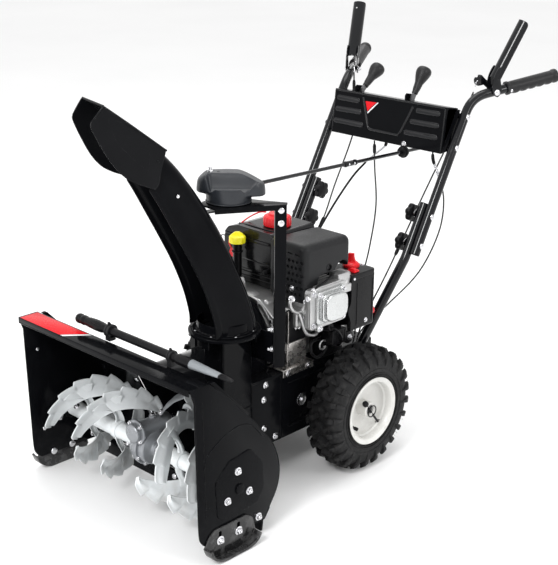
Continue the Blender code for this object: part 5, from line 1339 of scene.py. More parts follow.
def build_gear():
    """The moulded head: a drum, a crowned lid that stands out over both sides, and a scooped front with a lip."""
    c, er, ef = Vector((0.1120, -0.3470)), Vector((0.7245, 0.6890)), Vector((0.6890, -0.7245))
    zb = GZ + 0.0004

    def rho(t, z):
        dr = (t + math.pi) % (2 * math.pi) - math.pi
        dl = (t) % (2 * math.pi) - math.pi
        return 0.0520 + 0.0320 * math.exp(-(abs(dr) / 0.52) ** 3) * step(z, 0.014, 0.024) + 0.0215 * math.exp(-(abs(dl) / 0.60) ** 3) * step(z, 0.016, 0.028)

    levels = [(0.0, 1.0, -0.0010), (0.0012, 1.0, 0.0), (0.0060, 1.0, 0.0004), (0.0120, 1.0, 0.0008), (0.0160, 1.0, 0.001), (0.0190, 1.0, 0.001), (0.0220, 1.0, 0.001), (0.0250, 1.0, 0.001), (0.0290, 1.0, 0.001),
              (0.0340, 1.0, 0.0008), (0.0390, 1.0, 0.0005), (0.0440, 1.0, 0.0), (0.0490, 1.0, -0.0006), (0.0530, 1.0, -0.0014), (0.0565, 1.0, -0.0030), (0.0590, 1.0, -0.0056), (0.0603, 1.0, -0.0090)]
    levels += [(0.0608, q, -0.0100) for q in (0.96, 0.91, 0.86, 0.81, 0.76, 0.71, 0.66, 0.61, 0.56, 0.51, 0.46, 0.40, 0.33, 0.25, 0.15)]
    n = 144
    bm = bmesh.new()
    rows = []
    for z, q, off in levels:
        row = []
        for k in range(n):
            t = 2 * math.pi * k / n
            r = (rho(t, z) + off) * q
            R, F = r * math.cos(t), r * math.sin(t)
            h = z - (z / 0.061) * (0.0200 * step(R, 0.018, 0.086) + 0.0110 * step(-R, 0.046, 0.076) + 0.0030 * step(-F, 0.02, 0.055))
            wall = 0.0100
            if F < wall + 0.014:
                lim = 0.061 - 0.0310 * step(F, wall - 0.004, wall + 0.014)
            else:
                lim = 0.0300 - 0.0045 * step(F, wall + 0.012, 0.0360) + 0.0075 * step(F, 0.0370, 0.0450)
            right = 0.0330 + (0.0480 - F) * 1.15
            mask = step(R, -0.0520, -0.0400) * (1 - step(R, right - 0.008, right + 0.010)) * (1.0 if F > 0 else 0.0)
            if h > lim:
                h += (lim - h) * mask
            row.append(bm.verts.new((c.x + er.x * R + ef.x * F, c.y + er.y * R + ef.y * F, zb + h * 1.12)))
        rows.append(row)
    top = bm.verts.new((c.x, c.y, zb + 0.0608 * 1.12))
    for a, b in zip(rows, rows[1:]):
        for k in range(n):
            bm.faces.new((a[k], a[(k + 1) % n], b[(k + 1) % n], b[k]))
    for k in range(n):
        bm.faces.new((rows[-1][k], rows[-1][(k + 1) % n], top))
    bm.faces.new(rows[0])
    body = recalc(bm)
    sn = Vector((0.1240, -0.2655, 0.7860))
    cd = (Vector((0.0690, 0.3550, 0.7520)) - Vector((0.1240, -0.2655, 0.7860))).normalized()
    tube = placed(lathe([(0, 0), (0.0130, 0), (0.0135, 0.001), (0.0135, 0.018), (0.0120, 0.021), (0.0085, 0.0225), (0.0060, 0.0225), (0, 0.0225)], (0, 0, 1), (0, 0, 0), 36), sn - cd * 0.0245, cd)
    slot = lathe([(0, 0.0600), (0.0032, 0.0600), (0.0032, 0.0686), (0, 0.0687)], (0, 0, 1), (c.x - 0.022, c.y - 0.012, zb), 20)
    boss = lathe([(0, 0.040), (0.0140, 0.040), (0.0130, 0.0600), (0.0112, 0.0640), (0, 0.0645)], (0, 0, 1), (0.0800, -0.3750, zb), 32)
    bolt = [hex_bolt((0.0800, -0.3750, zb + 0.0642), (0, 0, 1), 0.0068, 0.0070, 0.0100), rod((0.0800, -0.3750, zb + 0.070), (0.0800, -0.3750, zb + 0.0800), 0.0040, 16, ch=0.0006)]
    rim = pipe([(c.x + er.x * 0.0526 * math.cos(t) + ef.x * 0.0526 * math.sin(t), c.y + er.y * 0.0526 * math.cos(t) + ef.y * 0.0526 * math.sin(t), zb + 0.0022) for t in [2 * math.pi * k / 90 for k in range(91)]], 0.0016, 8)
    emit("gear_head_cover", [(join(body, tube, boss, rim), M_GEAR), (slot, M_PLASTIC), (join(*bolt), M_BOLT)], "chassis", "chute_gear_cover", sharp=50)


def build_crank():
    c0, c1 = Vector((0.1240, -0.2655, 0.786)), Vector((0.0690, 0.3550, 0.7520))
    cd = (c1 - c0).normalized()
    c0 = c0 + cd * 0.002
    c2 = c1 + cd * 0.115
    up = (Vector((0, 0, 1)) - cd * cd.z).normalized()
    path = rounded([c0, c2, c2 + up * 0.062, c2 + up * 0.062 + cd * 0.075], 0.012, 7)
    bar = pipe(path, 0.0048, 20)
    k0 = c2 + up * 0.062 + cd * 0.020
    knob = placed(lathe([(0.0052, 0), (0.0100, 0), (0.0118, 0.0015), (0.0125, 0.0120), (0.0108, 0.0300), (0.0112, 0.0480), (0.0125, 0.0620), (0.0118, 0.0685), (0.0080, 0.0700), (0, 0.0702)], (0, 0, 1), (0, 0, 0), 32), k0, cd)
    m = c0.lerp(c1, 0.60)
    sleeve = placed(lathe([(0.0050, -0.0260), (0.0066, -0.0260), (0.0072, -0.0250), (0.0072, 0.0250), (0.0066, 0.0260), (0.0050, 0.0260)], (0, 0, 1), (0, 0, 0), 28), m, cd)
    grooves = [placed(lathe([(0.0060, z - 0.0012), (0.0080, z - 0.0008), (0.0080, z + 0.0008), (0.0060, z + 0.0012)], (0, 0, 1), (0, 0, 0), 28), m, cd) for z in (-0.020, 0.020)]
    pins = [dome_bolt(m + cd * z + Vector((0.0070, 0, 0)), (1, 0, 0), 0.0030, 0.0018) for z in (-0.012, 0.012)]
    emit("chute_crank_rod", [(join(bar, sleeve, *grooves), M_BLACK2), (knob, M_PLASTIC), (join(*pins), M_BOLT)], "crank", "chute_crank", sharp=34)


# the light edge colour of this black enamel is a painted highlight along its edges
M_BLACKD = paint("black_enamel_hood", (0.0036, 0.0038, 0.0046), 0.20, dust=0.02, spec=0.10, edge=((0.10, 0.10, 0.10), 0.3), scuff=0.3)

build_chute()
build_deflector()
build_bracket()
build_gear()
build_crank()
# =====================================================================================
# engine
# =====================================================================================
def rounded_box(x0, x1, y0, y1, z0, z1, r=0.008, seg=4):
    return block(x0, x1, y0, y1, z0, z1, r, seg)


def build_engine():
    lo = FRAME_HI + 0.0004
    blk = rounded_box(-0.105, 0.078, -0.185, 0.078, lo, 0.4590, 0.012, 4)
    foot = rounded_box(-0.125, 0.098, -0.165, 0.060, lo, lo + 0.012, 0.004, 2)
    boss = lathe([(0.0128, -0.2036), (0.030, -0.2036), (0.034, -0.2010), (0.036, -0.196), (0.066, -0.193), (0.073, -0.190), (0.075, -0.184), (0.075, -0.160), (0.0128, -0.160)], (0, 1, 0), (0, 0, CRANK_Z), 64)
    # side cover of the crankcase with its flange, ribs and screws
    outline = round_poly([(-0.098, 0.300), (-0.106, 0.400), (-0.082, 0.4600), (0.0620, 0.4600), (0.1160, 0.4200), (0.1200, 0.330), (0.096, 0.300)], 0.016, 5)
    cover = prism(outline, "Y", -0.192, -0.150)
    cover = bevelled(cover, 0.0040, 3, 40)
    rim = pipe([(x, -0.1930, z) for x, z in outline + outline[:1]], 0.0036, 10, caps=False)
    ribs = []
    for k in range(14):
        a = 2 * math.pi * k / 14 + 0.1
        p0 = Vector((0.074 * math.cos(a), -0.1935, CRANK_Z + 0.060 * math.sin(a)))
        p1 = Vector((0.104 * math.cos(a), -0.1925, CRANK_Z + 0.064 * math.sin(a)))
        ribs.append(pipe([p0, p0.lerp(p1, 0.5), p1], 0.0024, 8))
    swoop = pipe(smooth_path([(-0.020, -0.194, 0.463), (0.030, -0.194, 0.4620), (0.062, -0.194, 0.4560), (0.088, -0.1945, 0.4330), (0.106, -0.1945, 0.4080), (0.112, -0.194, 0.3850)], 5), 0.0042, 12)
    swoop2 = pipe(smooth_path([(-0.014, -0.193, 0.448), (0.030, -0.193, 0.4460), (0.056, -0.193, 0.4400), (0.078, -0.1935, 0.4200), (0.094, -0.1935, 0.3980)], 5), 0.0028, 10)
    bolts = []
    for i in range(2, len(outline), 5):
        x, z = outline[i]
        c = Vector((0.004, 0, 0.385)) - Vector((x, 0, z))
        c = Vector((x, 0, z)) + c.normalized() * 0.008
        bolts.append(hex_bolt((c.x, -0.1925, c.z), (0, -1, 0), 0.0052, 0.0055, 0.0080))
    # cylinder barrel and its cooling fins
    barrel = rod((0.072, -0.056, 0.452), (0.172, -0.056, 0.452), 0.036, 40)
    fins = []
    for k in range(8):
        x = 0.083 + 0.0112 * k
        f = prism(round_poly([(-0.104, 0.400), (-0.010, 0.400), (-0.010, 0.503), (-0.104, 0.503)], 0.014, 4), "X", x, x + 0.0030)
        fins.append(f)
    head = prism(round_poly([(-0.146, 0.398), (-0.012, 0.398), (-0.012, 0.503), (-0.146, 0.503)], 0.012, 5), "X", 0.1710, 0.1920)
    head = bevelled(head, 0.0025, 3, 40)
    hfins = [prism(round_poly([(-0.1480, 0.4040), (-0.120, 0.4040), (-0.120, 0.498), (-0.1480, 0.498)], 0.006, 3), "X", x, x + 0.0024) for x in (0.1735, 0.1790, 0.1845)]
    hfins += [prism(round_poly([(-0.118, 0.500), (-0.030, 0.500), (-0.030, 0.5065), (-0.118, 0.5065)], 0.003, 3), "X", x, x + 0.0024) for x in (0.1735, 0.1800, 0.1865)]
    intake = [pipe(smooth_path([(0.172, -0.020, 0.470), (0.176, -0.006, 0.486), (0.172, 0.008, 0.500), (0.166, 0.016, 0.506)], 5), 0.0125, 24),
              rounded_box(0.150, 0.186, -0.034, 0.010, 0.490, 0.519, 0.005, 3),
              rounded_box(0.160, 0.190, -0.020, 0.012, 0.466, 0.489, 0.004, 3)]
    side = [rounded_box(0.098, 0.172, -0.118, -0.100, 0.404, 0.470, 0.006, 3), rod((0.150, -0.128, 0.414), (0.150, -0.100, 0.414), 0.013, 28),
            rounded_box(0.100, 0.150, -0.150, -0.118, 0.395, 0.440, 0.008, 3)]
    bolts.append(hex_bolt((0.150, -0.128, 0.414), (0, -1, 0), 0.0062, 0.0055, 0.0095))
    for y, z in ((-0.134, 0.492), (-0.134, 0.410), (-0.024, 0.409)):
        bolts.append(hex_bolt((0.1922, y, z), (1, 0, 0), 0.0050, 0.0050, 0.0075))
    neck = lathe([(0, 0.44), (0.0150, 0.44), (0.0150, 0.4640), (0.0118, 0.4680), (0.0112, 0.5560), (0.0122, 0.5600), (0.0125, 0.5745), (0, 0.5745)], (0, 0, 1), (-0.060, -0.151, 0), 32)
    neck_b = [lathe([(0.0110, z - 0.002), (0.0142, z - 0.0015), (0.0142, z + 0.0015), (0.0110, z + 0.002)], (0, 0, 1), (-0.060, -0.151, 0), 32) for z in (0.476, 0.552)]
    drain = [rod((-0.100, -0.060, 0.310), (-0.118, -0.060, 0.310), 0.0085, 6), rod((-0.100, -0.060, 0.310), (-0.112, -0.060, 0.310), 0.0115, 24)]
    body = join(blk, foot, boss, cover, rim, *ribs, swoop, swoop2, barrel, *fins, head, *hfins, *intake, *side)
    emit("engine_core", [(body, M_CAST), (join(neck, *neck_b), M_PLASTIC), (join(*bolts, *drain), M_BOLT)], "chassis", "engine_block", sharp=36)

    # rocker cover: flange, raised oval, lugs
    fl = prism(round_poly([(-0.128, 0.410), (-0.028, 0.410), (-0.028, 0.496), (-0.128, 0.496)], 0.014, 6), "X", 0.1924, 0.1985)
    fl = bevelled(fl, 0.0012, 2, 40)
    lugs = [rod((0.1924, y, z), (0.2030, y, z), 0.0098, 28, ch=0.0014) for y, z in ((-0.1210, 0.4030), (-0.1210, 0.4890), (-0.0350, 0.4170), (-0.0350, 0.4890))]
    step = prism(round_poly([(-0.119, 0.417), (-0.035, 0.417), (-0.035, 0.490), (-0.119, 0.490)], 0.016, 7), "X", 0.1975, 0.2110)
    step = bevelled(step, 0.0045, 4, 40)
    oval = []
    for k in range(64):
        t = 2 * math.pi * k / 64
        ct, st = math.cos(t), math.sin(t)
        oval.append((-0.0760 + 0.0400 * abs(ct) ** 0.62 * (1 if ct > 0 else -1), 0.4540 + 0.0355 * abs(st) ** 0.62 * (1 if st > 0 else -1)))
    top = bevelled(prism(oval, "X", 0.2100, 0.2212), 0.0048, 4, 50)
    cb = [hex_bolt((0.2030, y, z), (1, 0, 0), 0.0048, 0.0045, 0.0072) for y, z in ((-0.1210, 0.4030), (-0.1210, 0.4890), (-0.0350, 0.4170), (-0.0350, 0.4890))]
    emit("rocker_cover", [(join(fl, *lugs, step, top), M_COVER), (join(*cb), M_BOLT)], "chassis", "valve_cover", sharp=36)


def build_muffler():
    outline = round_poly([(-0.145, 0.612), (0.030, 0.606), (0.030, 0.526), (-0.100, 0.526), (-0.116, 0.460), (-0.145, 0.460)], 0.013, 6)
    cy, cz, hy, hz = -0.0575, 0.536, 0.0875, 0.076
    ends = [(0.0455, 0.0100), (0.0480, 0.0056), (0.0520, 0.0024), (0.0575, 0.0006), (0.0620, 0.0), (0.1480, 0.0), (0.1540, 0.0008), (0.1590, 0.0024), (0.1635, 0.0050), (0.1670, 0.0086), (0.1692, 0.0125), (0.1700, 0.0170)]
    bm = loft([[Vector((x, cy + (y - cy) * (1 - r / hy), cz + (z - cz) * (1 - r / hz))) for y, z in outline] for x, r in ends])
    # perforations of the front face, moulded louvres above, round boss and half-round cut-out of the side
    cut = []
    for i in range(6):
        for j in range(6):
            x = 0.0860 + 0.0135 * i
            z = 0.4830 + 0.0170 * j
            cut.append(rod((x + (0.004 if j % 2 else 0), -0.150, z), (x + (0.004 if j % 2 else 0), -0.1405, z), 0.0048, 10))
    for i in range(3):
        cut.append(block(0.088 + 0.024 * i, 0.104 + 0.024 * i, -0.150, -0.1415, 0.5845, 0.5885))
    bm = boolean(bm, join(*cut))
    bm = boolean(bm, rod((0.1620, -0.0544, 0.5395), (0.1760, -0.0544, 0.5395), 0.0082, 32))
    bm = boolean(bm, rod((0.110, -0.0052, 0.5215), (0.1760, -0.0052, 0.5215), 0.0270, 40))
    ring = lathe([(0.0080, 0.1640), (0.0112, 0.1690), (0.0112, 0.1706), (0.0094, 0.1712), (0.0084, 0.1706)], (1, 0, 0), (0, -0.0544, 0.5395), 40)
    ring2 = lathe([(0, 0.1640), (0.0062, 0.1640), (0.0056, 0.1668), (0, 0.1672)], (1, 0, 0), (0, -0.0544, 0.5395), 28)
    seam = pipe([(0.0475, y, z) for y, z in ((-0.140, 0.6060), (0.020, 0.6005))], 0.0012, 8)
    tab = rounded_box(0.0860, 0.1500, -0.1300, -0.104, 0.4560, 0.4640, 0.003, 2)
    sc = [hex_bolt((0.128, -0.1452, 0.4960), (0, -1, 0), 0.0048, 0.0034, 0.0075)]
    emit("muffler_shroud", [(join(bm, ring, ring2, seam, tab), M_PLASTIC2), (join(*sc), M_BOLT)], "chassis", "muffler_cover", sharp=36)


def build_tank():
    low = round_poly([(-0.135, 0.524), (-0.135, 0.5830), (0.0430, 0.5830), (0.0430, 0.524)], 0.010, 5)
    base = bevelled(prism(low, "Y", -0.128, 0.030), 0.0080, 4, 40)
    upper = round_poly([(-0.1340, 0.5840), (-0.118, 0.6020), (-0.085, 0.6115), (0.0430, 0.6115), (0.0430, 0.5840)], 0.016, 5)
    up = bevelled(prism(upper, "Y", -0.127, 0.029), 0.0120, 5, 40)
    seam = prism(round_poly([(-0.1365, -0.1295), (0.0435, -0.1295), (0.0435, 0.0315), (-0.1365, 0.0315)], 0.016, 6), "Z", 0.5815, 0.5860)
    neck = lathe([(0.0200, 0.606), (0.0420, 0.6080), (0.0400, 0.6118), (0.0330, 0.6124), (0.0200, 0.6124)], (0, 0, 1), (-0.010, -0.056, 0), 48)
    ridge = pipe(smooth_path([(-0.100, -0.105, 0.6090), (-0.060, -0.108, 0.6125), (0.000, -0.108, 0.6125), (0.036, -0.104, 0.6120)], 5), 0.0020, 10)
    shroud = rounded_box(-0.126, 0.044, -0.118, 0.026, 0.4600, 0.5300, 0.006, 3)
    sh2 = rounded_box(-0.128, 0.0440, -0.1255, -0.060, 0.4980, 0.5300, 0.008, 3)
    lines = [pipe([(-0.120, -0.1185, z), (0.042, -0.1185, z)], 0.0018, 8) for z in (0.478, 0.490)]
    knob = [rod((0.030, -0.126, 0.512), (0.030, -0.142, 0.512), 0.0075, 20, ch=0.001), rod((0.020, -0.138, 0.512), (0.040, -0.138, 0.505), 0.0030, 12)]
    # pull loop of the fuel tap
    loop = [pipe([(-0.144 + 0.0085 * math.cos(math.radians(a)), -0.120, 0.5620 + 0.0095 * math.sin(math.radians(a))) for a in range(0, 361, 12)], 0.0014, 8, caps=False), rod((-0.1355, -0.1195, 0.5620), (-0.126, -0.1195, 0.5620), 0.0016, 10)]
    emit("fuel_tank_shell", [(join(base, up, seam, neck, ridge, shroud, sh2, *lines), M_TANK), (join(*knob), M_PLASTIC), (join(*loop), M_DARKSTEEL)], "chassis", "fuel_tank", sharp=36)

    # ribbed cap
    def wob(t, i, r):
        return r * (1.0 + (0.030 * (0.5 + 0.5 * math.cos(20 * t)) ** 2 if 1 < i < 5 else 0.0))
    prof = [(0, 0.6130), (0.0340, 0.6130), (0.0355, 0.6142), (0.0355, 0.6330), (0.0340, 0.6370), (0.0300, 0.6395), (0.0240, 0.6405), (0.0225, 0.6455), (0.0200, 0.6460), (0, 0.6460)]
    cap = lathe(prof, (0, 0, 1), (-0.010, -0.056, 0), 160, 0.0, wob)
    emit("fuel_filler_cap", [(cap, M_RED)], "fuel_lid", "fuel_cap", sharp=34)
    strap = pipe(smooth_path([(-0.046, -0.062, 0.6410), (-0.066, -0.064, 0.6370), (-0.094, -0.070, 0.6210), (-0.112, -0.085, 0.6030), (-0.118, -0.112, 0.5850), (-0.112, -0.1300, 0.5600), (-0.1000, -0.1310, 0.5440)], 6), 0.0019, 12)
    tag = loft([[Vector((-0.098 + x, -0.1330 + y, z)) for x, y in ((-w, -0.0016), (w, -0.0016), (w, 0.0016), (-w, 0.0016))] for w, z in ((0.0040, 0.5470), (0.0085, 0.5380), (0.0090, 0.5320), (0.0060, 0.5250))])
    emit("fuel_cap_tether", [(join(strap, tag), M_RED)], "chassis", (), sharp=34)

    def wob2(t, i, r):
        return r * (1.0 + 0.02 * math.cos(12 * t))
    oil = lathe([(0, 0.5750), (0.0200, 0.5750), (0.0212, 0.5760), (0.0212, 0.5900), (0.0200, 0.5925), (0.0100, 0.5960), (0, 0.5965)], (0, 0, 1), (-0.060, -0.151, 0), 96, 0.0, wob2)
    grip = loft([[Vector((-0.060, -0.151, 0)) + Vector((0.7245, 0.689, 0)) * a + Vector((-0.689, 0.7245, 0)) * b + Vector((0, 0, z)) for a, b in ((-w, -t), (w, -t), (w, t), (-w, t))] for w, t, z in ((0.0175, 0.0070, 0.5900), (0.0160, 0.0050, 0.5960), (0.0100, 0.0042, 0.6010), (0.0050, 0.0036, 0.6040))])
    grip = bevelled(grip, 0.0012, 2, 30)
    emit("oil_filler_plug", [(join(oil, grip), M_YELLOW)], "oil_lid", "oil_filler_cap", sharp=34)


def build_heater():
    x0, x1, y0, y1 = 0.100, 0.190, 0.014, 0.105
    box = rounded_box(x0, x1, y0, y1, 0.353, 0.500, 0.008, 4)
    wave = loft([[Vector((x, y, z)) for x, y in ((x1 - 0.0300, y0 - 0.0030 - d), (x1 + 0.0006, y0 - 0.0030 - d), (x1 + 0.0006, y0 + 0.010), (x1 - 0.0300, y0 + 0.010))] for z, d in ((0.356, 0.0), (0.380, 0.0), (0.392, 0.0040), (0.404, 0.0100), (0.416, 0.0110), (0.430, 0.0020), (0.440, 0.0), (0.498, 0.0))])
    lid = bevelled(prism(round_poly([(x0 - 0.001, y0 - 0.003), (x1 + 0.001, y0 - 0.003), (x1 + 0.001, y1 + 0.0005), (x0 - 0.001, y1 + 0.0005)], 0.012, 6), "Z", 0.4925, 0.5066), 0.0030, 3, 40)
    stem = rounded_box(0.0785, 0.104, 0.020, 0.074, 0.380, 0.440, 0.004, 2)
    grooves = [pipe([(x1 + 0.0004, y, 0.366), (x1 + 0.0004, y, 0.482)], 0.0011, 8) for y in (0.034, 0.095)]
    duct = rounded_box(0.120, 0.176, -0.010, 0.020, 0.400, 0.470, 0.008, 3)
    sc = [hex_bolt((x1 + 0.0002, 0.020, 0.496), (1, 0, 0), 0.0040, 0.0025, 0.0), hex_bolt((x1 + 0.0002, 0.070, 0.372), (1, 0, 0), 0.0042, 0.0028, 0.0065), hex_bolt((0.150, 0.0995, 0.5060), (0, 0, 1), 0.0038, 0.0024, 0.0055)]
    emit("heater_housing", [(join(box, wave, lid, stem, *grooves, duct), M_PLASTIC), (join(*sc), M_BOLT)], "chassis", "heater_box", sharp=36)
    # choke knob: skirt and finger bar
    c = Vector((0.138, 0.068, 0))
    skirt = lathe([(0, 0.5074), (0.0215, 0.5074), (0.0225, 0.5086), (0.0218, 0.5140), (0.0170, 0.5190), (0.0100, 0.5215), (0, 0.5220)], (0, 0, 1), c, 64, 0.0, lambda t, i, r: r * (1 + 0.018 * math.cos(10 * t)))
    bar = loft([[c + Vector((a * 0.90 - b * 0.44, a * 0.44 + b * 0.90, z)) for a, b in ((-w, -t), (w, -t), (w, t), (-w, t))] for w, t, z in ((0.0150, 0.0058, 0.5150), (0.0105, 0.0050, 0.5240), (0.0080, 0.0044, 0.5330), (0.0074, 0.0040, 0.5420), (0.0060, 0.0032, 0.5430))])
    emit("choke_dial", [(join(skirt, bevelled(bar, 0.0012, 2, 30)), M_RED)], "choke", "choke_knob", sharp=34)


def build_switch():
    c = Vector((0.170, 0.039, 0.5072))
    box = block(-0.0125, 0.0125, -0.0095, 0.0095, 0.0, 0.0050, 0.0016, 2)
    rock = loft([[Vector((x, y, z)) for y, z in ((-0.0078, 0.0046), (0.0078, 0.0046), (0.0078, 0.0062 + t), (0.0, 0.0060), (-0.0078, 0.0102 - t))] for x, t in ((-0.0105, 0.0008), (0.0105, 0.0008))])
    j = join(box, bevelled(rock, 0.0007, 2, 30))
    for v in j.verts:
        v.co += c
    emit("stop_rocker", [(j, M_RED)], "stop", "stop_switch", sharp=34)


def build_primer():
    c = (0.172, 0, 0.385)
    prof = [(0.0040, 0.0985), (0.0140, 0.0985), (0.0155, 0.1000), (0.0155, 0.1052), (0.0148, 0.1066), (0.0138, 0.1072), (0.0136, 0.1100), (0.0120, 0.1150), (0.0085, 0.1190), (0.0040, 0.1208), (0, 0.1212), (0, 0.0985)]
    emit("primer_dome", [(lathe(prof, (0, 1, 0), c, 48), M_RED)], "primer", "primer_bulb", sharp=40)


def build_recoil():
    c = (-0.013, 0, CRANK_Z)
    prof = [(0, 0.0804), (0.0960, 0.0804), (0.0980, 0.0820), (0.0980, 0.1010), (0.0950, 0.1080), (0.0860, 0.1130), (0.0800, 0.1140), (0.0760, 0.1225), (0.0720, 0.1262), (0.0640, 0.1280), (0.0260, 0.1280), (0.0235, 0.1262), (0.0225, 0.1235), (0, 0.1235)]
    bm = lathe(prof, (0, 1, 0), c, 96)
    box = rounded_box(-0.085, -0.055, 0.0810, 0.1180, 0.4400, 0.4920, 0.005, 3)
    bm = boolean(bm, box, "UNION")
    cut = []
    for k in range(22):
        a = 2 * math.pi * k / 22
        u = Vector((math.cos(a), 0, math.sin(a)))
        n = Vector((-math.sin(a), 0, math.cos(a)))
        cc = Vector((-0.013, 0, CRANK_Z))
        w = 0.0044
        poly = [cc + u * r + n * t for r, t in ((0.034, -w * 0.6), (0.064, -w), (0.064, w), (0.034, w * 0.6))]
        cut.append(prism([(p.x, p.z) for p in poly], "Y", 0.1180, 0.140))
    bm = boolean(bm, join(*cut))
    slots = []
    for k in range(14):
        a = math.radians(200 + 11 * k)
        u = Vector((math.cos(a), 0, math.sin(a)))
        p = Vector((-0.013, 0.0905, CRANK_Z)) + u * 0.0945
        slots.append(rod(p, p + u * 0.01, 0.0052, 12))
    bm = boolean(bm, join(*slots))
    feet, sc = [], []
    for a in (45, 135, 225, 315):
        u = Vector((math.cos(math.radians(a)), 0, math.sin(math.radians(a))))
        p = Vector((-0.013, 0, CRANK_Z)) + u * 0.0930
        feet.append(rod(p + Vector((0, 0.0810, 0)), p + Vector((0, 0.1040, 0)), 0.0095, 24, ch=0.001))
        sc.append(hex_bolt(p + Vector((0, 0.1040, 0)), (0, 1, 0), 0.0050, 0.0050, 0.0076))
    hub = lathe([(0, 0.1235), (0.0150, 0.1235), (0.0150, 0.1262), (0.0130, 0.1275), (0, 0.1278)], (0, 1, 0), c, 40)
    emit("recoil_housing", [(join(bm, *feet, hub), M_PLASTIC2), (join(*sc), M_BOLT)], "chassis", "recoil_cover", sharp=36)
    bar = loft([[Vector((x, 0.108 + y, z)) for y, z in ((-d, 0.5010), (-d * 0.8, 0.5085), (0, 0.5195), (d * 0.8, 0.5085), (d, 0.5010), (0, 0.4960))] for x, d in ((-0.1000, 0.0050), (-0.0960, 0.0082), (-0.0840, 0.0086), (-0.0700, 0.0092), (-0.0560, 0.0086), (-0.0440, 0.0082), (-0.0400, 0.0050))])
    neck = lathe([(0, 0.4930), (0.0080, 0.4930), (0.0072, 0.4980), (0.0082, 0.5050), (0, 0.5060)], (0, 0, 1), (-0.070, 0.108, 0), 32)
    emit("starter_grip", [(join(bevelled(bar, 0.0016, 3, 25), neck), M_PLASTIC2)], "starter", "starter_handle", sharp=36)


def build_belt_cover():
    out = []
    n = 28
    arch = [(0.098 * math.cos(math.pi * k / n), 0.372 + 0.098 * math.sin(math.pi * k / n)) for k in range(n + 1)]
    outer = [(0.098, 0.2856)] + arch + [(-0.098, 0.2856)]
    bm = prism(outer, "Y", -0.283, -0.204)
    inner_arch = [(0.0945 * math.cos(math.pi * k / n), 0.372 + 0.0945 * math.sin(math.pi * k / n)) for k in range(n + 1)]
    cutter = prism([(0.0945, 0.27)] + inner_arch + [(-0.0945, 0.27)], "Y", -0.2795, -0.190)
    bm = boolean(bm, cutter)
    lip = pipe([(x, -0.2060, z) for x, z in outer], 0.0030, 10)
    bead = pipe([(x * 0.80, -0.2832, 0.372 + (z - 0.372) * 0.80 if z > 0.372 else z + 0.02) for x, z in outer], 0.0024, 10)
    sc = [hex_bolt((s * 0.0865, -0.2832, 0.300), (0, -1, 0), 0.0050, 0.0040, 0.0080) for s in (-1, 1)] + [hex_bolt((0, -0.2832, 0.4620), (0, -1, 0), 0.0050, 0.0040, 0.0080)]
    emit("belt_guard", [(join(bm, lip, bead), M_BLACK), (join(*sc), M_BOLT)], "chassis", "belt_cover", bevel=0.0007, angle=45)


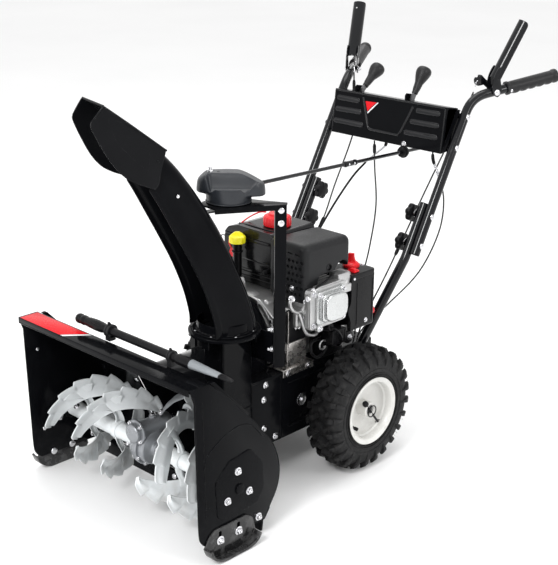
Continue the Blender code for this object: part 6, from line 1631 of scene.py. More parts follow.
def build_engine_trim():
    """Loose fittings round the engine: brackets, pipes, hose, controls under the rocker cover."""
    bright, dark, sheet, bolts = [], [], [], []
    # L-shaped stay with its bolt beside the chute
    stay = prism(round_poly([(-0.060, 0.4620), (-0.060, 0.4980), (-0.0200, 0.5090), (0.0080, 0.5075), (0.0120, 0.4990), (0.0145, 0.4660), (0.020, 0.4600)], 0.004, 4), "Y", -0.1975, -0.1935)
    bright.append(bevelled(prism(round_poly([(-0.0060, 0.4600), (-0.0040, 0.4980), (0.0000, 0.5080), (0.0095, 0.5080), (0.0145, 0.4960), (0.0170, 0.4600)], 0.003, 3), "Y", -0.1990, -0.1945), 0.0008, 2))
    dark.append(stay)
    bolts.append(hex_bolt((-0.0150, -0.1980, 0.4900), (0, -1, 0), 0.0062, 0.0055, 0.0092))
    # C-shaped breather pipe with banjo ends, then the bent dipstick-like pipe under it
    c_pts = [(0.170, -0.1930, 0.4905), (0.172, -0.1985, 0.4780), (0.172, -0.1880, 0.4600), (0.171, -0.1700, 0.4500), (0.170, -0.1530, 0.4500), (0.170, -0.1420, 0.4600), (0.170, -0.1400, 0.4680)]
    bright.append(pipe(smooth_path(c_pts, 6), 0.0046, 16))
    for p in (c_pts[0], c_pts[-1]):
        bolts.append(hex_bolt(Vector(p) + Vector((0.002, 0, 0.001)), (0.6, -0.4, 0.6), 0.0058, 0.0060, 0.0080))
    bright.append(pipe(smooth_path([(0.1700, -0.1640, 0.4460), (0.1705, -0.1580, 0.4330), (0.1710, -0.1500, 0.4120), (0.1700, -0.1400, 0.3920), (0.1700, -0.1270, 0.3790), (0.1690, -0.1020, 0.3720), (0.160, -0.080, 0.3760)], 6), 0.0042, 16))
    # spring coil and linkage rods above the rocker cover
    bright.append(pipe(helix(Vector((0.176, -0.160, 0.4460)), Vector((0.176, -0.132, 0.4470)), 0.0050, 7), 0.0010, 6))
    dark.append(pipe(smooth_path([(0.180, -0.145, 0.478), (0.186, -0.120, 0.505), (0.184, -0.085, 0.512), (0.178, -0.050, 0.520)], 5), 0.0034, 12))
    bright.append(pipe(smooth_path([(0.184, -0.150, 0.486), (0.190, -0.124, 0.502), (0.188, -0.100, 0.505)], 5), 0.0026, 10))
    bolts.append(hex_bolt((0.186, -0.1300, 0.5000), (1, -0.2, 0.3), 0.0048, 0.0050, 0.0075))
    bolts.append(hex_bolt((0.184, -0.1470, 0.4830), (1, -0.2, 0.3), 0.0048, 0.0050, 0.0075))
    # shrouded corner with its bolt over the bare sheet mount
    dark.append(bevelled(prism([(-0.168, 0.3560), (-0.168, 0.4340), (-0.1500, 0.4400), (-0.1000, 0.4200), (-0.1000, 0.3560)], "X", 0.1180, 0.1375), 0.0050, 3, 35))
    bolts.append(hex_bolt((0.1378, -0.1345, 0.3934), (1, 0, 0), 0.0058, 0.0055, 0.0090))
    sheet.append(rounded_box(0.1000, 0.1385, -0.1715, -0.1000, 0.2860, 0.3560, 0.002, 2))
    sheet.append(rounded_box(0.0900, 0.1412, -0.1880, -0.0760, 0.2856, 0.2890, 0.001, 1))
    sheet.append(rounded_box(0.1404, 0.1428, -0.1880, -0.0760, 0.2700, 0.2890, 0.0008, 1))
    sheet.append(rounded_box(0.1380, 0.1396, -0.1690, -0.1660, 0.2900, 0.4440, 0.0004, 1))
    bolts.append(hex_bolt((0.1428, -0.0960, 0.2790), (1, 0, 0), 0.0052, 0.0045, 0.0082))
    bolts.append(hex_bolt((0.1428, -0.1700, 0.2790), (1, 0, 0), 0.0052, 0.0045, 0.0082))
    # hose loop with a bright end, and the controls hanging under the rocker cover
    hose = [(0.150, -0.060, 0.345), (0.156, -0.098, 0.346), (0.160, -0.104, 0.322), (0.158, -0.082, 0.302), (0.156, -0.055, 0.304), (0.152, -0.036, 0.322), (0.140, -0.030, 0.345)]
    dark.append(pipe(smooth_path(hose, 7), 0.0040, 14))
    bright.append(pipe([(0.163, -0.0640 + 0.0120 * math.cos(math.radians(a)), 0.3320 + 0.0120 * math.sin(math.radians(a))) for a in range(40, 330, 12)], 0.0024, 10))
    dark.append(rounded_box(0.150, 0.190, -0.0560, -0.0040, 0.3320, 0.3720, 0.004, 3))
    for k in range(5):
        dark.append(rounded_box(0.1895, 0.1915, -0.0520 + 0.0100 * k, -0.0460 + 0.0100 * k, 0.3360, 0.3680, 0.0006, 1))
    bright.append(bevelled(prism([(-0.0120, 0.3760), (0.0380, 0.3640), (0.0340, 0.3560), (0.0080, 0.3480), (-0.0120, 0.3560)], "X", 0.1760, 0.1790), 0.0006, 1))
    dark.append(rod((0.150, 0.012, 0.338), (0.186, 0.012, 0.338), 0.0170, 32, ch=0.002))
    bright.append(rod((0.150, -0.012, 0.326), (0.180, -0.012, 0.326), 0.0065, 20, ch=0.001))
    dark.append(rod((0.120, -0.062, 0.372), (0.188, -0.062, 0.386), 0.0100, 28, ch=0.002))
    dark.append(pipe(smooth_path([(0.188, -0.062, 0.386), (0.199, -0.052, 0.378), (0.196, -0.030, 0.350), (0.170, -0.012, 0.318), (0.120, 0.020, 0.306)], 6), 0.0035, 12))
    dark.append(rounded_box(0.1000, 0.1500, -0.0500, 0.0300, 0.2900, 0.3450, 0.006, 3))
    bolts += [hex_bolt((0.1795, 0.0250, 0.3600), (1, 0, 0), 0.0040, 0.0036, 0.006), hex_bolt((0.1500, -0.0400, 0.3160), (1, 0, 0), 0.0046, 0.0040, 0.007), nut((0.186, 0.012, 0.338), (1, 0, 0), 0.0055, 0.0045, 0.0085)]
    emit("engine_fittings", [(join(*bright), M_CAST), (join(*dark), M_PLASTIC), (join(*sheet), M_SHEET), (join(*bolts), M_BOLT)], "chassis", (), sharp=36)


M_TANK = plastic("black_gloss_tank", (0.0055, 0.0055, 0.0062), 0.17, 0.00002, 300.0, dust=0.03, spec=0.26)

build_engine()
build_muffler()
build_tank()
build_heater()
build_switch()
build_primer()
build_recoil()
build_belt_cover()
build_engine_trim()
# =====================================================================================
# handles, knobs, control panel, levers and cables
# =====================================================================================
def grip_point(s):
    return BEND + Vector((math.sin(SPLAY), math.cos(SPLAY), math.tan(RISE))) * s


GRIP_DIR = (grip_point(1.0) - grip_point(0.0)).normalized()
SIDE_W = Vector((math.cos(SPLAY), -math.sin(SPLAY), 0.0))
PIVOT = grip_point(0.066)


def sided(parts, sign):
    return parts if sign > 0 else [(mirror_x(b), m) for b, m in parts]


def build_handles(sign):
    side = "left" if sign > 0 else "right"
    lx = FRAME_HALF + TUBE_R + 0.0006
    low = rounded([Vector((lx, 0.040, 0.178)), Vector((lx, 0.100, 0.285)), Vector((LOWER_X, handle_y(0.505), 0.505)), Vector((LOWER_X, handle_y(0.640), 0.640))], 0.10)
    tube = pipe(low, TUBE_R, 32)
    d = (low[-1] - low[-2]).normalized()
    plug = rod(low[-1] - d * 0.002, low[-1] + d * 0.0022, TUBE_R * 0.94, 28, ch=0.001)
    bolts = [hex_bolt((lx + TUBE_R - 0.0006, 0.0500, 0.1950), (1, 0, 0), 0.0066, 0.0055, 0.0100), hex_bolt((lx + TUBE_R - 0.0006, 0.0950, 0.2720), (1, 0, 0), 0.0066, 0.0055, 0.0100, 0.5)]
    emit("lower_handle_tube_" + side, sided([(tube, M_BLACK2), (plug, M_PLASTIC), (join(*bolts), M_BOLT)], sign), "chassis", "lower_handle_" + side, sharp=40)

    up = rounded([Vector((HANDLE_X, handle_y(0.520), 0.520)), BEND, grip_point(0.236)], 0.085)
    up = dense(up, 0.02)
    tube = pipe(up, TUBE_R, 32)
    d = (up[1] - up[0]).normalized()
    plug = rod(up[0] + d * 0.002, up[0] - d * 0.0022, TUBE_R * 0.94, 28, ch=0.001)
    bolts = []
    for z in (0.862, 0.785, 0.614, 0.542):
        bolts.append(dome_bolt((HANDLE_X + TUBE_R - 0.0008, handle_y(z), z), (1, 0, 0), 0.0080, 0.0044))
    bolts.append(dome_bolt(PIVOT + SIDE_W * 0.0176, SIDE_W, 0.0085, 0.0050))
    bolts.append(nut(PIVOT - SIDE_W * 0.0178, -SIDE_W, 0.0060, 0.0050, 0.0080))
    emit("upper_handle_tube_" + side, sided([(tube, M_BLACK2), (plug, M_PLASTIC), (join(*bolts), M_BOLT)], sign), "chassis", "upper_handle_" + side, sharp=40)

    # grip: round above, finger scallops below, flange at the end
    n, rings = 48, []
    under = (SIDE_W.cross(GRIP_DIR)).normalized()
    if under.z > 0:
        under = -under
    L = 0.152
    stations = [i / 76.0 * L for i in range(77)]
    bm = bmesh.new()
    for s in stations:
        base = 0.0162
        if s < 0.006:
            base = 0.0182
        elif s < 0.010:
            base = 0.0182 - 0.0020 * (s - 0.006) / 0.004
        if s > 0.136:
            base = 0.0162 + 0.0023 * min(1.0, (s - 0.136) / 0.006)
        if s > L - 0.0025:
            base -= 0.0012 * (s - L + 0.0025) / 0.0025
        lobe = 0.0
        if 0.014 < s < 0.137:
            lobe = abs(math.sin(math.pi * (s - 0.014) / 0.0246)) ** 0.75 * 0.0034 - 0.0010
        ring = []
        for k in range(n):
            a = 2 * math.pi * k / n
            w = max(0.0, math.cos(a)) ** 1.2
            rr = base + lobe * w
            rr += 0.00025 * math.cos(24 * a) * (0.012 < s < 0.134) * (1 - w)
            ring.append(bm.verts.new(grip_point(0.100) + GRIP_DIR * s + (under * math.cos(a) + SIDE_W * math.sin(a)) * rr))
        rings.append(ring)
    for a, b in zip(rings, rings[1:]):
        for k in range(n):
            bm.faces.new((a[k], a[(k + 1) % n], b[(k + 1) % n], b[k]))
    bm.faces.new(rings[0])
    bm.faces.new(rings[-1])
    recalc(bm)
    q = grip_point(0.100) + GRIP_DIR * 0.0105
    dot = dome_bolt(q + (SIDE_W * 0.82 - Vector((0, 0, 0.30))).normalized() * 0.0156, SIDE_W * 0.9 - Vector((0, 0, 0.3)), 0.0046, 0.0034)
    cap = placed(lathe([(0, 0), (0.0070, 0), (0.0070, 0.0006), (0.0050, 0.0010), (0, 0.0010)], (0, 0, 1), (0, 0, 0), 32), grip_point(0.100) + GRIP_DIR * L, GRIP_DIR)
    emit("rubber_grip_" + side, sided([(join(bm, cap), M_GRIP), (dot, M_BOLT)], sign), "chassis", "grip_" + side, sharp=44)

    # star knobs, with their stems
    for tag, z in (("upper", 0.614), ("lower", 0.542)):
        c = Vector((LOWER_X - TUBE_R - 0.0004, handle_y(z), z))
        prof = [(0, 0.0085), (0.0180, 0.0085), (0.0212, 0.0095), (0.0226, 0.0120), (0.0228, 0.0170), (0.0222, 0.0215), (0.0196, 0.0240), (0.0140, 0.0248), (0.0110, 0.0262), (0.0070, 0.0270), (0, 0.0272)]

        def star(t, i, r):
            return r * (1 + (0.21 * (abs(math.cos(3 * t + 0.3)) ** 1.4 - 0.42) if 0 < i < 8 else 0.0))

        k = lathe(prof, (-1, 0, 0), c, 96, 0.0, star)
        stem = lathe([(0, 0.0), (0.0095, 0.0), (0.0098, 0.0010), (0.0086, 0.0100), (0, 0.0102)], (-1, 0, 0), c, 32)
        washer = lathe([(0.0030, 0.0), (0.0118, 0.0), (0.0118, 0.0014), (0.0030, 0.0014)], (-1, 0, 0), c, 28)
        emit("star_handwheel_%s_%s" % (tag, side), sided([(join(k, stem), M_PLASTIC), (washer, M_BOLT)], sign), "knob_%s_%s" % (tag, side), "star_knob_%s_%s" % (tag, side), sharp=42)


def clutch_at(a, b, c, press=52.0):
    ca, sa = math.cos(math.radians(press)), math.sin(math.radians(press))
    t = SIDE_W.cross(GRIP_DIR)
    if t.z < 0:
        t = -t
    return PIVOT + GRIP_DIR * (a * ca - b * sa) + t * (a * sa + b * ca) + SIDE_W * c


def build_clutch(sign):
    """A bail: half-tube paddle, forked root and a notched ear for the cable's hook."""
    R, th, N, b0 = 0.0185, 0.0016, 20, 0.0113
    sections = []
    stations = [0.030, 0.034, 0.050, 0.080, 0.110, 0.140, 0.170, 0.184] + [0.184 + 0.012 * math.sin(math.radians(q)) for q in (20, 42, 62, 80)]
    for a in stations:
        w = 1.0
        if a > 0.184:
            w = 0.62 + 0.38 * math.sqrt(max(0.0, 1 - ((a - 0.184) / 0.0121) ** 2))
        span = math.radians(98 * w)
        if a < 0.033:
            span = math.radians(88)
        outer, inner = [], []
        for k in range(N + 1):
            ang = span * (-1 + 2 * k / N)
            outer.append(clutch_at(a, b0 + R * math.cos(ang), R * math.sin(ang)))
            inner.append(clutch_at(a, b0 + (R - th) * math.cos(ang), (R - th) * math.sin(ang)))
        sections.append(outer + inner[::-1])
    paddle = loft(sections)
    hole = rod(clutch_at(0.176, 0.010, 0.004), clutch_at(0.176, 0.040, 0.004), 0.0022, 16)
    paddle = boolean(paddle, hole)
    fork = []
    outline = smooth2([(-0.010, -0.008), (0.004, -0.0115), (0.012, -0.009), (0.030, 0.0050), (0.046, 0.0170), (0.060, 0.0205), (0.060, 0.0285), (0.034, 0.0290), (0.010, 0.0210), (-0.008, 0.0080)], 3, closed=True)
    for s in (-1, 1):
        c0, c1 = sorted((s * 0.0147, s * 0.0172))
        fork.append(loft([[clutch_at(a, b, c) for a, b in outline] for c in (c0, c1)]))
    web = loft([[clutch_at(0.034 + da, 0.0180 + db, c) for da, db in ((0, 0), (0.016, 0.0045), (0.016, 0.0068), (0, 0.0028))] for c in (-0.0150, 0.0150)])
    # ear for the cable, on the inner cheek, in the grip's own frame
    t = SIDE_W.cross(GRIP_DIR)
    if t.z < 0:
        t = -t
    ear_line = [(-0.004, 0.000), (0.008, 0.0060), (0.008, 0.0170), (-0.0100, 0.0330), (-0.0180, 0.0440), (-0.0250, 0.0490)]
    cx, cy, rr = -0.0320, 0.0360, 0.0150
    arc = []
    for q in range(50, 281, 14):
        if 104 <= q <= 122:
            arc.append((cx + (rr - 0.0045) * math.cos(math.radians(q)), cy + (rr - 0.0045) * math.sin(math.radians(q))))
        else:
            arc.append((cx + rr * math.cos(math.radians(q)), cy + rr * math.sin(math.radians(q))))
    ear = [(-0.004, 0.000), (0.008, 0.0060), (0.006, 0.0170), (-0.0120, 0.0330)] + arc + [(-0.0210, 0.0210)]
    plate = loft([[PIVOT + GRIP_DIR * a + t * b + SIDE_W * c for a, b in ear] for c in (-0.0172, -0.0150)])
    hook = pipe([PIVOT + GRIP_DIR * -0.038 + t * 0.036 - SIDE_W * 0.0135, PIVOT + GRIP_DIR * -0.038 + t * 0.036 - SIDE_W * 0.0195], 0.0016, 10)
    name = "drive_bail" if sign > 0 else "auger_bail"
    node = "drive_clutch_lever" if sign > 0 else "auger_clutch_lever"
    emit(name, sided([(join(paddle, *fork, web, plate), M_BLACK2), (hook, M_BOLT)], sign), "drive_clutch" if sign > 0 else "auger_clutch", node, bevel=0.0004, seg=2, angle=40, sharp=42)


PAN0 = Vector((0, 0.3565, 0.7665))
PAN_E = Vector((0, 0.0135, 0.1235)).normalized()
PAN_N = Vector((0, -PAN_E.z, PAN_E.y))


def on_panel(x, s, h=0.0):
    return PAN0 + Vector((x, 0, 0)) + PAN_E * s + PAN_N * h


def build_panel():
    out = [(0.3565, 0.7665), (0.3700, 0.8900), (0.4240, 0.8810), (0.3920, 0.7690)]
    inner = [(0.3592, 0.7690), (0.3724, 0.8872), (0.4700, 0.8710), (0.4700, 0.7300), (0.3552, 0.7300)]
    bm = bevelled(prism(out, "X", -0.194, 0.194), 0.0024, 3, 40)
    bm = boolean(bm, prism(inner, "X", -0.1915, 0.1915))
    bm = boolean(bm, join(*[block(x - 0.0065, x + 0.0065, 0.380, 0.418, 0.860, 0.900) for x in (-0.118, 0.059)]))
    extra = []

    def capsule(x0, x1, s0, s1, r, h, base=-0.0010):
        secs = []
        p, q = Vector((x0 + r, s0)), Vector((x1 - r, s1))
        ang = math.atan2(q.y - p.y, q.x - p.x)
        for rr, hh in ((r, base), (r * 0.97, h * 0.45), (r * 0.82, h * 0.85), (r * 0.62, h), (r * 0.45, h * 0.96), (r * 0.30, h * 0.72)):
            ring = []
            for c, a0 in ((q, -90), (p, 90)):
                for k in range(9):
                    a = ang + math.radians(a0 + 22.5 * k)
                    ring.append(on_panel(c.x + rr * math.cos(a), c.y + rr * math.sin(a), hh))
            secs.append(ring)
        return loft(secs)

    for x0, x1, s0, s1 in ((-0.184, -0.099, 0.1010, 0.1005), (-0.186, -0.089, 0.0690, 0.0705), (-0.189, -0.078, 0.0355, 0.0360), (0.096, 0.179, 0.1030, 0.1035), (0.080, 0.179, 0.0715, 0.0720), (0.064, 0.178, 0.0395, 0.0405)):
        extra.append(capsule(x0, x1, s0, s1, 0.0078, 0.0030))
    ridge = smooth_path([on_panel(x, s, -0.0004) for x, s in ((-0.0885, 0.1120), (-0.0800, 0.0860), (-0.0700, 0.0560), (-0.0630, 0.0360), (-0.0540, 0.0285), (-0.0300, 0.0280), (0.0100, 0.0275), (0.0400, 0.0275), (0.0500, 0.0340), (0.0640, 0.0620), (0.0760, 0.0880), (0.0860, 0.1120))], 5)
    extra.append(pipe(ridge, 0.0036, 14))
    extra.append(pipe([on_panel(x, 0.1205, -0.0006) for x in (-0.190, -0.06, 0.06, 0.190)], 0.0022, 10))
    extra.append(pipe([on_panel(0.1915, s, -0.0006) for s in (0.004, 0.06, 0.120)], 0.0020, 10))
    extra.append(pipe([on_panel(-0.1915, s, -0.0006) for s in (0.004, 0.06, 0.120)], 0.0020, 10))
    # folded ears that bolt to the handles, with their spacers
    ribs, extra = extra, []
    for s in (-1, 1):
        lo, hi = sorted((s * 0.1920, s * 0.2048))
        extra.append(prism([(handle_y(0.775) - 0.0125, 0.775), (handle_y(0.775) - 0.0095, 0.775), (handle_y(0.878) - 0.0095, 0.878), (handle_y(0.878) - 0.0125, 0.878)], "X", lo, hi))
        for z in (0.862, 0.785):
            y = handle_y(z)
            extra.append(rod((s * 0.1915, y, z), (s * 0.2052, y, z), 0.0072, 24, ch=0.0008))
        x0, x1 = sorted((s * 0.1940, s * 0.1915))
        extra.append(prism(round_poly([(0.366, 0.770), (0.3775, 0.884), (0.4320, 0.8760), (0.4300, 0.8500), (0.4020, 0.7720)], 0.006, 4), "X", x0, x1))
    # guide plates beside the two levers
    for x in (-0.118, 0.059):
        extra.append(prism(round_poly([(0.380, 0.8780), (0.380, 0.9000), (0.386, 0.9060), (0.412, 0.9010), (0.418, 0.8960), (0.418, 0.8740)], 0.003, 3), "X", x - 0.0122, x - 0.0095))
        for j in range(3):
            extra.append(rod((x - 0.0122, 0.389 + 0.010 * j, 0.894), (x - 0.0068, 0.389 + 0.010 * j, 0.894), 0.0022, 12))
    # bushing of the crank rod and its strap
    c1 = Vector((0.069, 0.355, 0.752))
    cd = (c1 - Vector((0.1240, -0.2655, 0.7860))).normalized()
    bush = placed(lathe([(0.0056, -0.011), (0.0125, -0.011), (0.0135, -0.0095), (0.0135, 0.0095), (0.0125, 0.011), (0.0056, 0.011)], (0, 0, 1), (0, 0, 0), 40), c1, cd)
    flange = placed(lathe([(0.0056, -0.0025), (0.0160, -0.0025), (0.0166, -0.0018), (0.0166, 0.0018), (0.0160, 0.0025), (0.0056, 0.0025)], (0, 0, 1), (0, 0, 0), 40), c1, cd)
    strap = bevelled(prism([(0.3562, c1.z + 0.0095), (0.3562, 0.7780), (0.3592, 0.7780), (0.3592, c1.z + 0.0095)], "X", c1.x - 0.0100, c1.x + 0.0100), 0.0006, 2)
    bolts = [hex_bolt(on_panel(0.069, 0.0075, 0.0), PAN_N, 0.0046, 0.0040, 0.0072)]
    red = loft([[on_panel(x, s, h) for x, s in ((-0.0800, 0.1030), (-0.0400, 0.1045), (-0.0520, 0.0940), (-0.0700, 0.0760))] for h in (0.0001, 0.0004)])
    white = loft([[on_panel(x, s, h) for x, s in ((-0.0375, 0.1045), (-0.0335, 0.1046), (-0.0680, 0.0700), (-0.0692, 0.0740), (-0.0500, 0.0930))] for h in (0.0001, 0.0004)])
    emit("control_console", [(join(bm, *extra), M_BLACK), (join(*ribs), M_BLACK2), (join(bush, flange), M_PLASTIC), (strap, M_BLACK2), (join(*bolts), M_BOLT), (red, M_REDFILM), (white, M_WHITEFILM)], "chassis", "control_panel", sharp=40)


def build_lever(x, k, body, node, name):
    base, top = Vector((x, 0.399, 0.892)), Vector((x, k[0], k[1]))
    pv = Vector((x, 0.396, 0.850))
    d = (top - base).normalized()
    side = Vector((1, 0, 0))
    nn = d.cross(side)
    stalk = loft([[p + side * sx * 0.0029 + nn * sn * w for sx, sn in ((-1, -1), (1, -1), (1, 1), (-1, 1))] for p, w in ((pv, 0.0070), (base, 0.0070), (base + d * 0.024, 0.0060))])
    prof = smooth2([(0.0078, 0.0), (0.0088, 0.0060), (0.0100, 0.0120), (0.0116, 0.0290), (0.0148, 0.0390), (0.0182, 0.0490), (0.0206, 0.0590), (0.0208, 0.0650), (0.0188, 0.0715), (0.0138, 0.0758), (0.0066, 0.0772)], 3)
    prof = [(0, 0.0)] + prof + [(0, 0.0774)]

    def lean(t, i, r):
        return r * (1.0 + 0.10 * math.cos(t) * (i / len(prof)) ** 2)

    knob = placed(lathe(prof, (0, 0, 1), (0, 0, 0), 48, 0.0, lean), base + d * 0.016, d, (1, 0, 0))
    collar = placed(lathe([(0, -0.002), (0.0082, -0.002), (0.0086, 0.0), (0.0086, 0.0035), (0.0078, 0.0045), (0, 0.0045)], (0, 0, 1), (0, 0, 0), 32), base + d * 0.016, d)
    pin = rod(pv - side * 0.0060, pv + side * 0.0060, 0.0050, 20, ch=0.0006)
    emit(name, [(join(stalk), M_DARKSTEEL), (join(knob, collar), M_GRIP), (pin, M_BOLT)], body, node, sharp=44)


def build_tool():
    y, z = -0.590, 0.461
    c = (0, y, z)
    black = [(0, -0.157), (0.0075, -0.157), (0.0108, -0.1545), (0.0122, -0.1500), (0.0122, -0.1455), (0.0108, -0.1425), (0.0098, -0.1405), (0.0100, -0.1385), (0.0118, -0.1360), (0.0122, -0.1300), (0.0118, -0.1260), (0.0106, -0.1235), (0.0108, -0.1200),
             (0.0122, -0.1050), (0.0130, -0.0880), (0.0130, -0.0750), (0.0120, -0.0600), (0.0104, -0.0535), (0.0100, -0.0500), (0.0098, 0.1950), (0.0102, 0.2000), (0.0120, 0.2030), (0.0124, 0.2080), (0.0128, 0.2400), (0.0122, 0.2460), (0, 0.2462)]
    shaft = lathe(black, (1, 0, 0), c, 40)
    flutes = []
    for k in range(10):
        a = 2 * math.pi * k / 10
        u = Vector((0, math.cos(a), math.sin(a)))
        flutes.append(pipe([Vector((x, y, z)) + u * r for x, r in ((-0.1120, 0.0113), (-0.1000, 0.0122), (-0.0820, 0.0128), (-0.0640, 0.0122))], 0.0009, 6))
    # flat tapered blade and its tip
    blade = []
    for x, wy, wz in ((0.2440, 0.0118, 0.0112), (0.2560, 0.0120, 0.0100), (0.2900, 0.0112, 0.0078), (0.3180, 0.0098, 0.0060), (0.3380, 0.0086, 0.0048)):
        blade.append([Vector((x, y + wy * math.cos(math.radians(q)) * 1.0, z + wz * math.sin(math.radians(q)))) for q in range(0, 360, 12)])
    tip = []
    for x, wy, wz in ((0.3372, 0.0092, 0.0054), (0.3440, 0.0090, 0.0054), (0.3600, 0.0070, 0.0044), (0.3705, 0.0052, 0.0034), (0.3740, 0.0036, 0.0022)):
        tip.append([Vector((x, y + wy * math.cos(math.radians(q)), z + wz * math.sin(math.radians(q)))) for q in range(0, 360, 12)])
    emit("chute_cleaning_tool", [(join(shaft, *flutes, loft(tip)), M_PLASTIC), (loft(blade), M_GREYPL)], "tool", "clean_out_tool", sharp=38)
    clips = []
    for x, w, R in ((-0.035, 0.0085, 0.0165), (0.180, 0.0065, 0.0142)):
        prof = [(0.0100, -w), (R - 0.0025, -w), (R - 0.0008, -w * 0.80), (R - 0.0008, -w * 0.25), (R - 0.0030, -w * 0.05), (R - 0.0030, w * 0.15), (R, w * 0.30), (R, w * 0.85), (R - 0.0012, w), (0.0100, w)]
        clips.append(lathe([(r, x + h) for r, h in prof], (1, 0, 0), c, 44))
        clips.append(rounded_box(x - w, x + w, y - 0.0095, y + 0.0095, 0.4378, 0.4530, 0.0020, 2))
        clips.append(bevelled(prism([(y + 0.0040, z + R - 0.002), (y - 0.0010, z + R + 0.0055), (y - 0.0050, z + R + 0.0045), (y - 0.0040, z + R - 0.002)], "X", x - w * 0.5, x + w * 0.2), 0.0006, 2))
    emit("tool_holder_clips", [(join(*clips), M_PLASTIC2)], "chassis", (), sharp=38)


FOOT = 0.2858
_t = SIDE_W.cross(GRIP_DIR)
_t = _t if _t.z > 0 else -_t
EAR = PIVOT + GRIP_DIR * -0.040 + _t * 0.0300 - SIDE_W * 0.0161
NEAR = [EAR + Vector((-0.004, -0.006, -0.024)), (0.1900, 0.4480, 0.8500), (0.1620, 0.4250, 0.7700), (0.1480, 0.3450, 0.6400), (0.1450, 0.2200, 0.4700), (0.1380, 0.1650, 0.3900), (0.1250, 0.1380, 0.3300), (0.1180, 0.1280, FOOT)]
FAR = [Vector((-EAR.x, EAR.y, EAR.z)) + Vector((0.004, -0.006, -0.024)), (-0.1900, 0.4480, 0.8500), (-0.1620, 0.4200, 0.7700), (-0.1500, 0.3250, 0.6200), (-0.1480, 0.2800, 0.5350), (-0.1400, 0.2000, 0.4300), (-0.1250, 0.1500, 0.3300), (-0.1200, 0.1400, FOOT)]
MID = [(-0.0500, 0.3760, 0.7600), (-0.0100, 0.3320, 0.7000), (0.0500, 0.2700, 0.6150), (0.0900, 0.2000, 0.5200), (0.1050, 0.1500, 0.4300), (0.1020, 0.1400, 0.3400), (0.1000, 0.1380, FOOT)]
DEFL = [(0.1500, 0.3800, 0.7750), (0.1530, 0.3800, 0.7390), (0.1600, 0.4000, 0.6920), (0.1655, 0.4215, 0.6200), (0.1650, 0.4060, 0.5300), (0.1585, 0.3330, 0.4320), (0.1500, 0.2100, 0.3660), (0.1440, 0.1400, 0.3330), (0.1360, 0.1100, 0.3050)]
CABLES = []


def build_cable(name, route, node, r=0.0022):
    pts = [Vector(p) + ORIGIN for p in smooth_path([Vector(p) for p in route], 6)]
    cu = bpy.data.curves.new(name, "CURVE")
    cu.dimensions = "3D"
    cu.bevel_depth, cu.bevel_resolution, cu.use_fill_caps = r, 3, True
    sp = cu.splines.new("POLY")
    sp.points.add(len(pts) - 1)
    for q, p in zip(sp.points, pts):
        q.co = (p.x, p.y, p.z, 1.0)
    sp.use_smooth = True
    o = bpy.data.objects.new(name, cu)
    cu.materials.append(M_CABLE)
    SCN.objects.link(o)
    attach(o, "chassis")
    if node:
        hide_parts(node)
    length = sum((b - a).length for a, b in zip(pts, pts[1:]))
    CABLES.append((name, length))
    return pts


def along(pts, f0, f1):
    """The stretch of a route between two fractions of its length."""
    cum = [0.0]
    for a, b in zip(pts, pts[1:]):
        cum.append(cum[-1] + (b - a).length)
    out = []
    for k in range(9):
        s = (f0 + (f1 - f0) * k / 8) * cum[-1]
        for i in range(len(pts) - 1):
            if cum[i] <= s <= cum[i + 1]:
                out.append(pts[i].lerp(pts[i + 1], (s - cum[i]) / (cum[i + 1] - cum[i])))
                break
    return [p - ORIGIN for p in out]


def build_cables():
    near = build_cable("drive_control_cable", NEAR, "drive_cable")
    far = build_cable("auger_control_cable", FAR, "auger_cable")
    mid = build_cable("shift_control_cable", MID, "shift_cable")
    defl = build_cable("deflector_control_cable", DEFL, None)
    dark, bright = [], []

    def sleeve(pts, f0, f1, r):
        p = along(pts, f0, f1)
        rad = [r * 0.72, r * 0.96, r, r, r, r, r, r * 0.96, r * 0.72]
        dark.append(pipe(p, r, 16, radii=rad))

    for pts in (near, far):
        sleeve(pts, 0.03, 0.09, 0.0046)
        sleeve(pts, 0.60, 0.665, 0.0052)
        p = along(pts, 0.86, 0.93)
        bright.append(pipe(p, 0.0040, 14))
        bright.append(pipe(helix(p[-1], p[-1] + (p[-1] - p[-2]).normalized() * 0.020, 0.0042, 8), 0.0009, 6))
    sleeve(mid, 0.02, 0.07, 0.0048)
    sleeve(mid, 0.90, 0.96, 0.0048)
    sleeve(defl, 0.03, 0.075, 0.0046)
    p = along(defl, 0.075, 0.150)
    bright.append(pipe(p, 0.0030, 14))
    bright.append(pipe(helix(p[0], p[-1], 0.0040, 9), 0.0009, 6))
    sleeve(defl, 0.150, 0.19, 0.0046)
    # hooks of the two bail cables
    for s in (1, -1):
        e = Vector((s * EAR.x, EAR.y, EAR.z))
        q = Vector((s * (EAR.x - 0.004), EAR.y - 0.006, EAR.z - 0.024))
        bright.append(pipe(smooth_path([e + Vector((0, 0, 0.0045)), e + Vector((0, -0.0030, 0.0010)), e.lerp(q, 0.45), q], 5), 0.0010, 8))
    # gear-shift link from the speed lever to the case of the drive
    link = smooth_path([(-0.0300, 0.4050, 0.7480), (-0.0450, 0.4040, 0.7330), (-0.0700, 0.3990, 0.7110), (-0.0900, 0.3900, 0.6900)], 4)
    bright.append(pipe(link, 0.0030, 14))
    dark.append(pipe([(-0.0240, 0.4000, 0.7710), (-0.0280, 0.4035, 0.7560), (-0.0330, 0.4050, 0.7450)], 0.0046, 14))
    dark.append(pipe(smooth_path([(-0.0900, 0.3900, 0.6900), (-0.1050, 0.3500, 0.6500), (-0.1150, 0.2800, 0.5750), (-0.1180, 0.2018, 0.4850), (-0.1180, 0.1500, 0.4000), (-0.1150, 0.1250, FOOT)], 6), 0.0030, 14))
    emit("cable_end_fittings", [(join(*dark), M_PLASTIC), (join(*bright), M_BOLT)], "chassis", (), sharp=40)


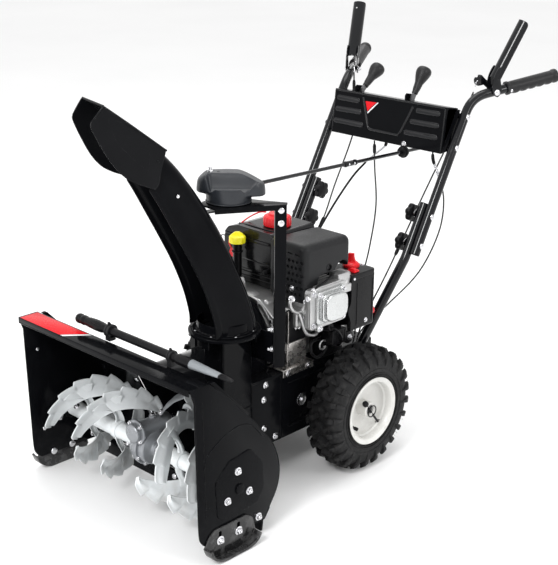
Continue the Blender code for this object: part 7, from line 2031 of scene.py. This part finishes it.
def dress(node, mat):
    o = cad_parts[node]
    o.data.materials.clear()
    o.data.materials.append(mat)
    for f in o.data.polygons:
        f.material_index = 0


M_BELT = plastic("belt_rubber_worn", (0.020, 0.019, 0.019), 0.62, 0.00020, 260.0, dust=0.15)

for _s in (1, -1):
    build_handles(_s)
    build_clutch(_s)
build_panel()
build_lever(-0.118, (0.463, 0.946), "speed_control", "speed_lever", "speed_selector")
build_lever(0.059, (0.437, 0.950), "deflector_control", "deflector_lever", "deflector_selector")
build_tool()
build_cables()
dress("impeller_shaft", M_STEEL)
dress("impeller_pulley", M_IRON)
dress("engine_pulley", M_IRON)
dress("worm_wheel", M_BRONZE)
dress("auger_belt", M_BELT)

# =====================================================================================
# stage, light, camera
# =====================================================================================
def build_stage():
    bm = bmesh.new()
    n = 96
    rings = []
    for r in (0.0, 1.5, 4.0, 12.0, 40.0):
        rings.append([bm.verts.new((r * math.cos(2 * math.pi * k / n), r * math.sin(2 * math.pi * k / n), -0.0004)) for k in range(n)] if r else [bm.verts.new((0, 0, -0.0004))])
    for k in range(n):
        bm.faces.new((rings[0][0], rings[1][k], rings[1][(k + 1) % n]))
    for a, b in zip(rings[1:], rings[2:]):
        for k in range(n):
            bm.faces.new((a[k], b[k], b[(k + 1) % n], a[(k + 1) % n]))
    me = bpy.data.meshes.new("floor")
    bm.to_mesh(me)
    bm.free()
    o = bpy.data.objects.new("floor", me)
    SCN.objects.link(o)
    m = Mat("pale_floor", 0.75, spec=0.15)
    m.color(m.mix(m.ramp(m.noise(0.8, 3.0), 0.3, 0.7), (0.93, 0.93, 0.93), (0.96, 0.96, 0.96)))
    me.materials.append(m.m)


def area(name, loc, target, size, power, size_y=None, color=(1, 1, 1)):
    l = bpy.data.lights.new(name, "AREA")
    l.energy, l.color = power, color
    l.shape = "RECTANGLE"
    l.size, l.size_y = size, size_y or size
    o = bpy.data.objects.new(name, l)
    o.location = loc
    o.rotation_mode = "QUATERNION"
    o.rotation_quaternion = (Vector(target) - Vector(loc)).to_track_quat("-Z", "Y")
    SCN.objects.link(o)
    return o


def build_camera():
    az, el, roll = math.radians(43.5731), math.radians(19.2902), math.radians(0.654)
    fwd = Vector((-math.sin(az) * math.cos(el), math.cos(az) * math.cos(el), -math.sin(el)))
    right = fwd.cross(Vector((0, 0, 1))).normalized()
    up = right.cross(fwd).normalized()
    r = right * math.cos(roll) + up * math.sin(roll)
    u = -right * math.sin(roll) + up * math.cos(roll)
    cam = bpy.data.cameras.new("camera")
    cam.sensor_width, cam.lens = 36.0, 78.07
    cam.clip_start, cam.clip_end = 0.05, 200
    o = bpy.data.objects.new("camera", cam)
    pos = Vector((2.082908, -2.247014, 1.515979)) + ORIGIN
    o.matrix_world = Matrix(((r.x, u.x, -fwd.x, pos.x), (r.y, u.y, -fwd.y, pos.y), (r.z, u.z, -fwd.z, pos.z), (0, 0, 0, 1)))
    SCN.objects.link(o)
    bpy.context.scene.camera = o


def build_light():
    w = bpy.data.worlds.new("studio")
    bpy.context.scene.world = w
    w.use_nodes = True
    nt = w.node_tree
    bg = nt.nodes["Background"]
    tc = nt.nodes.new("ShaderNodeTexCoord")
    sp = nt.nodes.new("ShaderNodeSeparateXYZ")
    mr = nt.nodes.new("ShaderNodeMapRange")
    mr.inputs["From Min"].default_value, mr.inputs["From Max"].default_value = -0.2, 0.9
    mr.inputs["To Min"].default_value, mr.inputs["To Max"].default_value = 0.90, 1.0
    nt.links.new(tc.outputs["Generated"], sp.inputs[0])
    nt.links.new(sp.outputs["Z"], mr.inputs["Value"])
    nt.links.new(mr.outputs["Result"], bg.inputs["Color"])
    bg.inputs["Strength"].default_value = 1.0
    area("key", (1.0, -3.4, 3.2), (0, -0.1, 0.4), 1.2, 74, 0.8)
    area("front", (0.2, -3.6, 1.3), (0, -0.4, 0.25), 1.6, 34, 0.9)
    area("side", (3.6, 0.6, 2.2), (0, 0, 0.45), 0.8, 30, 1.4)
    area("top", (-0.4, 0.2, 3.6), (0, 0, 0.3), 2.0, 36)
    area("rim", (-2.4, 2.8, 3.4), (0, 0, 0.5), 1.6, 16)
    bpy.context.scene.view_settings.view_transform = "Standard"


build_stage()
build_light()
build_camera()
